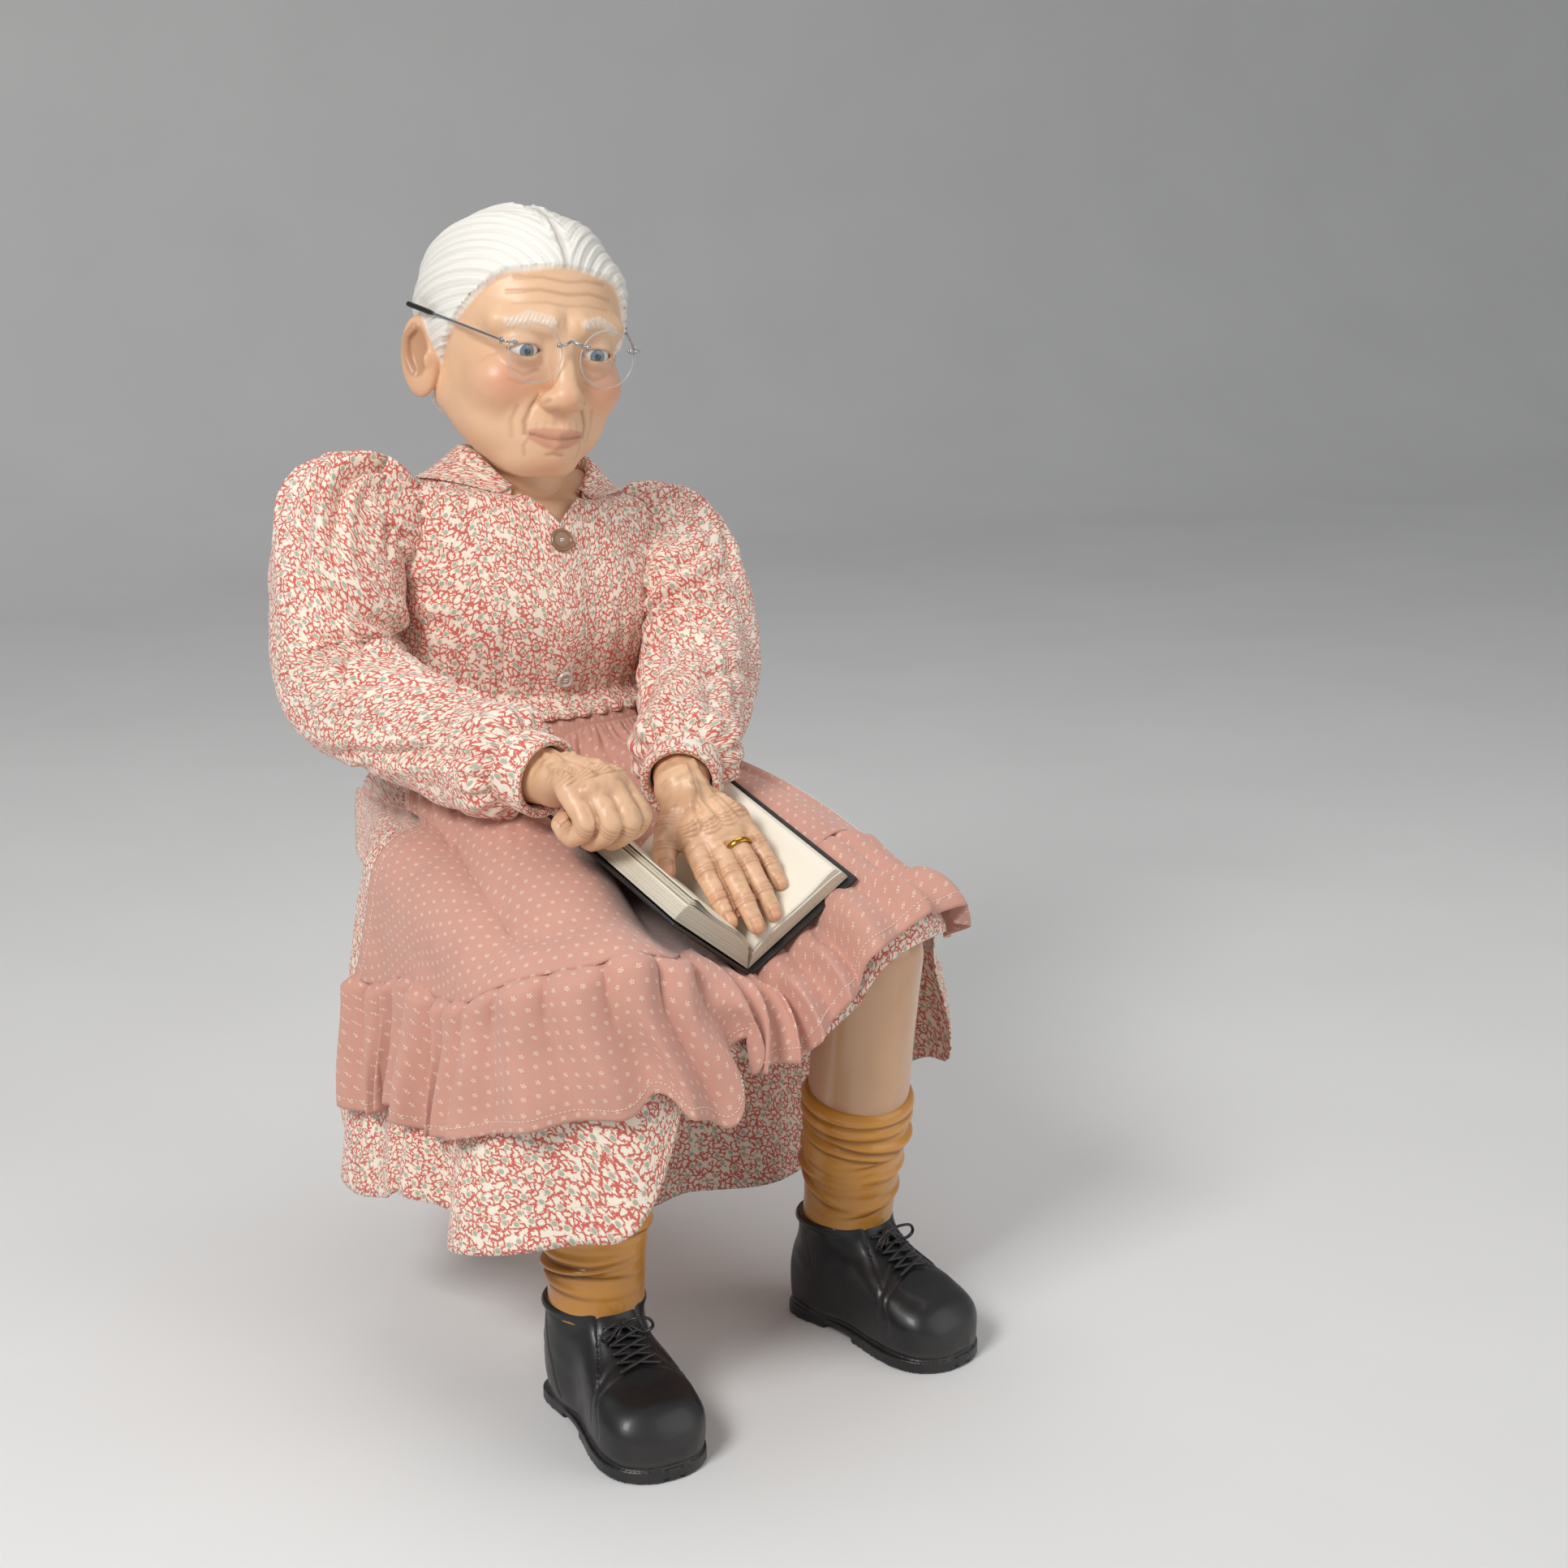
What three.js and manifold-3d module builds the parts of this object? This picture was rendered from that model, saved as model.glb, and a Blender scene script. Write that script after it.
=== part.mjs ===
// Seated ceramic doll with an open book. Millimetres, +Z up. The doll faces -Y and its left
// side is +X. The origin is the middle of the flat seat face, under the hips.
import * as THREE from "three";
import { mergeVertices } from "three/addons/utils/BufferGeometryUtils.js";
import Module from "manifold-3d";

const wasm = await Module();
wasm.setup();

// Fits
const CLOTH = 2;            // thickness of the dress and apron cloth
const LAYER = 5;              // air between two cloth layers
const FIT = 0.4;            // gap between pieces that touch
const SEAM = 0.8;           // gap where one cloth piece is sewn to the next
const PADDING = 4;          // air between the stuffed torso and the bodice

// Stuffed torso
const WAIST_Z = 150;
const SHOULDER_Z = 312;
const SHOULDER_TILT = 7;    // degrees, the doll's left shoulder is the lower one
const LEAN = 9;             // sideways shift of the shoulders
const ARMHOLE_X = 114.5;    // the flat armhole planes
// height, half width, half depth, middle y
const TORSO = [
  [CLOTH + FIT, 104, 74, 36],
  [40, 124, 88, 34],
  [100, 116, 84, 31],
  [WAIST_Z, 105, 76, 29],
  [210, 109, 86, 25],
  [262, 110, 76, 30],
  [300, 104, 62, 33],
  [SHOULDER_Z, 82, 50, 32],
  [330, 50, 44, 27],
];
const NECKLINE = 26;        // drop of the neckline at the front
const TORSO_TOP_Z = 288;    // the stuffed torso stops here, the bodice goes on to the neck

// Neck and core
const NECK = { x: 7, y: 27, radius: 34, seat: 306 };
const PLATE = { radius: 40, thick: 7 };
const WASHER = { radius: 30, thick: 2.6 };
const ROD = { radius: 5, bottom: 232, top: 372 };
const POST = { radius: 14, bottom: 12 };

// Head, in its own frame: -Y is the face, the origin lies between the ears
const HEAD_AT = [-3, -2, NECK.seat + 124];
const HEAD_TURN = { yaw: -2, pitch: 5, roll: 6 };
const EYE = { x: 29, y: -68.5, z: 2, radius: 13, lidWidth: 27, lidHeight: 12 };
const HAIRLINE = { y: 0.8, z: 0.6, level: -15 };

// Spectacles, in the head frame
const LENS = { radius: 22, thick: 1.8, x: 29, y: -97, z: 2, sides: 22 };
const WIRE = 1.1;           // radius of the frame wire
const TEMPLE = { y: 16, rise: 9, spread: 89, tip: 2.1 };

// Thighs: y, half distance between them, radius
const HIP = { y: 5, x: 74, radius: 48, start: -34 };
const MIDTHIGH = { y: -206, x: 98, radius: 44 };
const KNEE = { y: -337, x: 110, z: 7, radius: 44, swing: 20 };
const BALL = 38.5;            // rounded top of each ceramic leg
const KNEE_CORD = 1.5;

// Lower legs: the sole lies SOLE below the seat face
const SOLE_Z = -300;
const SHIN = 38;
const SOCK_TOP = 112;       // heights under the seat face
const BOOT_TOP = 204;
const BOOT = { length: 160, heel: 44, width: 76, heelWidth: 58, instep: 78, sole: 9 };
const LEFT_ANKLE = { x: 120, y: -292, toeOut: 15 };
const RIGHT_ANKLE = { x: -109, y: -326, toeOut: 0 };

// Skirt over the lap: cloth runs out from the waist, and falls over the rounded rim of the lap
const LAP = {
  side: 150, front: -359, rear: 54, corner: 70, edge: 30, belly: 40, drop: 6, wrap: 100, clear: 5.5,
};
// length of the fall past the rim, by distance along the rim from the middle of the front
const FALL = { side: 74, low: 222, knee: 44 };
const HEM_LINE = [
  [-533, FALL.side], [-410, FALL.side], [-320, FALL.low], [-45, FALL.low], [40, FALL.knee],
  [180, FALL.knee], [250, FALL.low - 16], [330, FALL.low - 16], [410, FALL.side], [533, FALL.side],
];
const FOLD = { flare: 0.06, depth: 0.05, width: 92 };
// columns of the skirt, and its rows, which lie close together where the cloth leaves the waist
const SKIRT_COLUMNS = 30;
const LAP_ROWS = [0, 0.05, 0.11, 0.2, 0.42, 0.66, 0.86, 1];
const FALL_ROWS = 5;
// seam of the apron ruffle past the rim, on the same distances
const SEAM_LINE = [
  [-352, 112], [-250, 72], [-130, 26], [-40, 10], [5, -4], [60, -60], [120, -68], [192, -38],
];
const APRON = { right: -352, left: 192, ruffle: 98, wave: 11, band: 15, seam: 1.6 };
const BACK = { frontY: -206, edge: 9, waistAngle: 78, seatHalf: 146, hemHalf: 170, hem: -168, fold: 8 };

// Book
const BOOK = {
  at: [8, -337, 12], yaw: -10, rise: 18, leftSlope: 37, rightSlope: 38,
  page: 98, height: 142, cover: 2.6, overhang: 5, left: 15, right: 11,
};

// Arms: points x, y, z
const LEFT_ARM = {
  side: 1, shoulder: [139, 36, 258], elbow: [123, -58, 179], wrist: [13, -231, 131],
};
const RIGHT_ARM = {
  side: -1, shoulder: [-141, 36, 304], elbow: [-172, -14, 172], wrist: [-105, -230, 146],
};
const SLEEVE = { puff: 48, elbow: 47, ball: 43, mid: 34, end: 28 };
const ELBOW = { slant: 0.6, rim: 30.5 };   // slope and distance of the upper sleeve's lower rim
const STUFFED_ARM = 27;
const CUFF = { radius: 31, length: 26, bead: 2 };
const STUMP = { radius: 20, length: 66, groove: 46 };
const CORD = 1.5;
const HAND_SCALE = 1.08;
const RING = { along: 74, thick: 1.3, width: 4 };

// Hands: the point they reach for, the way their backs face, and stations along the hand, towards
// the thumb, up from the back, and radius
const LEFT_HAND = {
  point: [14, -338, 64], back: [-0.25, -0.5, 0.85],
  palm: [[40, 0, 0, 17], [48, 1, 1, 20], [55, 1, 0, 20]],
  fingers: {
    index: [[56, 18, 0, 8.6], [84, 20, -2, 7.6], [104, 20, -6, 6.6], [120, 19, -11, 5.6]],
    middle: [[60, 6, 1, 8.8], [92, 6, -1, 7.8], [114, 6, -5, 6.8], [131, 5, -11, 5.7]],
    ring: [[58, -7, 0, 8.4], [88, -8, -2, 7.4], [109, -9, -6, 6.5], [125, -10, -12, 5.5]],
    little: [[52, -18, -1, 7.6], [74, -21, -3, 6.6], [90, -23, -7, 5.8], [104, -24, -11, 5]],
    thumb: [[26, 10, -1, 10], [42, 25, -3, 9], [60, 30, -3, 7.6], [77, 28, -4, 6.2]],
  },
};
const RIGHT_HAND = {
  point: [-83, -302, 147], back: [0, 0, 1],
  palm: [[38, 0, 0, 17], [48, 1, 1, 20], [58, 1, -1, 20]],
  fingers: {
    index: [[62, 17, -1, 9], [80, 18, -20, 8.4], [64, 18, -32, 7.4], [50, 16, -26, 6.5]],
    middle: [[66, 5, 1, 9.2], [84, 5, -20, 8.6], [68, 5, -34, 7.6], [52, 5, -27, 6.6]],
    ring: [[64, -8, 0, 8.8], [81, -8, -20, 8.2], [64, -8, -33, 7.2], [50, -7, -26, 6.4]],
    little: [[57, -19, -2, 8], [72, -20, -19, 7.4], [57, -19, -30, 6.6], [46, -18, -24, 6]],
    thumb: [[28, 11, -4, 10.5], [42, 26, -11, 9.4], [57, 27, -21, 8.2], [71, 20, -27, 7]],
  },
};

// Buttons: height on the bodice, radius, and the thread shank under each
const BUTTON = { thick: 3.6, rim: 1.1 };
const COLLAR_BUTTON = { z: 276, radius: 9.5, shank: 0.8 };
const WAIST_BUTTON = { z: 172, radius: 7, shank: 1.9 };

const rad = THREE.MathUtils.degToRad;
const lerp = THREE.MathUtils.lerp;
const clamp01 = (t) => Math.min(1, Math.max(0, t));
const smooth = (a, b, t) => THREE.MathUtils.smoothstep(t, Math.min(a, b), Math.max(a, b));
const vec = (p) => new THREE.Vector3(...p);

// Catmull-Rom blend through rows of numbers, t from 0 to 1
function through(rows, t) {
  const at = clamp01(t) * (rows.length - 1);
  const i = Math.min(Math.floor(at), rows.length - 2);
  const k = at - i;
  const row = (n) => rows[Math.min(Math.max(n, 0), rows.length - 1)];
  return rows[0].map((_, c) => {
    const [a, b, d, e] = [row(i - 1)[c], row(i)[c], row(i + 1)[c], row(i + 2)[c]];
    return b + 0.5 * k * (d - a + k * (2 * a - 5 * b + 4 * d - e + k * (3 * (b - d) + e - a)));
  });
}

// Closed mesh whose faces point out, with its double points merged
function outward(geometry) {
  const bare = new THREE.BufferGeometry().setAttribute("position", geometry.getAttribute("position"));
  const merged = mergeVertices(bare.setIndex(geometry.index), 1e-4);
  const [at, order] = [merged.getAttribute("position"), merged.index.array];
  const corner = (i) => new THREE.Vector3().fromBufferAttribute(at, order[i]);
  let volume = 0;
  for (let i = 0; i < order.length; i += 3) volume += corner(i).dot(corner(i + 1).cross(corner(i + 2)));
  if (volume < 0) order.reverse();
  return merged;
}
function closed(points, faces) {
  return outward(new THREE.BufferGeometry().setFromPoints(points).setIndex(faces.flat()));
}
const turned = (profile, sides) => outward(
  new THREE.LatheGeometry(profile.map((p) => new THREE.Vector2(...p)), sides).rotateX(Math.PI / 2),
);

// Skin over rings of points, with a flat or pointed cap at both ends
function loft(rings) {
  const count = rings[0].length;
  const points = rings.flat();
  const faces = [];
  for (let r = 0; r + 1 < rings.length; r++) {
    for (let k = 0; k < count; k++) {
      const a = r * count + k;
      const b = r * count + ((k + 1) % count);
      faces.push([a, b, b + count], [a, b + count, a + count]);
    }
  }
  for (const end of [0, rings.length - 1]) {
    const middle = new THREE.Vector3();
    rings[end].forEach((p) => middle.add(p));
    points.push(middle.divideScalar(count));
    for (let k = 0; k < count; k++) {
      const edge = [end * count + k, end * count + ((k + 1) % count)];
      faces.push([points.length - 1, ...(end ? edge : edge.reverse())]);
    }
  }
  return closed(points, faces);
}

// Rounded tube through stations of x, y, z, radius
function limb(stations, sides, steps, capSteps = 3) {
  const curve = new THREE.CatmullRomCurve3(stations.map((s) => new THREE.Vector3(...s)));
  const frames = curve.computeFrenetFrames(steps, false);
  const radii = stations.map((s) => [s[3]]);
  const ring = (i, radius, shift) => {
    const middle = curve.getPoint(i / steps).addScaledVector(frames.tangents[i], shift);
    return Array.from({ length: sides }, (_, k) => {
      const angle = (k / sides) * 2 * Math.PI;
      return middle.clone()
        .addScaledVector(frames.normals[i], radius * Math.cos(angle))
        .addScaledVector(frames.binormals[i], radius * Math.sin(angle));
    });
  };
  const cap = (i, sign) => Array.from({ length: capSteps }, (_, k) => {
    const angle = ((k + 0.6) / (capSteps + 0.6)) * (Math.PI / 2);
    const radius = stations[i ? stations.length - 1 : 0][3];
    return ring(i, radius * Math.cos(angle), sign * radius * Math.sin(angle));
  });
  const body = Array.from({ length: steps + 1 }, (_, i) => ring(i, through(radii, i / steps)[0], 0));
  return loft([...cap(0, -1).reverse(), ...body, ...cap(steps, 1)]);
}

// Cloth between two distances from a surface. at(u, v) gives its points, off(u, v) the two distances
function sheet(columns, rows, at, off, ring = false) {
  const step = 1e-3;
  const side = [[], []];
  for (let j = 0; j <= rows; j++) {
    for (let i = 0; i < (ring ? columns : columns + 1); i++) {
      const [u, v] = [i / columns, j / rows];
      const du = at(u + step, v).sub(at(u - step, v));
      const dv = at(u, Math.min(1, v + step)).sub(at(u, Math.max(0, v - step)));
      const normal = dv.cross(du).normalize();
      off(u, v).forEach((d, k) => side[k].push(at(u, v).addScaledVector(normal, d)));
    }
  }
  const wide = ring ? columns : columns + 1;
  const id = (k, i, j) => k * side[0].length + j * wide + (i % wide);
  const faces = [];
  const quad = (a, b, c, d) => faces.push([a, b, c], [a, c, d]);
  for (let j = 0; j < rows; j++) {
    for (let i = 0; i < columns; i++) {
      quad(id(1, i, j), id(1, i + 1, j), id(1, i + 1, j + 1), id(1, i, j + 1));
      quad(id(0, i, j), id(0, i, j + 1), id(0, i + 1, j + 1), id(0, i + 1, j));
    }
    if (!ring) {
      quad(id(0, 0, j), id(1, 0, j), id(1, 0, j + 1), id(0, 0, j + 1));
      quad(id(1, columns, j), id(0, columns, j), id(0, columns, j + 1), id(1, columns, j + 1));
    }
  }
  for (let i = 0; i < columns; i++) {
    quad(id(0, i, 0), id(0, i + 1, 0), id(1, i + 1, 0), id(1, i, 0));
    quad(id(1, i, rows), id(1, i + 1, rows), id(0, i + 1, rows), id(0, i, rows));
  }
  return closed([...side[0], ...side[1]], faces);
}

// Solid for joining and cutting, and back to a mesh
function solid(geometry) {
  const merged = outward(geometry);
  return new wasm.Manifold(new wasm.Mesh({
    numProp: 3,
    vertProperties: merged.getAttribute("position").array,
    triVerts: merged.index.array,
  }));
}

function skin(body) {
  const mesh = body.getMesh();
  const geometry = new THREE.BufferGeometry();
  geometry.setAttribute("position", new THREE.BufferAttribute(mesh.vertProperties, 3));
  geometry.setIndex(new THREE.BufferAttribute(mesh.triVerts, 1));
  return geometry;
}

const join = (...parts) => parts.map(solid).reduce((a, b) => a.add(b));
// Radius whose facets still clear a round of radius r
const roomFor = (r, sides) => (r + FIT) / Math.cos(Math.PI / sides) ** 2;
const ball = (centre, radius, sides = 18) =>
  new THREE.SphereGeometry(radius, sides, Math.round(sides / 2)).translate(...centre);
const post = (x, y, bottom, top, radius, sides = 20) =>
  new THREE.CylinderGeometry(radius, radius, top - bottom, sides)
    .rotateX(Math.PI / 2).translate(x, y, (top + bottom) / 2);
const block = (low, high) => new THREE.BoxGeometry(...high.map((h, i) => h - low[i]))
  .translate(...high.map((h, i) => (h + low[i]) / 2));

// Turns a shape drawn along +Z so that it points along an axis from a point
function aim(geometry, from, axis) {
  const up = new THREE.Vector3(0, 0, 1);
  const turn = new THREE.Quaternion().setFromUnitVectors(up, axis.clone().normalize());
  return geometry.applyQuaternion(turn).translate(from.x, from.y, from.z);
}

const doll = new THREE.Group();
doll.name = "ceramic_doll";
function add(name, shape, color, roughness = 0.6, metalness = 0, parent = doll) {
  const geometry = shape.isBufferGeometry ? shape : skin(shape);
  geometry.computeVertexNormals();
  const material = new THREE.MeshStandardMaterial({ color, roughness, metalness });
  const mesh = new THREE.Mesh(geometry, material);
  mesh.name = name;
  parent.add(mesh);
}

const SKIN = "#d9a585";
const CALICO = "#e9cfc2";
const PINK = "#c08a8e";
const MUSLIN = "#e6dcc6";
const CORD_COLOR = "#cfc3a6";
const STEEL = "#b9bcc0";

// Torso, bodice and collar share one leaning body
function lean(p) {
  const t = Math.max(0, (p.z - WAIST_Z) / (SHOULDER_Z - WAIST_Z));
  p.z -= p.x * Math.tan(rad(SHOULDER_TILT)) * t;
  p.x += LEAN * t;
  return p;
}
function torsoPoint(u, t, grow) {
  const [z, a, b, y] = through(TORSO, t);
  const angle = u * 2 * Math.PI;
  return lean(new THREE.Vector3((a + grow) * Math.sin(angle), y + (b + grow) * Math.cos(angle), z));
}
// The neckline is cut lower at the front
function bodicePoint(u, t, grow) {
  const p = torsoPoint(u, t, grow);
  p.z -= NECKLINE * smooth(0.8, 1, t) * Math.max(0, -Math.cos(u * 2 * Math.PI)) ** 2;
  return p;
}
const torsoAt = (z) => {
  const last = TORSO.length - 1;
  const i = Math.min(last - 1, Math.max(0, TORSO.findIndex((row) => row[0] > z) - 1));
  return (i + (z - TORSO[i][0]) / (TORSO[i + 1][0] - TORSO[i][0])) / last;
};
const torsoLoft = (grow, sides = 20, rows = 9) => loft(Array.from({ length: rows + 1 }, (_, j) => {
  const t = lerp(0, torsoAt(TORSO_TOP_Z), j / rows);
  return Array.from({ length: sides }, (_, k) => torsoPoint(k / sides, t, grow - PADDING));
}));

const plateTop = NECK.seat - FIT - WASHER.thick - FIT;
const plateBottom = plateTop - PLATE.thick;
const postTop = plateBottom - FIT;
const torso = solid(torsoLoft(0))
  .subtract(solid(post(NECK.x, NECK.y, POST.bottom - FIT, SHOULDER_Z, POST.radius + FIT)))
  .subtract(solid(post(NECK.x, NECK.y, plateBottom - FIT, SHOULDER_Z, PLATE.radius + FIT)));
add("stuffed_torso", torso, MUSLIN, 0.9);
add("spine_post", solid(post(NECK.x, NECK.y, POST.bottom, postTop, POST.radius))
  .subtract(solid(post(NECK.x, NECK.y, ROD.bottom - FIT, SHOULDER_Z, ROD.radius + FIT))), "#c89b66", 0.7);
add("neck_rod", post(NECK.x, NECK.y, ROD.bottom, ROD.top, ROD.radius, 14), STEEL, 0.35, 0.9);
const rodHole = solid(post(NECK.x, NECK.y, ROD.bottom, ROD.top + FIT, ROD.radius + FIT, 14));
add("shoulder_plate", solid(post(NECK.x, NECK.y, plateBottom, plateTop, PLATE.radius))
  .subtract(rodHole), "#c89b66");
add("neck_washer", solid(post(NECK.x, NECK.y, plateTop + FIT, NECK.seat - FIT, WASHER.radius))
  .subtract(rodHole), "#8f8a80", 0.95);

const bodiceFrom = torsoAt(WAIST_Z + FIT);
const bodice = solid(sheet(20, 6, (u, v) => bodicePoint(u, lerp(bodiceFrom, 1, v), 0),
  () => [FIT, FIT + CLOTH], true));
const between = solid(block([-ARMHOLE_X + FIT, -200, 0], [ARMHOLE_X - FIT, 300, 420]));
add("bodice", bodice.intersect(between), CALICO, 0.9);

// Turned-down collar: two leaves that leave the front open
const collarLift = FIT + CLOTH + 2 * FIT;
const collar = sheet(20, 3, (u, v) => {
  const angle = lerp(rad(336), rad(24), u) + Math.PI;
  const front = Math.pow(Math.abs(2 * u - 1), 6);
  const t = lerp(0.985, lerp(0.9, 0.83, front), Math.max(0, v * 1.2 - 0.2));
  const p = bodicePoint(angle / (2 * Math.PI), t, 0);
  const stand = v < 0.2 ? 1 : Math.pow(1 - (v - 0.2) / 0.8, 1.5);
  p.z += stand * 7;
  return p;
}, () => [collarLift, collarLift + CLOTH]);
add("collar", collar, CALICO, 0.9);

// Thighs: round sections across y
function thighAt(y) {
  const t = (HIP.y - y) / (HIP.y - KNEE.y);
  const rest = CLOTH + FIT + SEAM;
  const m = (HIP.y - MIDTHIGH.y) / (HIP.y - KNEE.y);
  const blend = (hip, middle, knee) => hip * (t - m) * (t - 1) / m
    + middle * t * (t - 1) / (m * (m - 1)) + knee * t * (t - m) / (1 - m);
  return {
    x: blend(HIP.x, MIDTHIGH.x, KNEE.x),
    z: blend(rest + HIP.radius, rest + MIDTHIGH.radius, KNEE.z),
    radius: blend(HIP.radius, MIDTHIGH.radius, KNEE.radius),
  };
}
function thighLoft(side) {
  const rings = Array.from({ length: 7 }, (_, j) => {
    const y = lerp(HIP.start, KNEE.y, j / 6);
    const at = thighAt(y);
    const radius = at.radius;
    return Array.from({ length: 16 }, (_, k) => {
      const angle = (k / 16) * 2 * Math.PI;
      return new THREE.Vector3(side * at.x + radius * Math.cos(angle), y, at.z + radius * Math.sin(angle));
    });
  });
  return loft(rings);
}

// Leg casting: rounded knee, shin, slouched sock and moulded boot
function bootParts(ankle, side) {
  const heelY = BOOT.heel;
  const rows = [
    [0, 0.6, 0.5], [0.06, 0.86, 0.72], [0.2, 1, 0.9], [0.42, 1, 1], [0.62, 1.2, 0.78],
    [0.78, 1.3, 0.6], [0.9, 1.18, 0.52], [0.97, 0.8, 0.42], [1, 0.42, 0.28],
  ];
  const foot = loft(rows.map(([t, wide, high]) => Array.from({ length: 14 }, (_, k) => {
    const angle = (k / 14) * 2 * Math.PI;
    const x = (BOOT.heelWidth / 2) * wide * Math.sign(Math.cos(angle)) * Math.abs(Math.cos(angle)) ** 0.8;
    const lift = 0.5 + 0.5 * Math.sign(Math.sin(angle)) * Math.abs(Math.sin(angle)) ** 0.7;
    return new THREE.Vector3(x, heelY - t * BOOT.length, BOOT.sole - 1 + lift * BOOT.instep * high);
  })));
  const outline = new THREE.Shape();
  const [w, h] = [BOOT.width / 2, BOOT.heelWidth / 2];
  outline.moveTo(-h * 0.5, heelY);
  outline.bezierCurveTo(-h * 1.1, heelY, -h, heelY - 40, -h * 0.98, heelY - 55);
  outline.bezierCurveTo(-w * 1.02, heelY - 88, -w * 1.05, heelY - BOOT.length * 0.98, 0, heelY - BOOT.length);
  outline.bezierCurveTo(w * 1.05, heelY - BOOT.length * 0.98, w * 1.02, heelY - 88, h * 0.98, heelY - 55);
  outline.bezierCurveTo(h, heelY - 40, h * 1.1, heelY, h * 0.5, heelY);
  const sole = new THREE.ExtrudeGeometry(outline, {
    depth: BOOT.sole, bevelEnabled: false, curveSegments: 4,
  });
  const arch = block([-BOOT.width, heelY - 78, -1], [BOOT.width, heelY - 46, BOOT.sole * 0.45]);
  const shaft = limb([
    [0, 2, 30, BOOT.heelWidth * 0.5], [0, 3, 62, BOOT.heelWidth * 0.58],
    [0, 4, -SOLE_Z - BOOT_TOP - 24, BOOT.heelWidth * 0.6],
  ], 14, 3, 2);
  return [foot, sole, shaft].map((g) => place(g)).reduce((a, b) => a.add(b)).subtract(place(arch));
  function place(geometry) {
    return solid(geometry.rotateZ(rad(side * ankle.toeOut)).translate(ankle.x, ankle.y, SOLE_Z));
  }
}
function legCore(knee, ankle) {
  const top = vec(knee);
  const down = vec([ankle.x, ankle.y, -BOOT_TOP - 6]).sub(top);
  const length = down.length();
  const scale = length / (KNEE.z + BOOT_TOP + 6);
  const sock = (KNEE.z + SOCK_TOP) * scale;
  const rim = [
    [0, -BALL], [BALL * 0.5, -BALL * 0.866], [BALL * 0.866, -BALL * 0.5], [BALL, 0], [SHIN, 28],
    [SHIN, sock - 4], [SHIN + 4, sock + 3], [SHIN + 3, sock + 12], [SHIN - 1, sock + 22],
    [SHIN + 1, sock + 34], [SHIN - 4, sock + 52], [SHIN - 5, length], [0, length],
  ];
  return aim(turned(rim.map(([r, z]) => [r, -z]), 15), top, down.negate());
}
for (const [name, side, ankle] of [["left", 1, LEFT_ANKLE], ["right", -1, RIGHT_ANKLE]]) {
  const knee = [side * KNEE.x, KNEE.y, KNEE.z];
  add(`${name}_leg`, solid(legCore(knee, ankle)).add(bootParts(ankle, side)), "#b98a66", 0.35);
  const cordY = KNEE.y + BALL * 0.72;
  const at = thighAt(cordY);
  const cord = (tube) => solid(hoop(at.radius - KNEE_CORD, tube).rotateX(Math.PI / 2)
    .translate(side * at.x, cordY, at.z));
  const frontOf = (z) => solid(block([-200, -500, -100], [200, KNEE.y + BALL + KNEE.swing, z]));
  const thigh = solid(thighLoft(side)).subtract(solid(torsoLoft(FIT)))
    .subtract(solid(ball(knee, roomFor(BALL, 12), 12))).subtract(frontOf(KNEE.z + 2));
  add(`${name}_thigh`, thigh.subtract(cord(KNEE_CORD + FIT)), MUSLIN, 0.9);
  add(`${name}_knee_cord`, cord(KNEE_CORD).subtract(frontOf(KNEE.z + 2 + FIT)), CORD_COLOR, 0.9);
}
function hoop(radius, tube, sides = 18) {
  return new THREE.TorusGeometry(radius, tube, 5, sides);
}

// The cloth over the lap
const lapRim = (() => {
  const path = new THREE.Path().moveTo(-LAP.side, LAP.rear);
  path.lineTo(-LAP.side, LAP.front + LAP.corner);
  path.quadraticCurveTo(-LAP.side, LAP.front, -LAP.side + LAP.corner, LAP.front);
  path.lineTo(LAP.side - LAP.corner, LAP.front);
  path.quadraticCurveTo(LAP.side, LAP.front, LAP.side, LAP.front + LAP.corner);
  path.lineTo(LAP.side, LAP.rear);
  path.arcLengthDivisions = 600;
  return path;
})();
const rimHalf = lapRim.getLength() / 2;
function onLine(line, m) {
  const i = Math.min(line.length - 2, Math.max(0, line.findIndex((row) => row[0] > m) - 1));
  const k = m >= line.at(-1)[0] ? 1 : clamp01((m - line[i][0]) / (line[i + 1][0] - line[i][0]));
  const last = m >= line.at(-1)[0] ? line.length - 2 : i;
  return lerp(line[last][1], line[last + 1][1], k * k * (3 - 2 * k));
}

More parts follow.
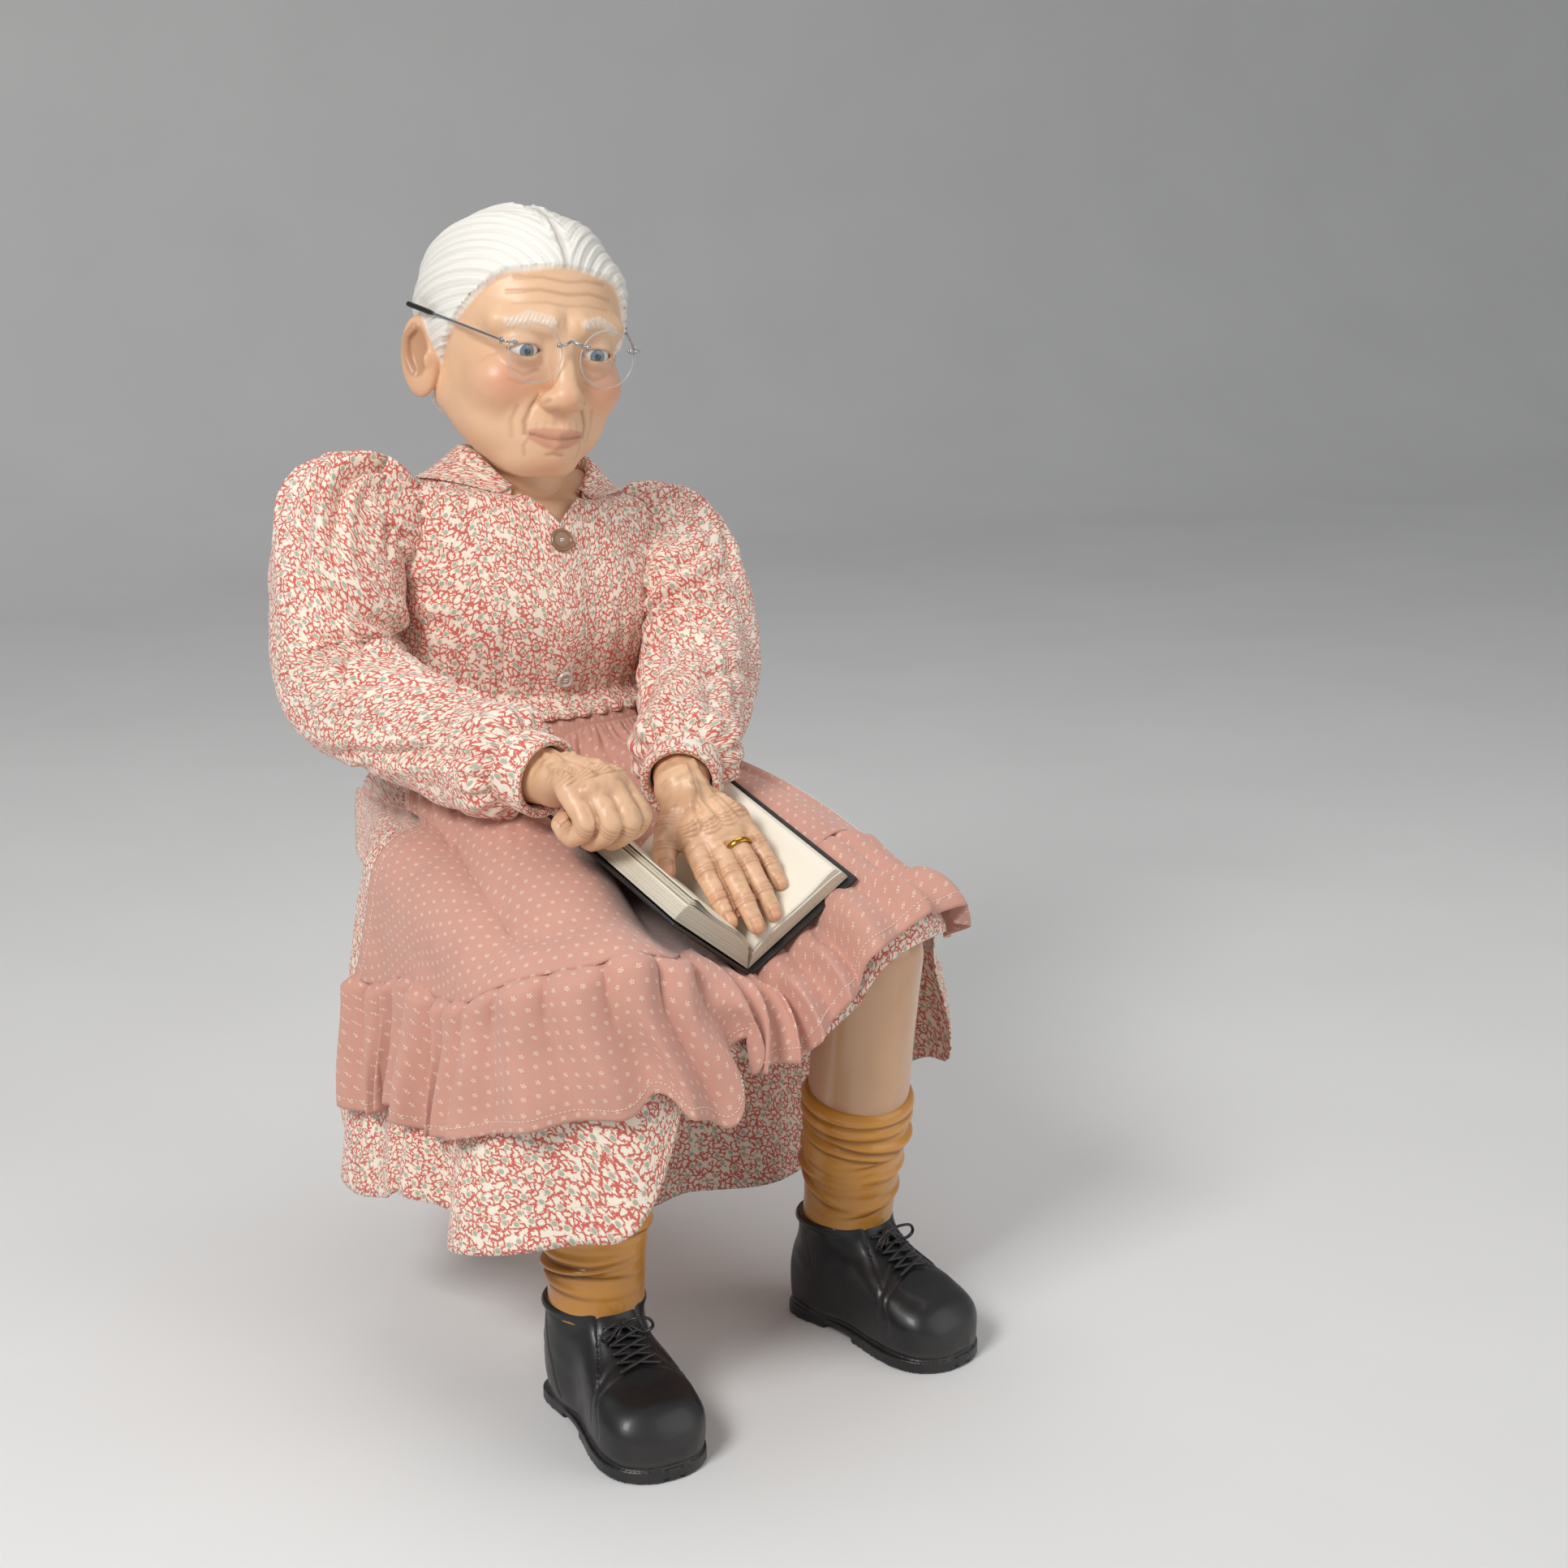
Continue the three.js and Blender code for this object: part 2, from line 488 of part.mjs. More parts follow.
const bookAxis = new THREE.Vector3(
  Math.sin(rad(BOOK.yaw)) * Math.cos(rad(BOOK.rise)),
  Math.cos(rad(BOOK.yaw)) * Math.cos(rad(BOOK.rise)),
  Math.sin(rad(BOOK.rise)),
);
const stack = 2 * CLOTH + LAYER + 2 * FIT;
function lapHeight(x, y) {
  const at = thighAt(Math.min(HIP.y, Math.max(KNEE.y, y)));
  const away = Math.hypot(Math.abs(x) - at.x, Math.max(0, KNEE.y - y));
  const between = Math.abs(x) < at.x;
  const floor = between ? -300 : at.z + 0.3 * at.radius;
  const round = at.z + Math.sqrt(Math.max(0, at.radius ** 2 - away ** 2)) - 4 * Math.max(0, away - at.radius);
  const thigh = Math.max(floor, round) + LAP.clear;
  const far = (y - BOOK.at[1]) / bookAxis.y;
  const aside = x - BOOK.at[0] - far * bookAxis.x;
  const slope = 0.88 * Math.tan(rad(aside < 0 ? BOOK.leftSlope : BOOK.rightSlope));
  const under = BOOK.cover + stack + 4.6;
  const dip = BOOK.at[2] + far * bookAxis.z - under + slope * (Math.hypot(aside, 14) - 14);
  const valley = between ? Math.min(dip, at.z + at.radius + LAP.clear) : -300;
  const ease = 5 * clamp01((at.x - Math.abs(x)) / 25);
  return (thigh + valley + Math.hypot(thigh - valley, ease)) / 2;
}
function fallOver(f) {
  const quarter = LAP.edge * Math.PI / 2;
  const bend = Math.min(f, quarter) / LAP.edge;
  const rest = Math.max(0, f - quarter);
  return [LAP.edge * Math.sin(bend) + rest * FOLD.flare, LAP.edge * (1 - Math.cos(bend)) + rest, rest];
}
// Where the cloth leaves the waist and meets the rim, m being the distance along the rim
function strand(m) {
  const u = clamp01((m + rimHalf) / (2 * rimHalf));
  const rim = lapRim.getPointAt(u);
  const [, a, b, y] = through(TORSO, torsoAt(WAIST_Z));
  const angle = lerp(-rad(LAP.wrap), rad(LAP.wrap), u);
  const waist = new THREE.Vector2(a * Math.sin(angle), y - b * Math.cos(angle));
  return { rim, waist, tangent: lapRim.getTangentAt(u), run: waist.distanceTo(rim) };
}
// f is the length of cloth past the rim, and less than 0 on the lap
function drape(m, f) {
  const { rim, waist, tangent, run } = strand(m);
  if (f <= 0) {
    const p = waist.clone().lerp(rim, 1 + f / run);
    const z = lapHeight(p.x, p.y);
    const near = 1 - clamp01((run + f) / LAP.belly);
    return new THREE.Vector3(p.x, p.y, lerp(z, WAIST_Z - LAP.drop, near * near));
  }
  const [out, drop, rest] = fallOver(f);
  const wave = rest * FOLD.depth * (1 + Math.sin((m / FOLD.width) * 2 * Math.PI));
  return new THREE.Vector3(
    rim.x + tangent.y * (out + wave), rim.y - tangent.x * (out + wave), lapHeight(rim.x, rim.y) - drop,
  );
}
function skirtPoint(u, v) {
  const m = lerp(-rimHalf, rimHalf, u);
  const row = v * (LAP_ROWS.length - 1 + FALL_ROWS);
  const past = row - (LAP_ROWS.length - 1);
  if (past > 0) return drape(m, onLine(HEM_LINE, m) * (past / FALL_ROWS) ** 1.6);
  const i = Math.min(Math.floor(row), LAP_ROWS.length - 2);
  return drape(m, strand(m).run * (lerp(LAP_ROWS[i], LAP_ROWS[i + 1], row - i) - 1));
}
const clothRange = (layer) => {
  const from = FIT + layer * (CLOTH + LAYER);
  return [from, from + CLOTH];
};
const skirtRows = LAP_ROWS.length - 1 + FALL_ROWS;
add("skirt_front", sheet(SKIRT_COLUMNS, skirtRows, skirtPoint, () => clothRange(0)), CALICO, 0.9);

// the apron keeps to whole columns of the skirt, so that the two layers run side by side
const column = (m) => Math.round((m + rimHalf) / (2 * rimHalf) * SKIRT_COLUMNS);
const [apronFrom, apronTo] = [column(APRON.right), column(APRON.left)];
const apronM = (u) => lerp(-rimHalf, rimHalf, lerp(apronFrom, apronTo, u) / SKIRT_COLUMNS);
// the ruffle and its seam run straight from column to column
const pitch = (2 * rimHalf) / SKIRT_COLUMNS;
function betweenColumns(m, from) {
  const i = Math.floor((m + rimHalf) / pitch + 1e-6);
  return from(i * pitch - rimHalf, (i + 1) * pitch - rimHalf, (m + rimHalf) / pitch - i);
}
const seamAt = (m) => betweenColumns(m, (a, b, k) => lerp(onLine(SEAM_LINE, a), onLine(SEAM_LINE, b), k));
const drapeBetween = (m, f) => betweenColumns(m, (a, b, k) => drape(a, f).lerp(drape(b, f), k));
function apronPoint(u, v) {
  const m = apronM(u);
  const start = -strand(m).run + APRON.band;
  return drape(m, lerp(start, seamAt(m) - APRON.seam, v));
}
add("apron_panel", sheet(apronTo - apronFrom, 10, apronPoint, () => clothRange(1)), PINK, 0.9);
const ruffleAt = (m, v) => seamAt(m) + APRON.seam + v * APRON.ruffle;
const waves = apronTo - apronFrom;
add("apron_ruffle", sheet(waves * 3, 3, (u, v) => drapeBetween(apronM(u), ruffleAt(apronM(u), v)), (u, v) => {
  const hanging = clamp01(ruffleAt(apronM(u), v) / LAP.edge);
  const lift = APRON.wave * hanging * Math.sqrt(v) * (0.5 - 0.5 * Math.cos(u * waves * 2 * Math.PI));
  return clothRange(1).map((d) => d + SEAM + lift);
}), PINK, 0.9);
add("apron_waistband", sheet(apronTo - apronFrom, 2, (u, v) => {
  const m = apronM(u);
  return drape(m, -strand(m).run + lerp(0.2, APRON.band - SEAM, v));
}, () => clothRange(1).map((d, k) => d + k * 0.6)), PINK, 0.9);

// Back of the skirt: down the back, flat under the seat, and down behind the legs
const seatZ = CLOTH / 2;
const backRows = [
  ...[WAIST_Z - FIT, 105, 60, 22].map((z) => ({ z })),
  { y: 120, flat: 7 }, { y: 113, flat: seatZ }, { y: 104, flat: seatZ }, { y: -70, flat: seatZ },
  { y: BACK.frontY + 8, flat: seatZ }, { y: BACK.frontY, flat: seatZ },
  { y: BACK.frontY - BACK.edge, flat: -BACK.edge, hang: 0 },
  ...[0.35, 0.7, 1].map((hang) => (
    { y: BACK.frontY - BACK.edge, flat: lerp(-BACK.edge, BACK.hem, hang), hang }
  )),
];
function backRow(row, u) {
  const across = 2 * u - 1;
  if (row.z !== undefined) {
    const [, a, b, y] = through(TORSO, torsoAt(row.z));
    const angle = across * rad(BACK.waistAngle);
    const grow = FIT + CLOTH;
    return new THREE.Vector3((a + grow) * Math.sin(angle), y + (b + grow) * Math.cos(angle), row.z);
  }
  const hang = row.hang ?? 0;
  const half = lerp(BACK.seatHalf, BACK.hemHalf, hang);
  const wave = hang * BACK.fold * Math.sin(across * 9);
  const curve = row.y > 0 ? 26 * across ** 2 : 0;
  return new THREE.Vector3(half * across, row.y - curve + wave, row.flat);
}
add("skirt_back", sheet(12, backRows.length - 1, (u, v) => {
  const at = clamp01(v) * (backRows.length - 1);
  const i = Math.min(Math.floor(at), backRows.length - 2);
  return backRow(backRows[i], u).lerp(backRow(backRows[i + 1], u), at - i);
}, () => [-CLOTH / 2, CLOTH / 2]), CALICO, 0.9);

// Open book: cover and two page blocks run along the spine
const bookFrame = new THREE.Matrix4().makeBasis(
  new THREE.Vector3().crossVectors(bookAxis, new THREE.Vector3(0, 0, 1)).normalize(),
  new THREE.Vector3(0, 0, 1).addScaledVector(bookAxis, -bookAxis.z).normalize(),
  bookAxis.clone().negate(),
).setPosition(...BOOK.at);
function bookHalf(side, from, to, wide, slope, round) {
  const run = new THREE.Vector2(side * Math.cos(rad(slope)), Math.sin(rad(slope)));
  const rise = new THREE.Vector2(-side * Math.sin(rad(slope)), Math.cos(rad(slope)));
  const at = (w, h) => run.clone().multiplyScalar(w).addScaledVector(rise, h);
  const inner = (h) => h * Math.tan(rad(slope));
  const shape = new THREE.Shape([at(inner(from) + FIT, from), at(wide, from), at(wide, to - round)]);
  const [bend, top] = [at(wide, to), at(wide - 4 * round, to)];
  shape.quadraticCurveTo(bend.x, bend.y, top.x, top.y);
  const [dip, gutter] = [at(inner(to) + 12, to + round * 0.4), at(inner(to * 0.7) + FIT, to * 0.7)];
  shape.quadraticCurveTo(dip.x, dip.y, gutter.x, gutter.y);
  return shape;
}
function bookBody(shape, height, shift) {
  return new THREE.ExtrudeGeometry(shape, { depth: height, bevelEnabled: false, curveSegments: 6 })
    .translate(0, 0, shift - height).applyMatrix4(bookFrame);
}
const coverWide = BOOK.page + BOOK.overhang;
const coverShape = new THREE.Shape();
{
  const [l, r, c] = [rad(BOOK.leftSlope), rad(BOOK.rightSlope), BOOK.cover];
  const [lx, lz] = [-coverWide * Math.cos(l), coverWide * Math.sin(l)];
  const [rx, rz] = [coverWide * Math.cos(r), coverWide * Math.sin(r)];
  coverShape.moveTo(lx, lz);
  coverShape.lineTo(0, 0);
  coverShape.lineTo(rx, rz);
  coverShape.lineTo(rx + c * Math.sin(r), rz - c * Math.cos(r));
  coverShape.lineTo(c * Math.sin(r) + 4 * Math.cos(r), 4 * Math.sin(r) - c * Math.cos(r));
  const back = [-c * Math.sin(l) - 4 * Math.cos(l), 4 * Math.sin(l) - c * Math.cos(l)];
  coverShape.quadraticCurveTo(0, -c * 1.3, ...back);
  coverShape.lineTo(lx - c * Math.sin(l), lz - c * Math.cos(l));
  coverShape.closePath();
}
add("book_cover", bookBody(coverShape, BOOK.height + 2 * BOOK.overhang, BOOK.overhang), "#1c1a1b", 0.5);
for (const [name, side, thick, slope] of [
  ["left_pages", -1, BOOK.left, BOOK.leftSlope], ["right_pages", 1, BOOK.right, BOOK.rightSlope],
]) {
  add(name, bookBody(bookHalf(side, FIT, thick, BOOK.page, slope, 3), BOOK.height, 0), "#efe6cf", 0.85);
}

// Head: a sculpted form met by rays from its middle
const egg = (p, c, r) => {
  const q = p.clone().sub(vec(c)).divide(vec(r));
  return q.length() * (q.length() - 1) / q.divide(vec(r)).length();
};
const rod = (p, from, to, r0, r1) => {
  const [a, b] = [vec(from), vec(to)];
  const span = b.sub(a);
  const k = clamp01(p.clone().sub(a).dot(span) / span.lengthSq());
  return p.distanceTo(a.addScaledVector(span, k)) - lerp(r0, r1, k);
};
const melt = (a, b, k) => {
  const h = Math.max(0, k - Math.abs(a - b)) / k;
  return Math.min(a, b) - h * h * k / 4;
};
const dent = (a, b, k) => -melt(-a, b, k);
function headDistance(q) {
  const p = new THREE.Vector3(Math.abs(q.x), q.y, q.z);
  let d = egg(p, [0, 8, 22], [73, 89, 76]);
  d = melt(d, egg(p, [0, -26, -36], [57, 54, 58]), 22);
  d = melt(d, rod(p, [38, 2, -50], [10, -56, -82], 17, 16), 16);
  d = melt(d, egg(p, [0, -66, -80], [19, 17, 17]), 10);
  d = melt(d, egg(p, [36, -56, -24], [24, 24, 22]), 14);
  d = melt(d, rod(p, [12, -80, 22], [46, -62, 20], 9, 9), 12);
  d = dent(d, egg(p, [EYE.x, -94, EYE.z - 1], [19, 17, 13]), 9);
  d = melt(d, egg(p, [EYE.x, EYE.y, EYE.z], [16.5, 15.6, 15]), 4);
  d = melt(d, rod(p, [0, -80, 12], [0, -99, -30], 7, 9.5), 8);
  d = melt(d, egg(p, [9, -93, -34], [7, 9, 7]), 6);
  d = melt(d, egg(p, [0, -66, -56], [30, 23, 25]), 12);
  d = melt(d, rod(p, [0, -87, -57], [19, -80, -58], 5, 3), 4);
  d = melt(d, rod(p, [0, -86, -65], [16, -80, -61], 5.5, 3), 4);
  d = melt(d, rod(p, [0, -26, -80], [0, 14, -84], 19, 24), 16);
  const hairline = HAIRLINE.level - p.y * HAIRLINE.y - p.z * HAIRLINE.z;
  const hair = Math.max(egg(p, [0, 10, 24], [80, 96, 77]), hairline);
  return melt(d, Math.max(hair, -62 - p.z), 3);
}
function headSkin(around, up) {
  const middle = new THREE.Vector3(0, -4, -12);
  const ring = (tilt) => Array.from({ length: around }, (_, k) => {
    const turn = ((k / around) * 2 - 1) * Math.PI;
    const azimuth = turn - 0.42 * Math.sin(turn);
    const way = new THREE.Vector3(
      Math.sin(azimuth) * Math.cos(tilt), -Math.cos(azimuth) * Math.cos(tilt), Math.sin(tilt),
    );
    let reach = 190;
    for (let n = 0; n < 60; n++) reach -= 0.8 * headDistance(middle.clone().addScaledVector(way, reach));
    return middle.clone().addScaledVector(way, reach);
  });
  return loft(Array.from({ length: up }, (_, j) => ring(lerp(-1.42, 1.48, j / (up - 1)))));
}
const headFrame = new THREE.Matrix4().makeRotationFromEuler(new THREE.Euler(
  rad(HEAD_TURN.pitch), rad(HEAD_TURN.roll), rad(HEAD_TURN.yaw), "ZYX",
)).setPosition(...HEAD_AT);
const inHead = (geometry) => geometry.applyMatrix4(headFrame);
let head = solid(inHead(headSkin(30, 24)));
const nape = vec([0, 22, -50]).applyMatrix4(headFrame);
const neckRows = [[NECK.seat, 0], [NECK.seat + 22, 0], [NECK.seat + 44, 0.4], [nape.z, 1]];
head = head.add(solid(loft(neckRows.map(([z, k]) => Array.from({ length: 18 }, (_, i) => {
  const angle = (i / 18) * 2 * Math.PI;
  const [x, y] = [lerp(NECK.x, nape.x, k), lerp(NECK.y, nape.y, k)];
  return new THREE.Vector3(x + NECK.radius * Math.cos(angle), y + NECK.radius * Math.sin(angle), z);
})))));
head = head.add(solid(inHead(ball([0, 0, 0], 27, 12).scale(1.1, 0.75, 1).translate(0, 100, -6))));
for (const side of [-1, 1]) {
  head = head.add(solid(inHead(ball([0, 0, 0], 1, 12).scale(8, 18, 31).rotateX(-0.2).rotateZ(side * -0.5)
    .translate(side * 77, 14, -20))));
  const eyeball = (radius) => inHead(ball([side * EYE.x, EYE.y, EYE.z], radius, 12));
  const lids = new THREE.Shape();
  lids.moveTo(-EYE.lidWidth / 2, 0);
  lids.quadraticCurveTo(0, EYE.lidHeight, EYE.lidWidth / 2, 0);
  lids.quadraticCurveTo(0, -EYE.lidHeight * 0.8, -EYE.lidWidth / 2, 0);
  const opening = new THREE.ExtrudeGeometry(lids, { depth: 30, bevelEnabled: false, curveSegments: 4 })
    .rotateX(Math.PI / 2).translate(side * EYE.x, EYE.y, EYE.z);
  head = head.subtract(solid(inHead(opening)))
    .subtract(solid(eyeball(EYE.radius + FIT)));
  add(side < 0 ? "right_eye" : "left_eye", eyeball(EYE.radius), "#9fb0bd", 0.1);
}
add("head", head.subtract(rodHole), SKIN, 0.45);

// Spectacles: rimless lenses, a sprung bridge and straight temples
const lensAt = (side) => [side * LENS.x, LENS.y, LENS.z];
const wireTube = (points, radius) => new THREE.ExtrudeGeometry(
  new THREE.Shape().absarc(0, 0, radius, 0, 2 * Math.PI), {
    steps: points.length > 2 ? 8 : 1,
    curveSegments: 3,
    extrudePath: new THREE.CatmullRomCurve3(points.map(vec)),
  },
);
for (const side of [-1, 1]) {
  const name = side < 0 ? "right" : "left";
  const [x, y, z] = lensAt(side);
  const edge = x + side * LENS.radius;
  const disc = new THREE.CylinderGeometry(LENS.radius, LENS.radius, LENS.thick, LENS.sides)
    .translate(x, y, z);
  add(`${name}_lens`, inHead(disc), "#dfe6ea", 0.05);
  const hingeZ = z + LENS.radius * 0.35;
  const front = y - LENS.thick / 2 - FIT;
  const lug = join(
    block([-5, -1.2, -2], [5, 0, 2]).translate(edge - side * 1.5, front, hingeZ),
    block([-2.4, -1.2, -1.6], [2.4, 9, 1.6]).translate(edge + side * 3.2, front, hingeZ),
  );
  add(`${name}_endpiece`, skin(lug).applyMatrix4(headFrame), STEEL, 0.3, 0.9);
  const from = [edge + side * 3.2, front + 9 + FIT, hingeZ];
  const to = [side * TEMPLE.spread, TEMPLE.y, hingeZ + TEMPLE.rise];
  const wireEnd = from.map((c, i) => lerp(c, to[i], 0.72));
  add(`${name}_temple`, inHead(wireTube([from, wireEnd], WIRE)), STEEL, 0.3, 0.9);
  const tipFrom = from.map((c, i) => lerp(c, to[i], 0.725));
  add(`${name}_temple_tip`, inHead(wireTube([tipFrom, to], TEMPLE.tip)), "#1d1d1f", 0.4);
}
const inner = LENS.x - LENS.radius;
const padY = LENS.y - LENS.thick / 2 - FIT - WIRE;
add("spectacle_bridge", inHead(wireTube([
  [-inner - 5, padY, LENS.z + 8], [-inner + 1, padY, LENS.z + 9], [0, padY + 4, LENS.z + 11],
  [inner - 1, padY, LENS.z + 9], [inner + 5, padY, LENS.z + 8],
], WIRE)), STEEL, 0.3, 0.9);

// Arms
function cutBeyond(point, axis) {
  return solid(aim(block([-500, -500, 0], [500, 500, 900]), point, axis));
}
function arm(name, plan, hand, ringed) {
  const [s, e, w] = [vec(plan.shoulder), vec(plan.elbow), vec(plan.wrist)];
  const down = e.clone().sub(s).normalize();
  const fore = w.clone().sub(e).normalize();
  const crook = fore.clone().addScaledVector(down, -fore.dot(down)).normalize();
  const station = (a, b, k, radius) => [...a.clone().lerp(b, k).toArray(), radius];
  const slant = down.clone().addScaledVector(crook, ELBOW.slant).normalize();
  const elbowCut = cutBeyond(e.clone().addScaledVector(slant, -ELBOW.rim), slant);
  const armhole = cutBeyond(vec([plan.side * ARMHOLE_X, 0, 0]), vec([-plan.side, 0, 0]));
  const socket = solid(ball(plan.elbow, roomFor(SLEEVE.ball, 14), 14));
  const upper = (shape) => solid(shape).subtract(armhole).subtract(elbowCut).subtract(socket);
  const puff = limb([
    station(s, e, 0, SLEEVE.puff), station(s, e, 0.5, SLEEVE.puff + 4), station(s, e, 1, SLEEVE.elbow),
  ], 14, 4);
  const filling = (grow) => limb([
    station(s, e, 0, STUFFED_ARM + grow), station(s, e, 1, STUFFED_ARM - 2 + grow),
  ], 10, 1, 2);
  add(`${name}_upper_sleeve`, upper(puff).subtract(solid(filling(FIT))), CALICO, 0.9);
  add(`${name}_upper_arm`, upper(filling(0)), MUSLIN, 0.9);

  const cuffFrom = w.clone().addScaledVector(fore, -CUFF.length / 2);
  const stump = (grow) => solid(limb([
    station(w, e, STUMP.length / w.distanceTo(e), STUMP.radius + grow), station(w, e, 0, STUMP.radius + grow),
    [...w.clone().addScaledVector(fore, 24).toArray(), STUMP.radius - 3 + grow],
  ], 12, 2, 1));
  const sleeve = solid(limb([
    station(e, w, 0, SLEEVE.ball), station(e, w, 0.3, SLEEVE.ball - 3), station(e, w, 0.65, SLEEVE.mid),
    station(e, w, 1, SLEEVE.end),
  ], 14, 4)).subtract(cutBeyond(cuffFrom.clone().addScaledVector(fore, -SEAM), fore));
  add(`${name}_lower_sleeve`, sleeve.subtract(stump(FIT)), CALICO, 0.9);
  const r = CUFF.radius;
  const band = turned([[0, 0], [r - CUFF.bead, 0], [r, CUFF.bead], [r, CUFF.length - CUFF.bead],
    [r - CUFF.bead, CUFF.length], [0, CUFF.length]], 16);
  add(`${name}_cuff`, solid(aim(band, cuffFrom, fore)).subtract(stump(FIT)), CALICO, 0.9);

  const tie = w.clone().addScaledVector(fore, -STUMP.groove);
  const cord = (tube) => solid(aim(hoop(STUMP.radius - CORD - 0.6, tube, 14), tie, fore));
  add(`${name}_wrist_cord`, cord(CORD), CORD_COLOR, 0.9);
  const along = vec(hand.point).sub(w).normalize();
  const back = vec(hand.back).addScaledVector(along, -vec(hand.back).dot(along)).normalize();
  const thumb = new THREE.Vector3().crossVectors(along, back).multiplyScalar(plan.side);
  const frame = new THREE.Matrix4().makeBasis(along, thumb, back)
    .scale(new THREE.Vector3(HAND_SCALE, HAND_SCALE, HAND_SCALE)).setPosition(w);
  const inHand = (geometry) => solid(geometry.applyMatrix4(frame));
  let flesh = stump(0).subtract(cord(CORD + FIT));
  const palm = limb(hand.palm, 12, 2, 2).scale(1, 1.2, 0.6);
  const fingers = Object.values(hand.fingers).map((stations) => limb(stations, 7, 3, 2));
  for (const part of [palm, ...fingers]) flesh = flesh.add(inHand(part));
  if (ringed) {
    const [base, next] = hand.fingers.ring.slice(0, 2).map((p) => vec(p));
    const k = (RING.along - base.x) / (next.x - base.x);
    const radius = lerp(hand.fingers.ring[0][3], hand.fingers.ring[1][3], k);
    const [middle, way] = [base.clone().lerp(next, k), next.clone().sub(base)];
    const band = (r, half) => inHand(aim(post(0, 0, -half, half, r, 14), middle, way));
    const bore = band(radius + FIT, RING.width);
    const outer = radius + FIT + RING.thick;
    flesh = flesh.subtract(band(outer + FIT, RING.width / 2 + FIT).subtract(band(radius, RING.width)));
    add("wedding_ring", band(outer, RING.width / 2).subtract(bore), "#c99a3a", 0.25, 1);
  }
  add(`${name}_hand`, flesh, SKIN, 0.45);
}
arm("left", LEFT_ARM, LEFT_HAND, true);
arm("right", RIGHT_ARM, RIGHT_HAND, false);

// Buttons on the bodice front
for (const [name, { z, radius, shank }, color] of [
  ["collar_button", COLLAR_BUTTON, "#8c6a3f"], ["waist_button", WAIST_BUTTON, "#d8d2c4"],
]) {
  const p = bodicePoint(0.5, torsoAt(z), FIT + CLOTH + shank);
  const next = bodicePoint(0.5, torsoAt(z + 4), FIT + CLOTH + shank);
  const normal = new THREE.Vector3(1, 0, 0).cross(next.clone().sub(p)).normalize();
  const dish = BUTTON.thick - BUTTON.rim;
  const disc = [
    [0, 0], [radius - 1, 0], [radius, 1], [radius, BUTTON.thick - 0.8], [radius - 0.8, BUTTON.thick],
    [radius - 2, BUTTON.thick], [radius - 3, dish], [0, dish],
  ];
  add(name, aim(turned(disc, 14), p, normal), color, 0.3);
}

export default doll;
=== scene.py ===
import math

import bmesh
import bpy
import numpy as np
import openvdb
from bpy.props import FloatProperty, FloatVectorProperty, PointerProperty
from mathutils import Euler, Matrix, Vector


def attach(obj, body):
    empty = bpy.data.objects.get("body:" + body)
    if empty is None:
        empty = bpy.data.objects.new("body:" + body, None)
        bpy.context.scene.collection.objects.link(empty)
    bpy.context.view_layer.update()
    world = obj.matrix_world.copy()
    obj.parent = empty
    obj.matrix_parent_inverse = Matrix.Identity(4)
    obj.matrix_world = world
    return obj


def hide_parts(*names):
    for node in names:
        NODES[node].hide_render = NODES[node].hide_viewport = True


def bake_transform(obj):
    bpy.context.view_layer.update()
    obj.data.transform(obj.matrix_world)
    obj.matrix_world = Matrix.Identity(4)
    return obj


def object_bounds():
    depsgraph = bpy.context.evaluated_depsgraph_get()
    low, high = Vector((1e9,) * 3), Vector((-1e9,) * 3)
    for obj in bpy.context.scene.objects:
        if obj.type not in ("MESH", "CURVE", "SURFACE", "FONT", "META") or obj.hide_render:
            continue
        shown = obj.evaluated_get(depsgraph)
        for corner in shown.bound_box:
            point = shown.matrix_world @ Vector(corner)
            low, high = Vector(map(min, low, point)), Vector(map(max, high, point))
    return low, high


bl_info = {
    "name": "Seated Ceramic Doll",
    "version": (1, 0, 0),
    "blender": (4, 5, 0),
    "location": "View3D > Sidebar > Doll",
    "description": "Dresses the packed frame of a seated ceramic doll",
    "category": "Add Mesh",
}

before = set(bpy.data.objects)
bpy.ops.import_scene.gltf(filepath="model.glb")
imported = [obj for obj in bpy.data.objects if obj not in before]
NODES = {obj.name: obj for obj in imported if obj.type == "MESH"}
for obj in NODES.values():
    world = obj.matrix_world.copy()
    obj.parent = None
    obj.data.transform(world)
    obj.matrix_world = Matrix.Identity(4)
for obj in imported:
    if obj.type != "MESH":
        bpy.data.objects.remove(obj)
CAD_BOX = [list(corner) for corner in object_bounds()]
MM = 0.001

# Sizes in millimetres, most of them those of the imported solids
CLOTH, LAYER, FIT = 2, 5, 0.4
WAIST_Z, SHOULDER_Z, SHOULDER_TILT, LEAN, ARMHOLE_X = 150, 312, 7, 9, 114.5
TORSO = np.array([
    [2.4, 104, 74, 36], [40, 124, 88, 34], [100, 116, 84, 31], [150, 105, 76, 29], [210, 109, 86, 25],
    [262, 110, 76, 30], [300, 104, 62, 33], [312, 82, 50, 32], [330, 50, 44, 27],
], float)
NECKLINE = 26
NECK = {"x": 7, "y": 27, "radius": 34, "seat": 306}
HEAD_AT = (-3, -2, 430)
HEAD_TURN = (5, 6, -2)
EYE = {"x": 29, "y": -68.5, "z": 2, "radius": 13}
LENS = {"radius": 22, "thick": 1.8, "x": 29, "y": -97, "z": 2}
TEMPLE = {"y": 16, "rise": 9, "spread": 89}
HIP, MIDTHIGH = {"y": 5, "x": 74, "radius": 48}, {"y": -206, "x": 98, "radius": 44}
KNEE = {"y": -337, "x": 110, "z": 7, "radius": 44}
BALL, SHIN, SOLE_Z, SOCK_TOP, BOOT_TOP = 38.5, 38, -300, 112, 204
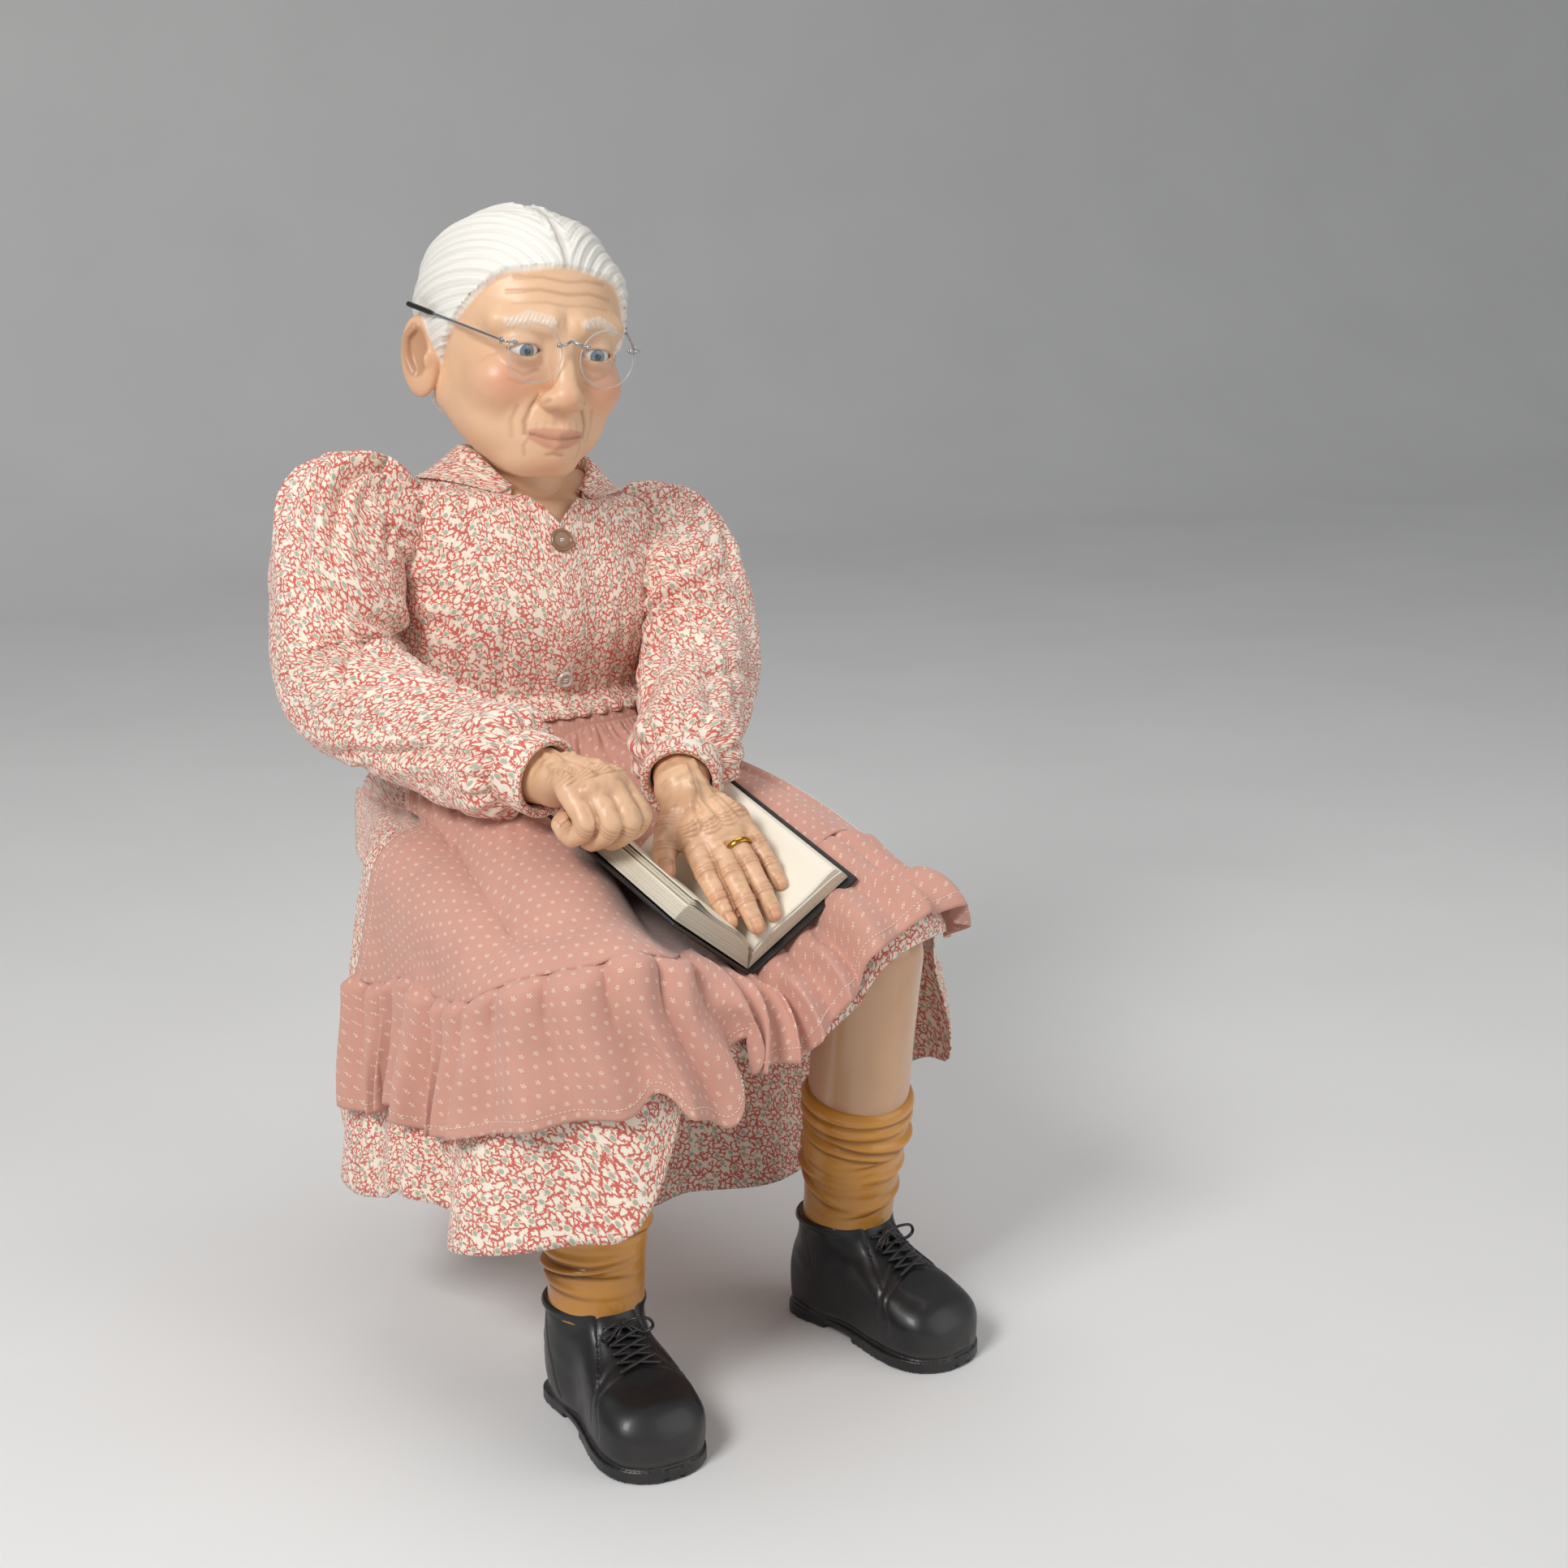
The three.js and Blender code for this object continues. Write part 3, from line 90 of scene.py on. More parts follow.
ANKLES = {"left": (120, -292, 15), "right": (-109, -326, 0)}
LAP = {"side": 150, "front": -359, "rear": 54, "corner": 70, "edge": 30, "belly": 40, "drop": 6,
       "wrap": 100, "clear": 5.5}
HEM_LINE = np.array([
    [-533, 70], [-480, 110], [-405, 272], [-345, 276], [-230, 222], [-110, 212], [-58, 66], [-10, 44],
    [168, 44], [206, 186], [250, 206], [330, 206], [410, 74], [533, 74],
], float)
SEAM_LINE = np.array([
    [-352, 112], [-250, 72], [-130, 26], [-82, 16], [-40, -34], [5, -54], [60, -62], [120, -68], [192, -38],
], float)
APRON = {"right": -355, "left": 195, "ruffle": 98, "band": 15}
BACK = {"front": -206, "edge": 9, "waist": 94, "side": 127, "seat": 146, "hem_half": 170, "hem": -210}
BOOK = {"at": (8, -337, 12), "yaw": -10, "rise": 18, "slopes": (37, 38), "page": 98, "height": 142,
        "cover": 2.6, "overhang": 5, "thick": (15, 11)}
ARMS = {
    "left": {"side": 1, "seed": 61,
             "shoulder": (139, 36, 258), "elbow": (123, -58, 179), "wrist": (13, -231, 131)},
    "right": {"side": -1, "seed": 71,
              "shoulder": (-141, 36, 304), "elbow": (-172, -14, 172), "wrist": (-105, -230, 146)},
}
# Cuff: its length, its flat size, and its profile from inside one edge round to inside the other
CUFF = {"length": 26, "flat": (190, 46),
        "profile": [(23, 1), (25.5, -0.6), (27.4, 0.4), (28.2, 4), (28.6, 13), (28.8, 24), (28.4, 28),
                    (27.2, 29.4), (25, 28.4), (23.6, 26), (23, 16)]}
HAND_SCALE = 1.08
# Hands: the point they reach for, the way the back faces, and stations of along, thumbwards, up, radius
HANDS = {
    "left": {
        "point": (14, -338, 64), "back": (-0.25, -0.5, 0.85),
        "palm": [(40, 0, 0, 17), (48, 1, 1, 20), (55, 1, 0, 20)],
        "fingers": {
            "index": [(56, 18, 0, 8.6), (84, 20, -2, 7.6), (104, 20, -6, 6.6), (120, 19, -11, 5.6)],
            "middle": [(60, 6, 1, 8.8), (92, 6, -1, 7.8), (114, 6, -5, 6.8), (131, 5, -11, 5.7)],
            "ring": [(58, -7, 0, 8.4), (88, -8, -2, 7.4), (109, -9, -6, 6.5), (125, -10, -12, 5.5)],
            "little": [(52, -18, -1, 7.6), (74, -21, -3, 6.6), (90, -23, -7, 5.8), (104, -24, -11, 5)],
            "thumb": [(24, 10, -1, 10), (40, 27, -3, 9.2), (55, 37, -4, 8), (69, 42, -6, 6.6)],
        },
    },
    "right": {
        "point": (-83, -302, 147), "back": (0, 0, 1),
        "palm": [(38, 0, 0, 17), (48, 1, 1, 20), (58, 1, -1, 20)],
        "fingers": {
            "index": [(62, 17, -1, 9), (80, 18, -20, 8.4), (64, 18, -32, 7.4), (50, 16, -26, 6.5)],
            "middle": [(66, 5, 1, 9.2), (84, 5, -20, 8.6), (68, 5, -34, 7.6), (52, 5, -27, 6.6)],
            "ring": [(64, -8, 0, 8.8), (81, -8, -20, 8.2), (64, -8, -33, 7.2), (50, -7, -26, 6.4)],
            "little": [(57, -19, -2, 8), (72, -20, -19, 7.4), (57, -19, -30, 6.6), (46, -18, -24, 6)],
            "thumb": [(28, 11, -4, 10.5), (42, 26, -11, 9.4), (57, 27, -21, 8.2), (71, 20, -27, 7)],
        },
    },
}
SIDES = (("left", 1), ("right", -1))
FINGERS = ("index", "middle", "ring", "little")
# Paints of the ceramic; crease and groove carry painted shade in its hollows as well as painted lines and
# tones
PAINTS = ("blush", "lip", "crease", "hair", "groove")
# Threads are drawn twice as coarse as real ones, so that the weave shows
THREAD = 1.0
APRON_LIFT = 7
BATCH = 200000


def linear(code):
    """Linear colour of an sRGB hex value."""
    c = np.array([int(code[i:i + 2], 16) for i in (1, 3, 5)]) / 255
    return tuple(float(x) for x in np.where(c <= 0.04045, c / 12.92, ((c + 0.055) / 1.055) ** 2.4))


def colour(code, name, use):
    """Colour setting of a piece."""
    return FloatVectorProperty(name=name, description=use, subtype="COLOR", size=3, min=0, max=1,
                               default=linear(code))


def length(value, name, use):
    """Length setting of a piece, from millimetres."""
    return FloatProperty(name=name, description=use, subtype="DISTANCE", unit="LENGTH", default=value * MM)


class DollCloth(bpy.types.PropertyGroup):
    """Sizes and colours of the dress and the apron"""
    ground: colour("#f8ebd8", "Calico ground", "Ground of the dress cloth")
    sprig: colour("#d0675a", "Calico sprig", "Printed stems and leaves of the dress cloth")
    blossom: colour("#a3a68f", "Calico blossom", "Small printed blossoms of the dress cloth")
    apron: colour("#d09a88", "Apron", "Ground of the apron cotton")
    apron_sprig: colour("#f6e6d4", "Apron sprig", "Small printed sprigs of the apron")
    muslin: colour("#e6dcc6", "Muslin", "Cloth of the stuffed body")
    thick: length(1.2, "Cloth", "Thickness of the dress and apron cloth")
    dress_motif: length(7.8, "Dress motif", "Spacing of the blossoms on the dress")
    apron_motif: length(9.8, "Apron motif", "Spacing of the sprigs on the apron")
    stitch: length(3.2, "Stitch", "Spacing of the stitches")


class DollCeramic(bpy.types.PropertyGroup):
    """Colours of the painted ceramic"""
    skin: colour("#eabf98", "Skin", "Painted bisque of the head and the hands")
    blush: colour("#d98a6c", "Blush", "Cheeks, knuckles and ears")
    lip: colour("#c67f6e", "Lips", "Painted lips")
    # Brown for painted shade in the ceramic's creases and hollows; it also draws the lip line, the eye rims
    # and the veins
    crease: colour("#8d5a36", "Crease shade and lines", "Brown painted as shade into creases, and for lines and veins")
    hair: colour("#f3efe6", "Hair", "Glazed moulded hair")
    shin: colour("#d5a984", "Leg", "Glazed legs")
    sock: colour("#d8963e", "Socks", "Glazed socks")
    boot: colour("#161517", "Boots", "Satin boots")
    iris: colour("#7d93a3", "Iris", "Painted irises")


class DollExtras(bpy.types.PropertyGroup):
    """Colours of the spectacles, the buttons and the book"""
    steel: colour("#b9bcc0", "Steel", "Spectacle wire")
    tip: colour("#1b1b1d", "Temple tips", "Sleeves on the temples")
    gold: colour("#d2a245", "Gold", "Ring")
    horn: colour("#8f6a4c", "Collar button", "Shell button at the collar")
    pearl: colour("#dcd5c9", "Waist button", "Clear button at the waist")
    leather: colour("#1b191a", "Book cover", "Grained cover of the book")
    paper: colour("#efe7d5", "Pages", "Pages of the book")


# Numbers

def lerp(a, b, t):
    return a + (b - a) * t


def smooth(a, b, x):
    t = np.clip((x - a) / (b - a), 0, 1)
    return t * t * (3 - 2 * t)


def unit(v):
    v = np.asarray(v, float)
    return v / np.maximum(np.linalg.norm(v, axis=-1, keepdims=True), 1e-9)


def through(rows, t):
    """Catmull-Rom blend through rows of numbers, t from 0 to 1."""
    rows = np.asarray(rows, float)
    at = np.clip(t, 0, 1) * (len(rows) - 1)
    i = np.minimum(np.floor(at).astype(int), len(rows) - 2)
    k = (at - i)[..., None]
    a, b, d, e = (rows[np.clip(i + n, 0, len(rows) - 1)] for n in (-1, 0, 1, 2))
    return b + 0.5 * k * (d - a + k * (2 * a - 5 * b + 4 * d - e + k * (3 * (b - d) + e - a)))


def mottle(x, y, seed):
    """Smooth lattice noise from -1 to 1."""
    table = np.random.default_rng(seed).uniform(-1, 1, (64, 64))
    i, j = np.floor(x).astype(int), np.floor(y).astype(int)
    u, v = x - i, y - j
    u, v = u * u * (3 - 2 * u), v * v * (3 - 2 * v)
    return lerp(lerp(table[i % 64, j % 64], table[(i + 1) % 64, j % 64], u),
                lerp(table[i % 64, (j + 1) % 64], table[(i + 1) % 64, (j + 1) % 64], u), v)


def on_line(line, m):
    """Eased steps through rows of distance and value."""
    i = np.clip(np.searchsorted(line[:, 0], m, side="right") - 1, 0, len(line) - 2)
    k = np.clip((m - line[i, 0]) / (line[i + 1, 0] - line[i, 0]), 0, 1)
    return lerp(line[i, 1], line[i + 1, 1], k * k * (3 - 2 * k))


def crease(x, width):
    """Sharp valley between two soft ridges."""
    return 0.5 * np.exp(-((np.abs(x) - 2 * width) / (1.3 * width)) ** 2) - np.exp(-(x / width) ** 2)


def turned_by(angle, zero):
    """Angle from a zero, between half a turn back and half a turn on."""
    return np.angle(np.exp(1j * (angle - zero)))


def eased_down(grid, times=1):
    """Grid with the kinks from row to row softened, the first and the last row kept."""
    grid = grid.copy()
    for _ in range(times):
        grid[1:-1] = (grid[:-2] + 2 * grid[1:-1] + grid[2:]) / 4
    return grid


def eased(grid, times, ring=False):
    """Grid with its kinks softened, the edges kept."""
    for _ in range(times):
        grid = eased_down(grid)
        if ring:
            grid = (np.roll(grid, 1, 1) + 2 * grid + np.roll(grid, -1, 1)) / 4
        else:
            grid[:, 1:-1] = (grid[:, :-2] + 2 * grid[:, 1:-1] + grid[:, 2:]) / 4
    return grid


def normals(points, ring=False):
    """Outward normals of a grid of points, rows down and columns across."""
    if ring:
        across = np.roll(points, -1, 1) - np.roll(points, 1, 1)
    else:
        across = np.gradient(points, axis=1)
    return unit(np.cross(np.gradient(points, axis=0), across))


# Meshes

def piece(name, mesh, body, material, replaces=(), slot=None):
    """Object of a mesh, riding on its body, with its look and the nodes it replaces; its slot is not used."""
    made = bpy.data.objects.new(name, mesh)
    bpy.context.scene.collection.objects.link(made)
    mesh.materials.append(material)
    if body:
        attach(made, body)
    if replaces:
        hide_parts(*replaces)
    return made


def mesh_from(name, points, faces, values=None):
    """Smooth mesh of points in millimetres, with values at its points."""
    mesh = bpy.data.meshes.new(name)
    mesh.from_pydata((np.asarray(points).reshape(-1, 3) * MM).tolist(), [], faces)
    mesh.polygons.foreach_set("use_smooth", np.ones(len(mesh.polygons), bool))
    for key, value in (values or {}).items():
        layer = mesh.attributes.new(key, "FLOAT", "POINT")
        layer.data.foreach_set("value", np.ravel(value).astype(np.float32))
    mesh.update()
    return mesh


def grid_faces(rows, columns, ring=False, flip=False):
    """Quads of a grid of points, closed across where it is a ring."""
    wide = columns if ring else columns - 1
    j, i = np.mgrid[0:rows - 1, 0:wide]
    k = (i + 1) % columns
    quads = np.stack([j * columns + i, (j + 1) * columns + i, (j + 1) * columns + k, j * columns + k], -1)
    quads = quads.reshape(-1, 4)
    return (quads[:, ::-1] if flip else quads).tolist()


def cloth_mesh(name, points, flat, ring=False):
    """Grid of cloth with its flat place, in metres, as a UV map."""
    rows, columns = points.shape[:2]
    if ring:
        points = np.concatenate([points, points[:, :1]], 1)
        columns += 1
    mesh = mesh_from(name, points, grid_faces(rows, columns))
    layer = mesh.uv_layers.new(name="Cloth")
    corner = np.zeros(len(mesh.loops), np.int32)
    mesh.loops.foreach_get("vertex_index", corner)
    layer.data.foreach_set("uv", (np.asarray(flat).reshape(-1, 2)[corner] * MM).astype(np.float32).ravel())
    if ring:
        sewn = bmesh.new()
        sewn.from_mesh(mesh)
        bmesh.ops.remove_doubles(sewn, verts=sewn.verts, dist=1e-7)
        sewn.to_mesh(mesh)
        sewn.free()
    return mesh


def capped_tube(points, radius, sides=8, flat=1.0, up=(0, 0, 1)):
    """Grid of a tube through points, with round ends. The radius may vary along it."""
    points = np.asarray(points, float)
    radius = np.broadcast_to(np.asarray(radius, float), len(points))
    way = unit(np.gradient(points, axis=0))
    normal, rows = np.array(up, float), []
    angle = np.arange(sides)[:, None] * 2 * math.pi / sides
    for k, (p, t, r) in enumerate(zip(points, way, radius)):
        normal = normal - t * (normal @ t)
        if np.linalg.norm(normal) < 1e-3:
            normal = np.cross(t, (0.3, 1, 0.2))
        normal = normal / np.linalg.norm(normal)
        ring = np.cos(angle) * normal * flat + np.sin(angle) * np.cross(t, normal)
        before = (-0.999, -0.8, -0.45) if k == 0 else ()
        after = (0.45, 0.8, 0.999) if k == len(points) - 1 else ()
        rows += [p + t * s * r * 0.8 + ring * r * math.sqrt(1 - s * s) for s in (*before, 0, *after)]
    return np.array(rows)


def joined(name, grids):
    """One mesh of several closed-ring grids."""
    points, faces, start = [], [], 0
    for grid in grids:
        rows, columns = grid.shape[:2]
        points.append(grid.reshape(-1, 3))
        faces += (np.array(grid_faces(rows, columns, True, True)) + start).tolist()
        start += rows * columns
    return mesh_from(name, np.concatenate(points), faces)


def finished(made):
    """Turns an object's modifiers into its plain mesh."""
    graph = bpy.context.evaluated_depsgraph_get()
    mesh = bpy.data.meshes.new_from_object(made.evaluated_get(graph))
    made.modifiers.clear()
    made.data = mesh
    return made


def thickened(made, thick):
    """Gives a sheet its thickness, half to each side."""
    shell = made.modifiers.new("Cloth", "SOLIDIFY")
    shell.thickness = thick
    shell.offset = 0
    shell.use_even_offset = False
    return finished(made)


def carved(distance, low, high, voxel):
    """Points, quads and slopes of a solid given by its distance, its surface met after one subdivision."""
    low, high = np.array(low, float), np.array(high, float)
    count = np.ceil((high - low) / voxel).astype(int) + 1
    axes = [low[i] + voxel * np.arange(count[i]) for i in range(3)]
    spots = np.stack(np.meshgrid(*axes, indexing="ij"), -1).reshape(-1, 3)
    parts = np.array_split(spots, max(1, len(spots) // BATCH))
    values = np.concatenate([distance(part) for part in parts])
    grid = openvdb.FloatGrid()
    grid.background = 3 * voxel
    grid.copyFromArray(np.clip(values, -3 * voxel, 3 * voxel).reshape(count).astype(np.float32))
    points, quads = grid.convertToQuads(isovalue=0)
    mesh = bpy.data.meshes.new("carving")
    mesh.from_pydata((low + points * voxel).tolist(), [], quads.tolist())
    rough = bpy.data.objects.new("carving", mesh)
    bpy.context.scene.collection.objects.link(rough)
    finer = rough.modifiers.new("Finer", "SUBSURF")
    finer.levels = finer.render_levels = 1
    finished(rough)
    fine = rough.data
    co = np.zeros(len(fine.vertices) * 3, np.float32)
    fine.vertices.foreach_get("co", co)
    faces = np.array([list(p.vertices) for p in fine.polygons])
    bpy.data.objects.remove(rough)
    points = co.reshape(-1, 3).astype(float)
    for _ in range(3):
        slope, d = gradient(distance, points)
        points -= np.clip(d, -voxel, voxel)[:, None] * slope
    slope, _ = gradient(distance, points)
    corner = points[faces]
    face_way = np.cross(corner[:, 1] - corner[:, 0], corner[:, 2] - corner[:, 0])
    if (face_way * slope[faces[:, 0]]).sum() < 0:
        faces = faces[:, ::-1]
    return points, faces.tolist(), slope


def gradient(distance, points, step=0.15):
    """Way in which a distance grows fastest, and the distance itself, evened out."""
    sides = [distance(points + way * step) - distance(points - way * step) for way in np.eye(3)]
    slope = np.stack(sides, -1) / (2 * step)
    size = np.maximum(np.linalg.norm(slope, axis=1), 0.25)
    return slope / size[:, None], distance(points) / size


# Distances to simple forms, joined softly

def egg(p, centre, radii):
    """Distance to an ellipsoid."""
    radii = np.array(radii, float)
    q = (p - np.array(centre, float)) / radii
    size = np.maximum(np.linalg.norm(q, axis=-1), 1e-6)
    return size * (size - 1) / np.maximum(np.linalg.norm(q / radii, axis=-1), 1e-6)


def rod(p, start, end, r0, r1):
    """Distance to a round-ended rod with a radius at each end."""
    a, b = np.array(start, float), np.array(end, float)
    span = b - a
    k = np.clip((p - a) @ span / (span @ span), 0, 1)
    return np.linalg.norm(p - a - k[..., None] * span, axis=-1) - lerp(r0, r1, k)


def melt(a, b, k):
    """Two forms joined with a fillet."""
    h = np.maximum(0, k - np.abs(a - b)) / k
    return np.minimum(a, b) - h * h * k / 4


def dent(a, b, k):
    """One form with another cut out of it, the edge rounded."""
    return -melt(-a, b, k)


def chain(p, stations, steps=5):
    """Chain of rods through stations of place and radius."""
    fine = through(stations, np.linspace(0, 1, (len(stations) - 1) * steps + 1))
    d = rod(p, fine[0, :3], fine[1, :3], fine[0, 3], fine[1, 3])
    for a, b in zip(fine[1:-1], fine[2:]):
        d = np.minimum(d, rod(p, a[:3], b[:3], a[3], b[3]))
    return d


def stroke(p, line, width):
    """Distance of points from a drawn line, counted in its widths."""
    line = np.asarray(line, float)
    near = np.full(len(p), 1e9)
    for a, b in zip(line[:-1], line[1:]):
        span = b - a
        k = np.clip((p - a) @ span / max(span @ span, 1e-9), 0, 1)
        near = np.minimum(near, np.linalg.norm(p - a - k[:, None] * span, axis=1))
    return near / width


# Materials

def plug(tree, made, inputs):
    """Sets a node's inputs, each to a value or to a link."""
    for key, value in inputs.items():
        if isinstance(value, bpy.types.NodeSocket):
            tree.links.new(value, made.inputs[key])
        else:
            made.inputs[key].default_value = value
    return made


def node(tree, kind, inputs=None, **settings):
    """Adds a node with its settings and, by socket, its values and links."""
    made = tree.nodes.new(kind)
    for key, value in settings.items():
        setattr(made, key, value)
    return plug(tree, made, inputs or {})


def blank(name, **values):
    """New material, and the node tree and shader that paint it."""
    made = bpy.data.materials.new(name)
    made.use_nodes = True
    shader = made.node_tree.nodes["Principled BSDF"]
    plug(made.node_tree, shader, {key.replace("_", " ").title(): value for key, value in values.items()})
    return made, made.node_tree, shader


def rgba(c, tone=1.0):
    """Colour with full alpha, darker where the tone is below 1."""
    return (*(tone * k for k in c), 1)


def mottled(tree, place, base, shade, noise, span=(0, 1, 1)):
    """Colour that drifts in soft patches from a base to its shade, and the noise that drives it."""
    low, high, most = span
    blot = node(tree, "ShaderNodeTexNoise", {"Vector": place, **noise}).outputs[0]
    share = node(tree, "ShaderNodeMapRange", {0: blot, 1: low, 2: high, 3: 0, 4: most}).outputs[0]
    tone = node(tree, "ShaderNodeMix", {0: share, 6: base, 7: shade}, data_type="RGBA").outputs[2]
    return tone, blot


def surfaced(tree, shader, base, height, strength, distance):
    """Gives a shader its colour and its fine relief."""
    relief = node(tree, "ShaderNodeBump", {"Height": height, "Strength": strength, "Distance": distance})
    plug(tree, shader, {"Base Color": base, "Normal": relief.outputs[0]})


def printed_cotton(name, paint):
    """Plain-woven printed cotton: matt, with a fine weave, soft sheen and a print that follows the cloth."""
    made, tree, shader = blank(name, roughness=0.88, sheen_weight=0.25, sheen_roughness=0.5)
    uv = node(tree, "ShaderNodeUVMap", uv_map="Cloth").outputs[0]
    mm = node(tree, "ShaderNodeVectorMath", {0: uv, 1: (1 / MM,) * 3}, operation="MULTIPLY").outputs[0]
    blot = node(tree, "ShaderNodeTexNoise", {"Vector": mm, "Scale": 0.02, "Detail": 3}).outputs[0]
    shade = node(tree, "ShaderNodeMapRange", {0: blot, 1: 0.3, 2: 0.7, 3: 0.94, 4: 1.04}).outputs[0]
    worn = node(tree, "ShaderNodeVectorMath", {0: paint(tree, mm), 1: shade}, operation="MULTIPLY").outputs[0]
    split = node(tree, "ShaderNodeSeparateXYZ", {0: mm})
    turn = 2 * math.pi / THREAD
    waves = [node(tree, "ShaderNodeMath", {0: split.outputs[i], 1: turn}, operation="MULTIPLY")
             for i in (0, 1)]
    warp, weft = (node(tree, "ShaderNodeMath", {0: w.outputs[0]}, operation="SINE").outputs[0] for w in waves)
    weave = node(tree, "ShaderNodeMath", {0: warp, 1: weft}, operation="MULTIPLY").outputs[0]
    crumple = node(tree, "ShaderNodeTexNoise", {"Vector": mm, "Scale": 0.11, "Detail": 2}).outputs[0]
    height = node(tree, "ShaderNodeMath", {0: weave, 1: 0.12, 2: crumple}, operation="MULTIPLY_ADD")
    surfaced(tree, shader, worn, height.outputs[0], 0.35, 0.0012)
    return made


def calico():
    """Cream calico with stems and leaves of coral red, and small grey-green blossoms."""
    cloth = bpy.context.scene.doll_cloth
    motif = cloth.dress_motif / MM

    def paint(tree, mm):
        drift = node(tree, "ShaderNodeTexNoise", {"Vector": mm, "Scale": 1 / (0.8 * motif), "Detail": 1},
                     noise_dimensions="2D").outputs["Color"]
        bent = node(tree, "ShaderNodeVectorMath", {0: drift, 1: (0.7 * motif,) * 3, 2: mm},
                    operation="MULTIPLY_ADD").outputs[0]
        vine = node(tree, "ShaderNodeTexVoronoi", {"Vector": bent, "Scale": 1 / (0.62 * motif)},
                    voronoi_dimensions="2D", feature="DISTANCE_TO_EDGE").outputs["Distance"]
        stem = node(tree, "ShaderNodeMapRange", {0: vine, 1: 0.095, 2: 0.155, 3: 1, 4: 0}).outputs[0]
        beside = node(tree, "ShaderNodeMapRange", {0: vine, 1: 0.22, 2: 0.32, 3: 1, 4: 0}).outputs[0]
        bud = node(tree, "ShaderNodeTexVoronoi",
                   {"Vector": mm, "Scale": 1 / (0.27 * motif), "Randomness": 0.9},
                   voronoi_dimensions="2D").outputs["Distance"]
        leaf = node(tree, "ShaderNodeMapRange", {0: bud, 1: 0.26, 2: 0.38, 3: 1, 4: 0}).outputs[0]
        leaf = node(tree, "ShaderNodeMath", {0: leaf, 1: beside}, operation="MULTIPLY").outputs[0]
        twig = node(tree, "ShaderNodeMath", {0: stem, 1: leaf}, operation="MAXIMUM").outputs[0]
        patch = node(tree, "ShaderNodeTexNoise", {"Vector": mm, "Scale": 1 / (1.1 * motif), "Detail": 1},
                     noise_dimensions="2D").outputs[0]
        grown = node(tree, "ShaderNodeMapRange", {0: patch, 1: 0.32, 2: 0.38, 3: 0, 4: 1}).outputs[0]
        bloom = node(tree, "ShaderNodeTexVoronoi",
                     {"Vector": mm, "Scale": 1 / (1.45 * motif), "Randomness": 0.75},
                     voronoi_dimensions="2D").outputs["Distance"]
        clear = node(tree, "ShaderNodeMapRange", {0: bloom, 1: 0.19, 2: 0.24, 3: 0, 4: 1}).outputs[0]
        petals = node(tree, "ShaderNodeMapRange", {0: bloom, 1: 0.13, 2: 0.21, 3: 0.85, 4: 0}).outputs[0]
        for mask in (grown, clear):
            twig = node(tree, "ShaderNodeMath", {0: twig, 1: mask}, operation="MULTIPLY").outputs[0]
        tone = rgba(cloth.ground)
        for share, over in ((twig, rgba(cloth.sprig)), (petals, rgba(cloth.blossom))):
            tone = node(tree, "ShaderNodeMix", {0: share, 6: tone, 7: over}, data_type="RGBA").outputs[2]
        return tone

    return printed_cotton("Printed calico", paint)


def apron_cotton():
    """Dusty pink cotton with small sprigs of six spots, turned over in every other row."""
    cloth = bpy.context.scene.doll_cloth
    motif = cloth.apron_motif / MM

    def paint(tree, mm):
        scaled = node(tree, "ShaderNodeVectorMath", {0: mm, 1: (1 / motif,) * 3}, operation="MULTIPLY")
        split = node(tree, "ShaderNodeSeparateXYZ", {0: scaled.outputs[0]})
        row = node(tree, "ShaderNodeMath", {0: split.outputs[1]}, operation="FLOOR").outputs[0]
        drop = node(tree, "ShaderNodeMath", {0: row, 1: 0.5, 2: split.outputs[0]}, operation="MULTIPLY_ADD")
        shifted = node(tree, "ShaderNodeCombineXYZ", {0: drop.outputs[0], 1: split.outputs[1]}).outputs[0]
        place = node(tree, "ShaderNodeVectorMath", {0: shifted}, operation="FRACTION").outputs[0]
        odd = node(tree, "ShaderNodeMath", {0: row, 1: 1.0}, operation="PINGPONG").outputs[0]
        angle = node(tree, "ShaderNodeMath", {0: odd, 1: math.pi}, operation="MULTIPLY").outputs[0]
        place = node(tree, "ShaderNodeVectorRotate",
                     {"Vector": place, "Center": (0.5, 0.5, 0), "Angle": angle},
                     rotation_type="Z_AXIS").outputs[0]
        near = 1.0
        for x, y in ((0.5, 0.66), (0.38, 0.59), (0.62, 0.59), (0.5, 0.53), (0.42, 0.44), (0.58, 0.44)):
            far = node(tree, "ShaderNodeVectorMath", {0: place, 1: (x, y, 0)}, operation="DISTANCE")
            far = far.outputs["Value"]
            near = node(tree, "ShaderNodeMath", {0: near, 1: far}, operation="MINIMUM").outputs[0]
        sprig = node(tree, "ShaderNodeMapRange", {0: near, 1: 0.025, 2: 0.055, 3: 0.95, 4: 0}).outputs[0]
        return node(tree, "ShaderNodeMix", {0: sprig, 6: rgba(cloth.apron), 7: rgba(cloth.apron_sprig)},
                    data_type="RGBA").outputs[2]

    return printed_cotton("Printed apron cotton", paint)


def muslin():
    """Unbleached muslin: matt and plain woven."""
    made, tree, shader = blank("Unbleached muslin", roughness=0.92, sheen_weight=0.2)
    place = node(tree, "ShaderNodeTexCoord").outputs["Object"]
    ground = bpy.context.scene.doll_cloth.muslin
    base, _ = mottled(tree, place, rgba(ground), rgba(ground, 0.86), {"Scale": 40, "Detail": 4})
    weave = node(tree, "ShaderNodeTexVoronoi", {"Vector": place, "Scale": 900}).outputs[0]
    surfaced(tree, shader, base, weave, 0.3, 0.0004)
    return made


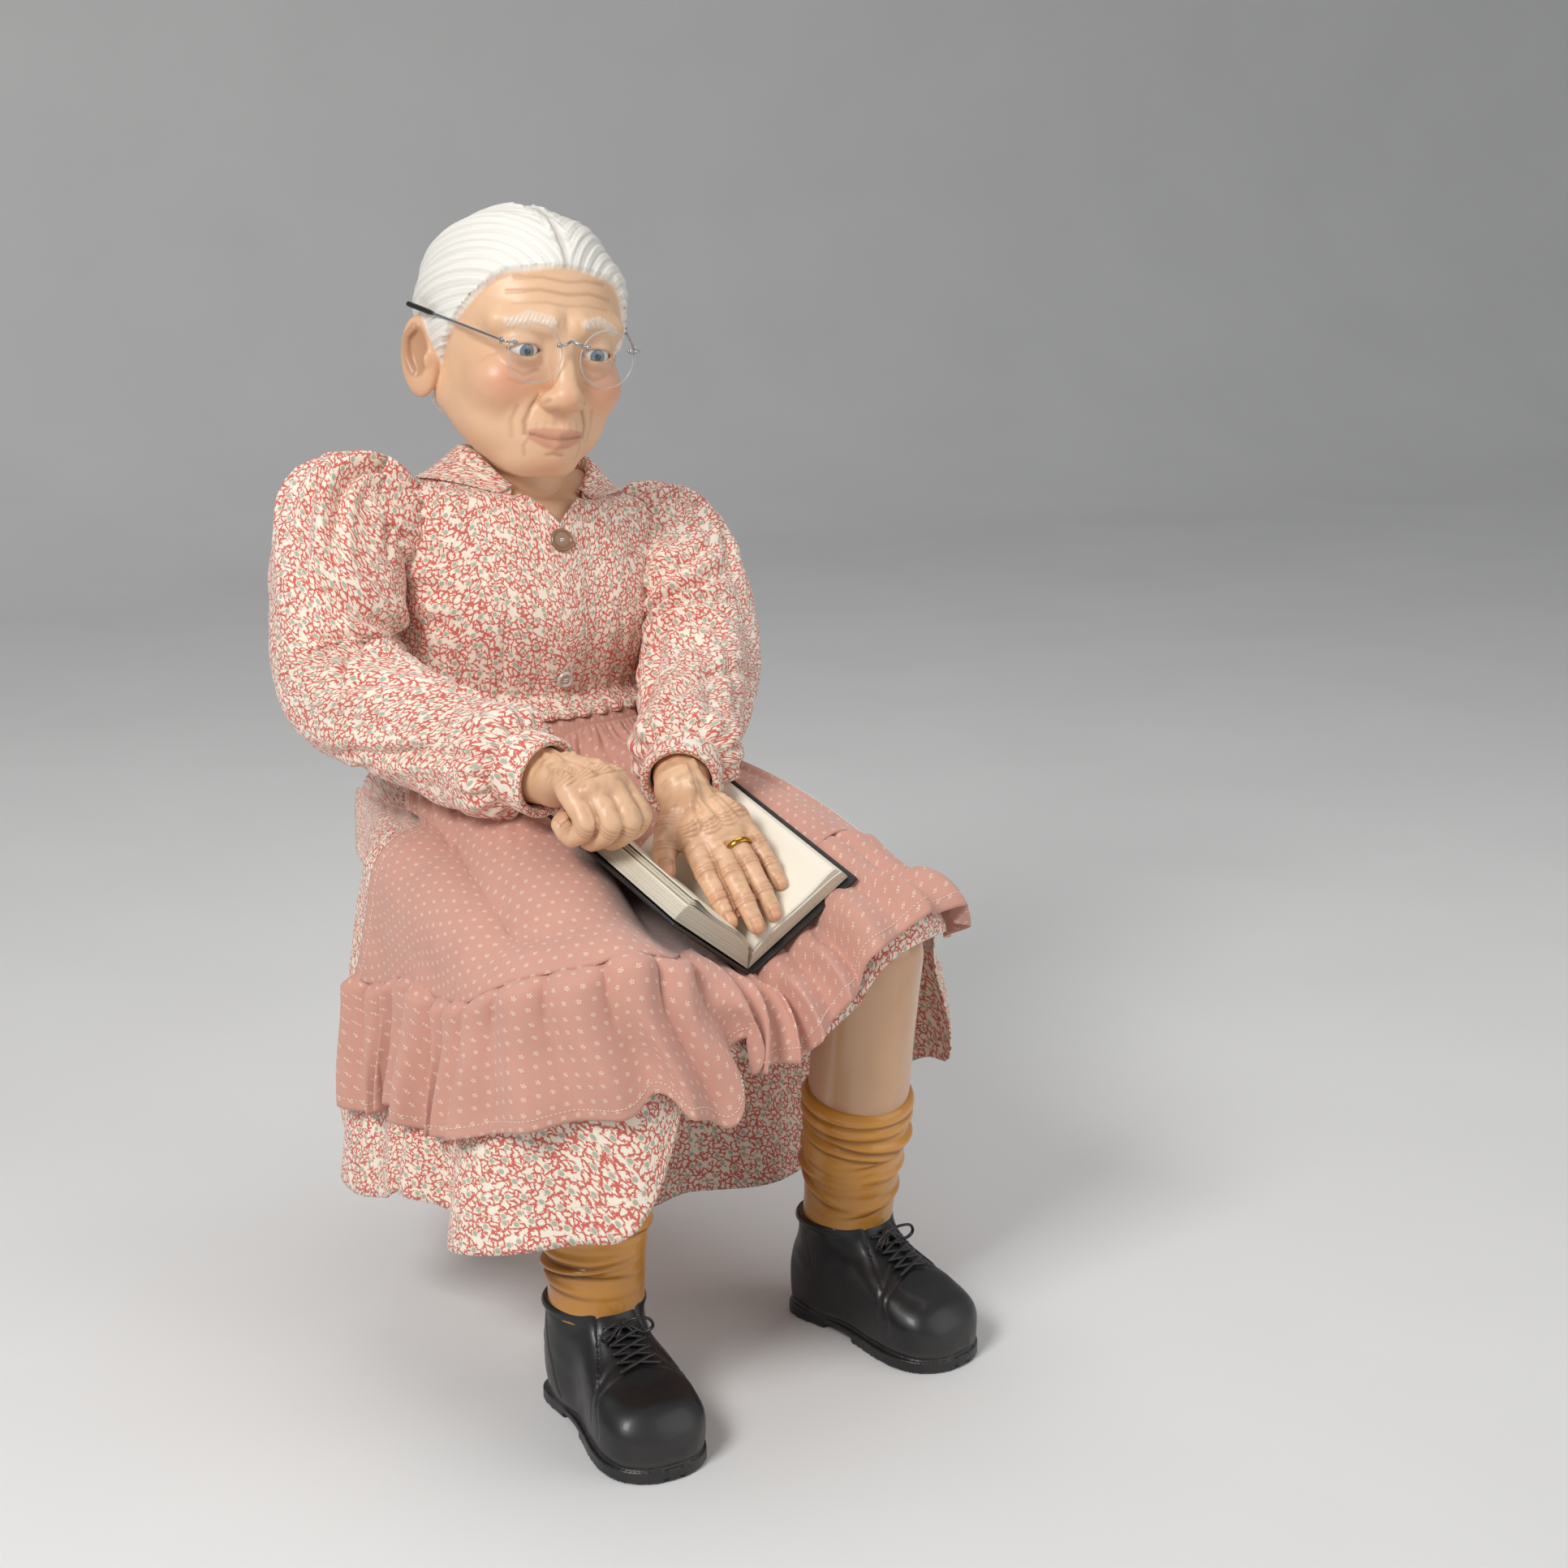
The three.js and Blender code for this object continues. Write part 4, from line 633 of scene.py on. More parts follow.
def painted_bisque():
    """Painted bisque under a satin glaze: soft mottled skin, with brown painted into the creases and hollows
    as shade.
    """
    paint = bpy.context.scene.doll_ceramic
    made, tree, shader = blank("Painted bisque", roughness=0.44, coat_weight=0.18, coat_roughness=0.3,
                               subsurface_weight=0.06, subsurface_scale=0.004)
    read = {key: node(tree, "ShaderNodeAttribute", attribute_name=key).outputs["Fac"] for key in PAINTS}
    place = node(tree, "ShaderNodeTexCoord").outputs["Object"]
    skin, _ = mottled(tree, place, rgba(paint.skin), rgba(paint.skin, 0.8),
                      {"Scale": 38, "Detail": 5, "Roughness": 0.6}, (0.3, 0.75, 0.3))
    # The hair greys in its grooves: some of the hair's own grey, and painted shade between the locks and
    # along the part
    hair = node(tree, "ShaderNodeMix", {0: read["groove"], 6: rgba(paint.hair), 7: rgba(linear("#a9a195"))},
                data_type="RGBA").outputs[2]
    # The crease brown is painted shade in creases and hollows, and also the painted lip line, eye rims and
    # veins
    for key, over in (("blush", rgba(paint.blush)), ("lip", rgba(paint.lip)), ("crease", rgba(paint.crease)),
                      ("hair", hair)):
        skin = node(tree, "ShaderNodeMix", {0: read[key], 6: skin, 7: over}, data_type="RGBA").outputs[2]
    pores = node(tree, "ShaderNodeTexNoise", {"Vector": place, "Scale": 420, "Detail": 3}).outputs[0]
    surfaced(tree, shader, skin, pores, 0.12, 0.0006)
    return made


def glazed(name, base, dark, rough, attribute, patches, coat=0.4):
    """Glazed ceramic drawn towards a second colour where an attribute says: painted shade in the socks'
    folds, darker shins by the socks, wear on the boots.
    """
    made, tree, shader = blank(name, roughness=rough, coat_weight=coat, coat_roughness=0.12)
    wash = node(tree, "ShaderNodeAttribute", attribute_name=attribute).outputs["Fac"]
    place = node(tree, "ShaderNodeTexCoord").outputs["Object"]
    tone, _ = mottled(tree, place, rgba(base), rgba(base, 0.78), {"Scale": patches, "Detail": 5},
                      (0.3, 0.75, 0.35))
    washed = node(tree, "ShaderNodeMix", {0: wash, 6: tone, 7: rgba(dark)}, data_type="RGBA").outputs[2]
    grain = node(tree, "ShaderNodeTexNoise", {"Vector": place, "Scale": 260, "Detail": 4}).outputs[0]
    surfaced(tree, shader, washed, grain, 0.1, 0.0006)
    return made


def plain(name, base, rough, metallic=0.0, grain=300.0, strength=0.08, **extra):
    """A hard finish with fine handling marks."""
    made, tree, shader = blank(name, roughness=rough, metallic=metallic, **extra)
    place = node(tree, "ShaderNodeTexCoord").outputs["Object"]
    tone, marks = mottled(tree, place, rgba(base), rgba(base, 0.75), {"Scale": grain, "Detail": 4},
                          (0.3, 0.7, 0.3))
    surfaced(tree, shader, tone, marks, strength, 0.0005)
    return made


def settled(distance, points, lift=0.0, steps=6):
    """Points brought to a distance above a form."""
    points = np.array(points, float)
    for _ in range(steps):
        slope, d = gradient(distance, points)
        points -= (d - lift)[:, None] * slope
    return points


def closed_loft(name, rings, values=None):
    """Closed mesh over rings of points, rows along and columns around, with flat ends."""
    rows, columns = rings.shape[:2]
    faces = grid_faces(rows, columns, True)
    corner = rings.reshape(-1, 3)[np.array(faces)]
    way = np.cross(corner[:, 1] - corner[:, 0], corner[:, 2] - corner[:, 0])
    inward = (way * (corner.mean(1) - rings.reshape(-1, 3).mean(0))).sum() < 0
    faces += [list(range(columns)), list(range((rows - 1) * columns, rows * columns))[::-1]]
    return mesh_from(name, rings, [f[::-1] for f in faces] if inward else faces, values)


def stuffed(name, rings, body, replaced):
    """Muslin casing over stuffing, tight, with a puckered seam along each side."""
    rows, columns = rings.shape[:2]
    turn = np.arange(columns) / columns * 2 * math.pi
    seam = np.exp(-(np.sin(turn) / 0.11) ** 2)[None]
    run = np.linspace(0, 1, rows)[:, None] * np.linalg.norm(rings[-1, 0] - rings[0, 0])
    lumps = mottle(run / 26 + 3, np.cos(turn)[None] * 2.4 + 5, 3) * 0.9
    out = normals(rings, True)
    out = out * np.sign((out * (rings - rings.mean(1, keepdims=True))).sum(-1, keepdims=True))
    pull = -1.6 * seam * (1 + 0.45 * np.cos(run * 2 * math.pi / 7)) + lumps - 0.9
    mesh = closed_loft(name, rings + out * pull[..., None])
    piece(name, mesh, body, finish(muslin), (replaced,), "muslin")


FINISHES = {}


def finish(make):
    """A material made once and shared."""
    if make not in FINISHES:
        FINISHES[make] = make()
    return FINISHES[make]


# The leaning body

def torso_at(z):
    """Share of the way up the torso's rows at a height."""
    i = np.clip(np.searchsorted(TORSO[:, 0], z, side="right") - 1, 0, len(TORSO) - 2)
    return (i + (z - TORSO[i, 0]) / (TORSO[i + 1, 0] - TORSO[i, 0])) / (len(TORSO) - 1)


def leaned(p):
    """Points of an upright torso, leaned and tilted as the doll sits."""
    t = np.maximum(0, (p[..., 2] - WAIST_Z) / (SHOULDER_Z - WAIST_Z))
    out = p.copy()
    out[..., 2] -= p[..., 0] * math.tan(math.radians(SHOULDER_TILT)) * t
    out[..., 0] += LEAN * t
    return out


def torso_point(u, t, grow=0.0):
    """Point of the torso, a share around it and a share up it."""
    row = through(TORSO, t)
    angle = 2 * math.pi * u
    x = (row[..., 1] + grow) * np.sin(angle)
    y = row[..., 3] + (row[..., 2] + grow) * np.cos(angle)
    return leaned(np.stack([x, y, row[..., 0] + 0 * angle], -1))


def bodice_point(u, t, grow=0.0):
    """Point of the torso with the neckline lowered in front."""
    p = torso_point(u, t, grow)
    p[..., 2] -= NECKLINE * smooth(0.8, 1, t) * np.maximum(0, -np.cos(2 * math.pi * u)) ** 2
    return p


def thigh_at(y):
    """Sideways place, height and radius of a thigh along its length."""
    t = (HIP["y"] - y) / (HIP["y"] - KNEE["y"])
    m = (HIP["y"] - MIDTHIGH["y"]) / (HIP["y"] - KNEE["y"])
    rest = CLOTH + FIT + 0.8

    def blend(a, b, c):
        return a * (t - m) * (t - 1) / m + b * t * (t - 1) / (m * (m - 1)) + c * t * (t - m) / (1 - m)
    return (blend(HIP["x"], MIDTHIGH["x"], KNEE["x"]),
            blend(rest + HIP["radius"], rest + MIDTHIGH["radius"], KNEE["z"]),
            blend(HIP["radius"], MIDTHIGH["radius"], KNEE["radius"]))


# The cloth over the lap

def rim_table():
    """Edge of the lap from one side round the front to the other, and the distance along it."""
    s, f, k = LAP["side"], LAP["front"], LAP["corner"]
    t = np.linspace(0, 1, 120)[:, None]

    def corner(a, b, c):
        return (1 - t) ** 2 * np.array(a) + 2 * t * (1 - t) * np.array(b) + t * t * np.array(c)
    line = np.concatenate([[[-s, LAP["rear"]]], corner((-s, f + k), (-s, f), (-s + k, f)),
                           corner((s - k, f), (s, f), (s, f + k)), [[s, LAP["rear"]]]])
    along = np.concatenate([[0], np.cumsum(np.linalg.norm(np.diff(line, axis=0), axis=1))])
    return line, along - along[-1] / 2


RIM, RIM_AT = rim_table()
RIM_HALF = RIM_AT[-1]
YAW, RISE = (math.radians(BOOK[key]) for key in ("yaw", "rise"))
BOOK_AXIS = np.array([math.sin(YAW) * math.cos(RISE), math.cos(YAW) * math.cos(RISE), math.sin(RISE)])


def lap_height(x, y):
    """Height of the cloth over the thighs and the dip where the book lies."""
    tx, tz, tr = thigh_at(np.clip(y, KNEE["y"], HIP["y"]))
    away = np.hypot(np.abs(x) - tx, np.maximum(0, KNEE["y"] - y))
    between = np.abs(x) < tx
    floor = np.where(between, -300, tz + 0.3 * tr)
    top = tz + np.sqrt(np.maximum(0, tr ** 2 - away ** 2)) - 4 * np.maximum(0, away - tr)
    thigh = np.maximum(floor, top) + LAP["clear"]
    far = (y - BOOK["at"][1]) / BOOK_AXIS[1]
    aside = x - BOOK["at"][0] - far * BOOK_AXIS[0]
    slope = 0.88 * np.tan(np.radians(np.where(aside < 0, *BOOK["slopes"])))
    under = BOOK["cover"] + 2 * CLOTH + LAYER + 2 * FIT + 4.6
    dip = BOOK["at"][2] + far * BOOK_AXIS[2] - under + slope * (np.hypot(aside, 14) - 14)
    valley = np.where(between, np.minimum(dip, tz + tr + LAP["clear"]), -300)
    ease = 5 * np.clip((tx - np.abs(x)) / 25, 0, 1)
    return (thigh + valley + np.hypot(thigh - valley, ease)) / 2


def strand(m):
    """Ends of a thread from waist to rim, the way the rim runs there, and its length."""
    u = np.clip((m + RIM_HALF) / (2 * RIM_HALF), 0, 1)
    row = through(TORSO, np.array(torso_at(WAIST_Z)))
    angle = lerp(-1.0, 1.0, u) * math.radians(LAP["wrap"])
    waist = np.stack([row[1] * np.sin(angle), row[3] - row[2] * np.cos(angle)], -1)

    def rim(k):
        return np.stack([np.interp(k, RIM_AT, RIM[:, i]) for i in (0, 1)], -1)
    at = rim(m)
    return at, waist, unit(rim(m + 0.5) - rim(m - 0.5)), np.linalg.norm(waist - at, axis=-1)


def drape(m, f):
    """Cloth over the lap: m runs along the front rim, and f past it, below 0 on the lap."""
    at, waist, way, run = strand(m)
    on_lap = np.minimum(f, 0)
    spot = waist + (at - waist) * (1 + on_lap / run)[..., None]
    z = lap_height(spot[..., 0], spot[..., 1])
    near = 1 - np.clip((run + on_lap) / LAP["belly"], 0, 1)
    z = lerp(z, WAIST_Z - LAP["drop"], near * near)
    edge = LAP["edge"]
    over = np.maximum(f, 0)
    bend = np.minimum(over, edge * math.pi / 2) / edge
    rest = np.maximum(0, over - edge * math.pi / 2)
    out = edge * np.sin(bend) + rest * 0.06 + rest * 0.05 * (1 + np.sin(m / 92 * 2 * math.pi))
    aside = np.stack([way[..., 1], -way[..., 0]], -1)
    z = z - edge * (1 - np.cos(bend)) - rest
    return np.concatenate([spot + aside * out[..., None], z[..., None]], -1)


def lap_folds(m, f):
    """Soft folds that the skirt and the apron share."""
    run = strand(m)[3]
    lap = smooth(-run * 0.95, -run * 0.55, f) * (1 - smooth(-20, 30, f))
    hang = smooth(10, 190, f)
    pull = mottle(m / 34 + 9, (f + run) / 130 + 4, 21) * 1.5
    pull = pull + mottle(m / 17 + 2, (f + run) / 75 + 1, 22) * 0.8
    fold = 0.5 + 0.5 * np.sin(m / 64 * 2 * math.pi + 1.6 * mottle(m / 120 + 7, f / 300 + 3, 23))
    return lap * pull + hang * (14 * fold ** 1.5 - 2.5 + 2.0 * mottle(m / 24 + 5, f / 60 + 8, 24))


def kept_in(points):
    """Eases cloth that flares past the sides of the doll's box back into it."""
    x, ease, room = points[..., 0], 26, 14
    for side, limit in ((1, CAD_BOX[1][0] / MM + room), (-1, -CAD_BOX[0][0] / MM + room)):
        past = side * x - (limit - ease)
        x = np.where(past > 0, side * (limit - ease + ease * np.tanh(past / ease)), x)
    points[..., 0] = x
    return points


def averaged(values, axis, half):
    """Running average along an axis, with the ends held."""
    wide = np.pad(values, [(half, half) if k == axis else (0, 0) for k in (0, 1)], mode="edge")
    count = 2 * half + 1
    return sum(np.take(wide, range(k, k + values.shape[axis]), axis) for k in range(count)) / count


def flat_grid(points):
    """Flat place of a grid of cloth: distances along its rows, from the middle, and down its columns."""
    across = averaged(np.linalg.norm(np.diff(points, axis=1), axis=2), 0, 12)
    down = averaged(averaged(np.linalg.norm(np.diff(points, axis=0), axis=2), 1, 14), 1, 14)
    u = np.concatenate([np.zeros((len(points), 1)), np.cumsum(across, 1)], 1)
    v = np.concatenate([np.zeros((1, points.shape[1])), np.cumsum(down, 0)])
    return np.stack([u - u[:, points.shape[1] // 2][:, None], v], -1)


def cloth_piece(name, points, body, material, nodes, slot, ring=False, flat=None):
    """A sheet of cloth with its thickness and its flat size."""
    grid = np.concatenate([points, points[:, :1]], 1) if ring else points
    flat = flat_grid(grid) if flat is None else flat
    mesh = cloth_mesh(name, points, flat, ring)
    made = piece(name, mesh, body, material, nodes, slot)
    thickened(made, bpy.context.scene.doll_cloth.thick)
    wide, long = (round(float(np.ptp(flat[..., i])) * MM, 3) for i in (0, 1))
    return made


STITCH_LINES = {}


def stitched(body, line):
    """Keeps a line of points, in millimetres, for the stitches."""
    STITCH_LINES.setdefault(body, []).append(np.asarray(line, float))


def hemmed(points, row, lift=0.9):
    """Stitches along a row of a grid of cloth on the torso."""
    stitched("torso", points[row] + normals(points)[row] * lift)


def turns(count):
    """Angles of even steps around a circle."""
    return np.arange(count) / count * 2 * math.pi


def round_about(turn, a, b):
    """Ways out from an axis, at angles from one side to another."""
    return np.cos(turn)[..., None] * a + np.sin(turn)[..., None] * b


class DOLL_OT_body(bpy.types.Operator):
    """Stuffed muslin body, and the finishes of the hidden core"""
    bl_idname = "doll.body"
    bl_label = "Stuffed body"

    def execute(self, context):
        extras = context.scene.doll_extras
        u = np.arange(72) / 72
        t = np.linspace(0, torso_at(286), 60)
        rings = torso_point(u[None], t[:, None], -4.2)
        low, high = ([np.mean(ring, 0) + (ring - np.mean(ring, 0)) * k for k in (0.35, 0.75)]
                     for ring in (rings[0], rings[-1]))
        stuffed("Stuffed_torso", np.stack([*low, *rings, *high[::-1]]), "torso", "stuffed_torso")
        turn = turns(48)
        for name, side in SIDES:
            y = np.linspace(-66, KNEE["y"] + BALL + 6, 54)
            x, z, r = thigh_at(y)
            k = np.linspace(0, 1, len(y))
            ends = np.minimum((k / 0.06 + 0.12) ** 0.5, ((1 - k) / 0.08 + 0.12) ** 0.5)
            r = (r - 1.2) * np.minimum(1, ends)
            rings = np.stack([side * x[:, None] + r[:, None] * np.cos(turn), y[:, None] + 0 * turn,
                              z[:, None] + r[:, None] * np.sin(turn)], -1)
            stuffed(f"Stuffed_thigh_{name}", rings, "torso", f"{name}_thigh")
            plan = ARMS[name]
            s, e = np.array(plan["shoulder"], float), np.array(plan["elbow"], float)
            share = 0.72
            k = np.linspace(0, share, 40)
            way = unit(e - s)
            a = unit(np.cross(way, (0, 1, 0.2)))
            ends = np.minimum((k / 0.05 + 0.1) ** 0.5, ((share - k) / 0.1 + 0.1) ** 0.5)
            r = 26 * np.minimum(1, ends)
            out = round_about(turn, a, np.cross(way, a))
            rings = (s + (e - s) * k[:, None])[:, None] + r[:, None, None] * out
            stuffed(f"Stuffed_arm_{name}", rings, f"{name}_upper_arm", f"{name}_upper_arm")
        wood = plain("Turned beech", linear("#c89b66"), 0.6, grain=120.0)
        steel = plain("Steel rod", extras.steel, 0.3, 0.95)
        felt = plain("Grey felt", linear("#8f8a80"), 0.95, grain=500.0, strength=0.4)
        cord = plain("Cotton cord", linear("#cfc3a6"), 0.9, grain=700.0, strength=0.5)
        ties = {f"{side}_{joint}_cord": cord for side, _ in SIDES for joint in ("knee", "wrist")}
        looks = {"spine_post": wood, "shoulder_plate": wood, "neck_rod": steel, "neck_washer": felt, **ties}
        for name, look in looks.items():
            NODES[name].data.materials.clear()
            NODES[name].data.materials.append(look)
        return {"FINISHED"}


def skirt_front():
    """Calico from the waist over the lap and down in front of the shins."""
    m = np.linspace(-RIM_HALF, RIM_HALF, 270)[None]
    rows = np.concatenate([np.linspace(0, 1, 70)[:-1] ** 0.9, 1 + np.linspace(0, 1, 52)])[:, None]
    run = strand(m)[3]
    f = np.where(rows < 1, run * (rows - 1), on_line(HEM_LINE, m) * np.maximum(rows - 1, 0) ** 1.3)
    base = eased(drape(m, f), 2)
    out = normals(eased(base, 4))
    gather = np.exp(-(f + run) / 26) * 2.1 * np.cos(m / RIM_HALF * 58 + 2 * mottle(m / 60 + 2, 1, 31))
    bare = smooth(190, 230, m) + smooth(-350, -380, m)
    crush = mottle(m / 30 + 3, f / 42 + 6, 33) * 2.2 * bare * smooth(-150, -40, f)
    lift = FIT + CLOTH / 2 + lap_folds(m, f) + gather + crush
    lift = lift + 20 * smooth(165, 205, m) * (1 - smooth(300, 400, m)) * smooth(0, 150, f)
    points = base + out * lift[..., None]
    tuck = smooth(380, RIM_HALF - 20, np.abs(m))
    points[..., 0] -= np.sign(m) * tuck * np.maximum(0, np.abs(points[..., 0]) - 126) * 0.9
    points[..., 1] += 10 * tuck * smooth(-60, 10, f)
    points = kept_in(points)
    cloth_piece("Skirt_front", points, "torso", finish(calico), ("skirt_front",), "calico")
    hemmed(points, -6)


def skirt_back():
    """Calico down the back, under the seat and behind the shins."""
    u = np.linspace(0, 1, 96)
    across = 2 * u - 1
    angle = across * math.radians(BACK["waist"])
    keys = []
    # rows down the back: the torso's level that they follow, their height, flare and draw
    for level, z, flare, draw in (
            (WAIST_Z - FIT, WAIST_Z - FIT, 1.02, 1), (105, 105, 1, 1), (60, 60, 1.09, 1), (22, 22, 1.14, 1),
            (22, 7, 1.14, 1), (22, 1, 1.1, 0.94), (22, 1, 1.02, 0.85)):
        a, b, y = through(TORSO, np.array(torso_at(level)))[1:]
        x = (a + FIT + CLOTH) * flare * draw * np.sin(angle)
        x = -4 * np.sign(x) * np.log(np.exp(-np.abs(x) / 4) + math.exp(-BACK["side"] / 4))
        keys.append(np.stack([x, y + (b + FIT + CLOTH) * draw * np.cos(angle), z + 0 * u], -1))
    lip, edge = BACK["front"], BACK["edge"]
    # rows under the seat and down to the hem: their place, height and share of the hang
    for at_y, z, hang in ((-70, 1, 0), (lip + 8, 1, 0), (lip, 1, 0), (lip - edge, -edge, 0),
                          (lip - edge, lerp(-edge, BACK["hem"], 0.35), 0.35),
                          (lip - edge, lerp(-edge, BACK["hem"], 0.7), 0.7), (lip - edge, BACK["hem"], 1)):
        half = lerp(BACK["seat"], BACK["hem_half"], hang)
        keys.append(np.stack([half * across, at_y + hang * 8 * np.sin(across * 9), z + 0 * u], -1))
    keys = np.array(keys)
    v = np.linspace(0, 1, 150) * (len(keys) - 1)
    i = np.minimum(v.astype(int), len(keys) - 2)
    grid = keys[i] + (keys[i + 1] - keys[i]) * (v - i)[:, None, None]
    grid = eased_down(grid, 2)
    down = v[:, None]
    seated = (grid[:, :, 1] < 100) & (grid[:, :, 1] > lip - 1) & (down > 4.5)
    grid[:, :, 2] = np.where(seated, np.maximum(grid[:, :, 2], 0.6), grid[:, :, 2])
    out = -normals(grid)
    ripple = smooth(0.2, 1.2, down) * (1 - smooth(2.6, 3.6, down))
    ripple = ripple * (1.2 + 1.6 * np.sin(u * 34 + 0.8 * np.sin(u * 9)))
    gather = np.exp(-down / 0.9) * 1.6 * np.cos(u * 150) + ripple
    hang = smooth(9.5, 12, down) * 3.5 * mottle(u * 14, down / 2, 35)
    grid = grid + out * (gather + np.maximum(hang, -2))[..., None]
    cloth_piece("Skirt_back", grid, "torso", finish(calico), ("skirt_back",), "calico")
    stitched("torso", grid[-5] + out[-5] * 0.9)


class DOLL_OT_skirt(bpy.types.Operator):
    """Front and back of the calico skirt"""
    bl_idname = "doll.skirt"
    bl_label = "Skirt"

    def execute(self, context):
        skirt_front()
        skirt_back()
        return {"FINISHED"}


def apron_span(columns=30):
    """Ends of the apron along the rim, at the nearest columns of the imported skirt."""
    ends = [round((APRON[k] + RIM_HALF) / (2 * RIM_HALF) * columns) for k in ("right", "left")]
    return [lerp(-RIM_HALF, RIM_HALF, c / columns) for c in ends]


def apron_panel(look, first, last):
    """Gathered panel of the apron on the lap."""
    m = np.linspace(first, last, 180)[None]
    v = np.linspace(0, 1, 110)[:, None]
    run = strand(m)[3]
    seam = on_line(SEAM_LINE, m)
    f = lerp(-run + APRON["band"] - 1.5, seam + 3, v)
    base = eased(drape(m, f), 3)
    past = f + run - APRON["band"]
    phase = (m - first) * 2 * math.pi / 13 + 2 * mottle(m / 50 + 3, 2, 41)
    gather = np.exp(-past / 34) * (1 + np.cos(phase)) * 1.7
    pucker = np.exp(-(seam + 3 - f) / 8) * (1.6 + 0.5 * np.cos(m * 2 * math.pi / 8))
    rumple = 1.1 + mottle(m / 26 + 4, f / 60 + 7, 43) * 1.1
    rng = np.random.default_rng(46)
    drag = 0
    for spot in np.linspace(first + 22, last - 22, 15):
        away = m - spot - rng.uniform(-8, 8) - rng.uniform(-0.12, 0.12) * past
        fold = rng.uniform(2.5, 6) * crease(away, rng.uniform(4, 8))
        drag = drag + fold * np.exp(-past / rng.uniform(50, 150)) * smooth(0, 12, past)
    folds = lap_folds(m, f) * (1 - 0.5 * smooth(-20, 40, f))
    lift = FIT + APRON_LIFT + 1.2 + folds + gather + pucker + np.maximum(0, rumple)
    lift = lift + np.maximum(drag, -5) + 3.5 * np.exp(-past / 110)
    points = eased(base + normals(eased(base, 6)) * lift[..., None], 2)
    cloth_piece("Apron_panel", points, "torso", look, ("apron_panel",), "apron_cotton")
    out = normals(points)
    for edge in (3, -4):
        stitched("torso", points[2:-2, edge] + out[2:-2, edge] * 0.9)


def apron_ruffle(look, first, last):
    """Ruffle sewn to the panel's edge."""
    m = np.linspace(first, last, 420)[None]
    v = np.linspace(0, 1, 40)[:, None]
    seam = on_line(SEAM_LINE, m)
    f = seam - 6 + v * (APRON["ruffle"] + 7)
    base = eased(drape(m, f), 3)
    phase = (m - first) / 25 + 0.35 * mottle(m / 70 + 6, 0.5 * v, 44)
    tuck = np.abs(np.sin(phase * math.pi)) ** 0.65
    pinch = np.exp(-v / 0.16) * 1.6 * np.abs(np.sin((m - first) * math.pi / 10.5))
    free = smooth(-30, 20, f)
    puff = smooth(0.04, 0.16, v) * np.exp(-v / 0.6) * lerp(10, 17, free) * tuck
    wave = smooth(0.1, 1, v) * lerp(6, 12, free) * (0.5 - 0.5 * np.cos(phase * 2 * math.pi))
    lift = FIT + APRON_LIFT + 0.6 + lap_folds(m, f) * 0.5 + pinch + puff + wave
    lift = lift + 1.4 * mottle(m / 12 + 8, v * 3 + 2, 45) * v
    out = normals(eased(base, 6))
    along = unit(np.gradient(eased(base, 6), axis=1))
    fan = 34 * smooth(-170, -80, m) * (1 - smooth(-60, -20, m)) * smooth(0.2, 1, v)
    lean = 3 * v * np.sin(phase * 2 * math.pi) * free + fan
    points = kept_in(base + out * lift[..., None] + along * lean[..., None])
    cloth_piece("Apron_ruffle", points, "torso", look, ("apron_ruffle",), "apron_cotton")
    hemmed(points, -4)


def apron_band(look, first, last):
    """Waistband over the panel's gathers."""
    m = np.linspace(first, last, 150)[None]
    v = np.linspace(0, 1, 10)[:, None]
    run = strand(m)[3]
    f = -run + lerp(0.2, APRON["band"] + 1, v)
    base = drape(m, f)
    bulge = np.sin(np.pi * v) + 0.35 * np.cos(m * 2 * math.pi / 9)
    points = base + normals(base) * (FIT + APRON_LIFT + 3.6 + bulge)[..., None]
    cloth_piece("Apron_waistband", points, "torso", look, ("apron_waistband",), "apron_cotton")
    hemmed(points, -2)


class DOLL_OT_apron(bpy.types.Operator):
    """Apron panel, gathered ruffle and waistband"""
    bl_idname = "doll.apron"
    bl_label = "Apron"

    def execute(self, context):
        for make in (apron_panel, apron_ruffle, apron_band):
            make(finish(apron_cotton), *apron_span())
        return {"FINISHED"}


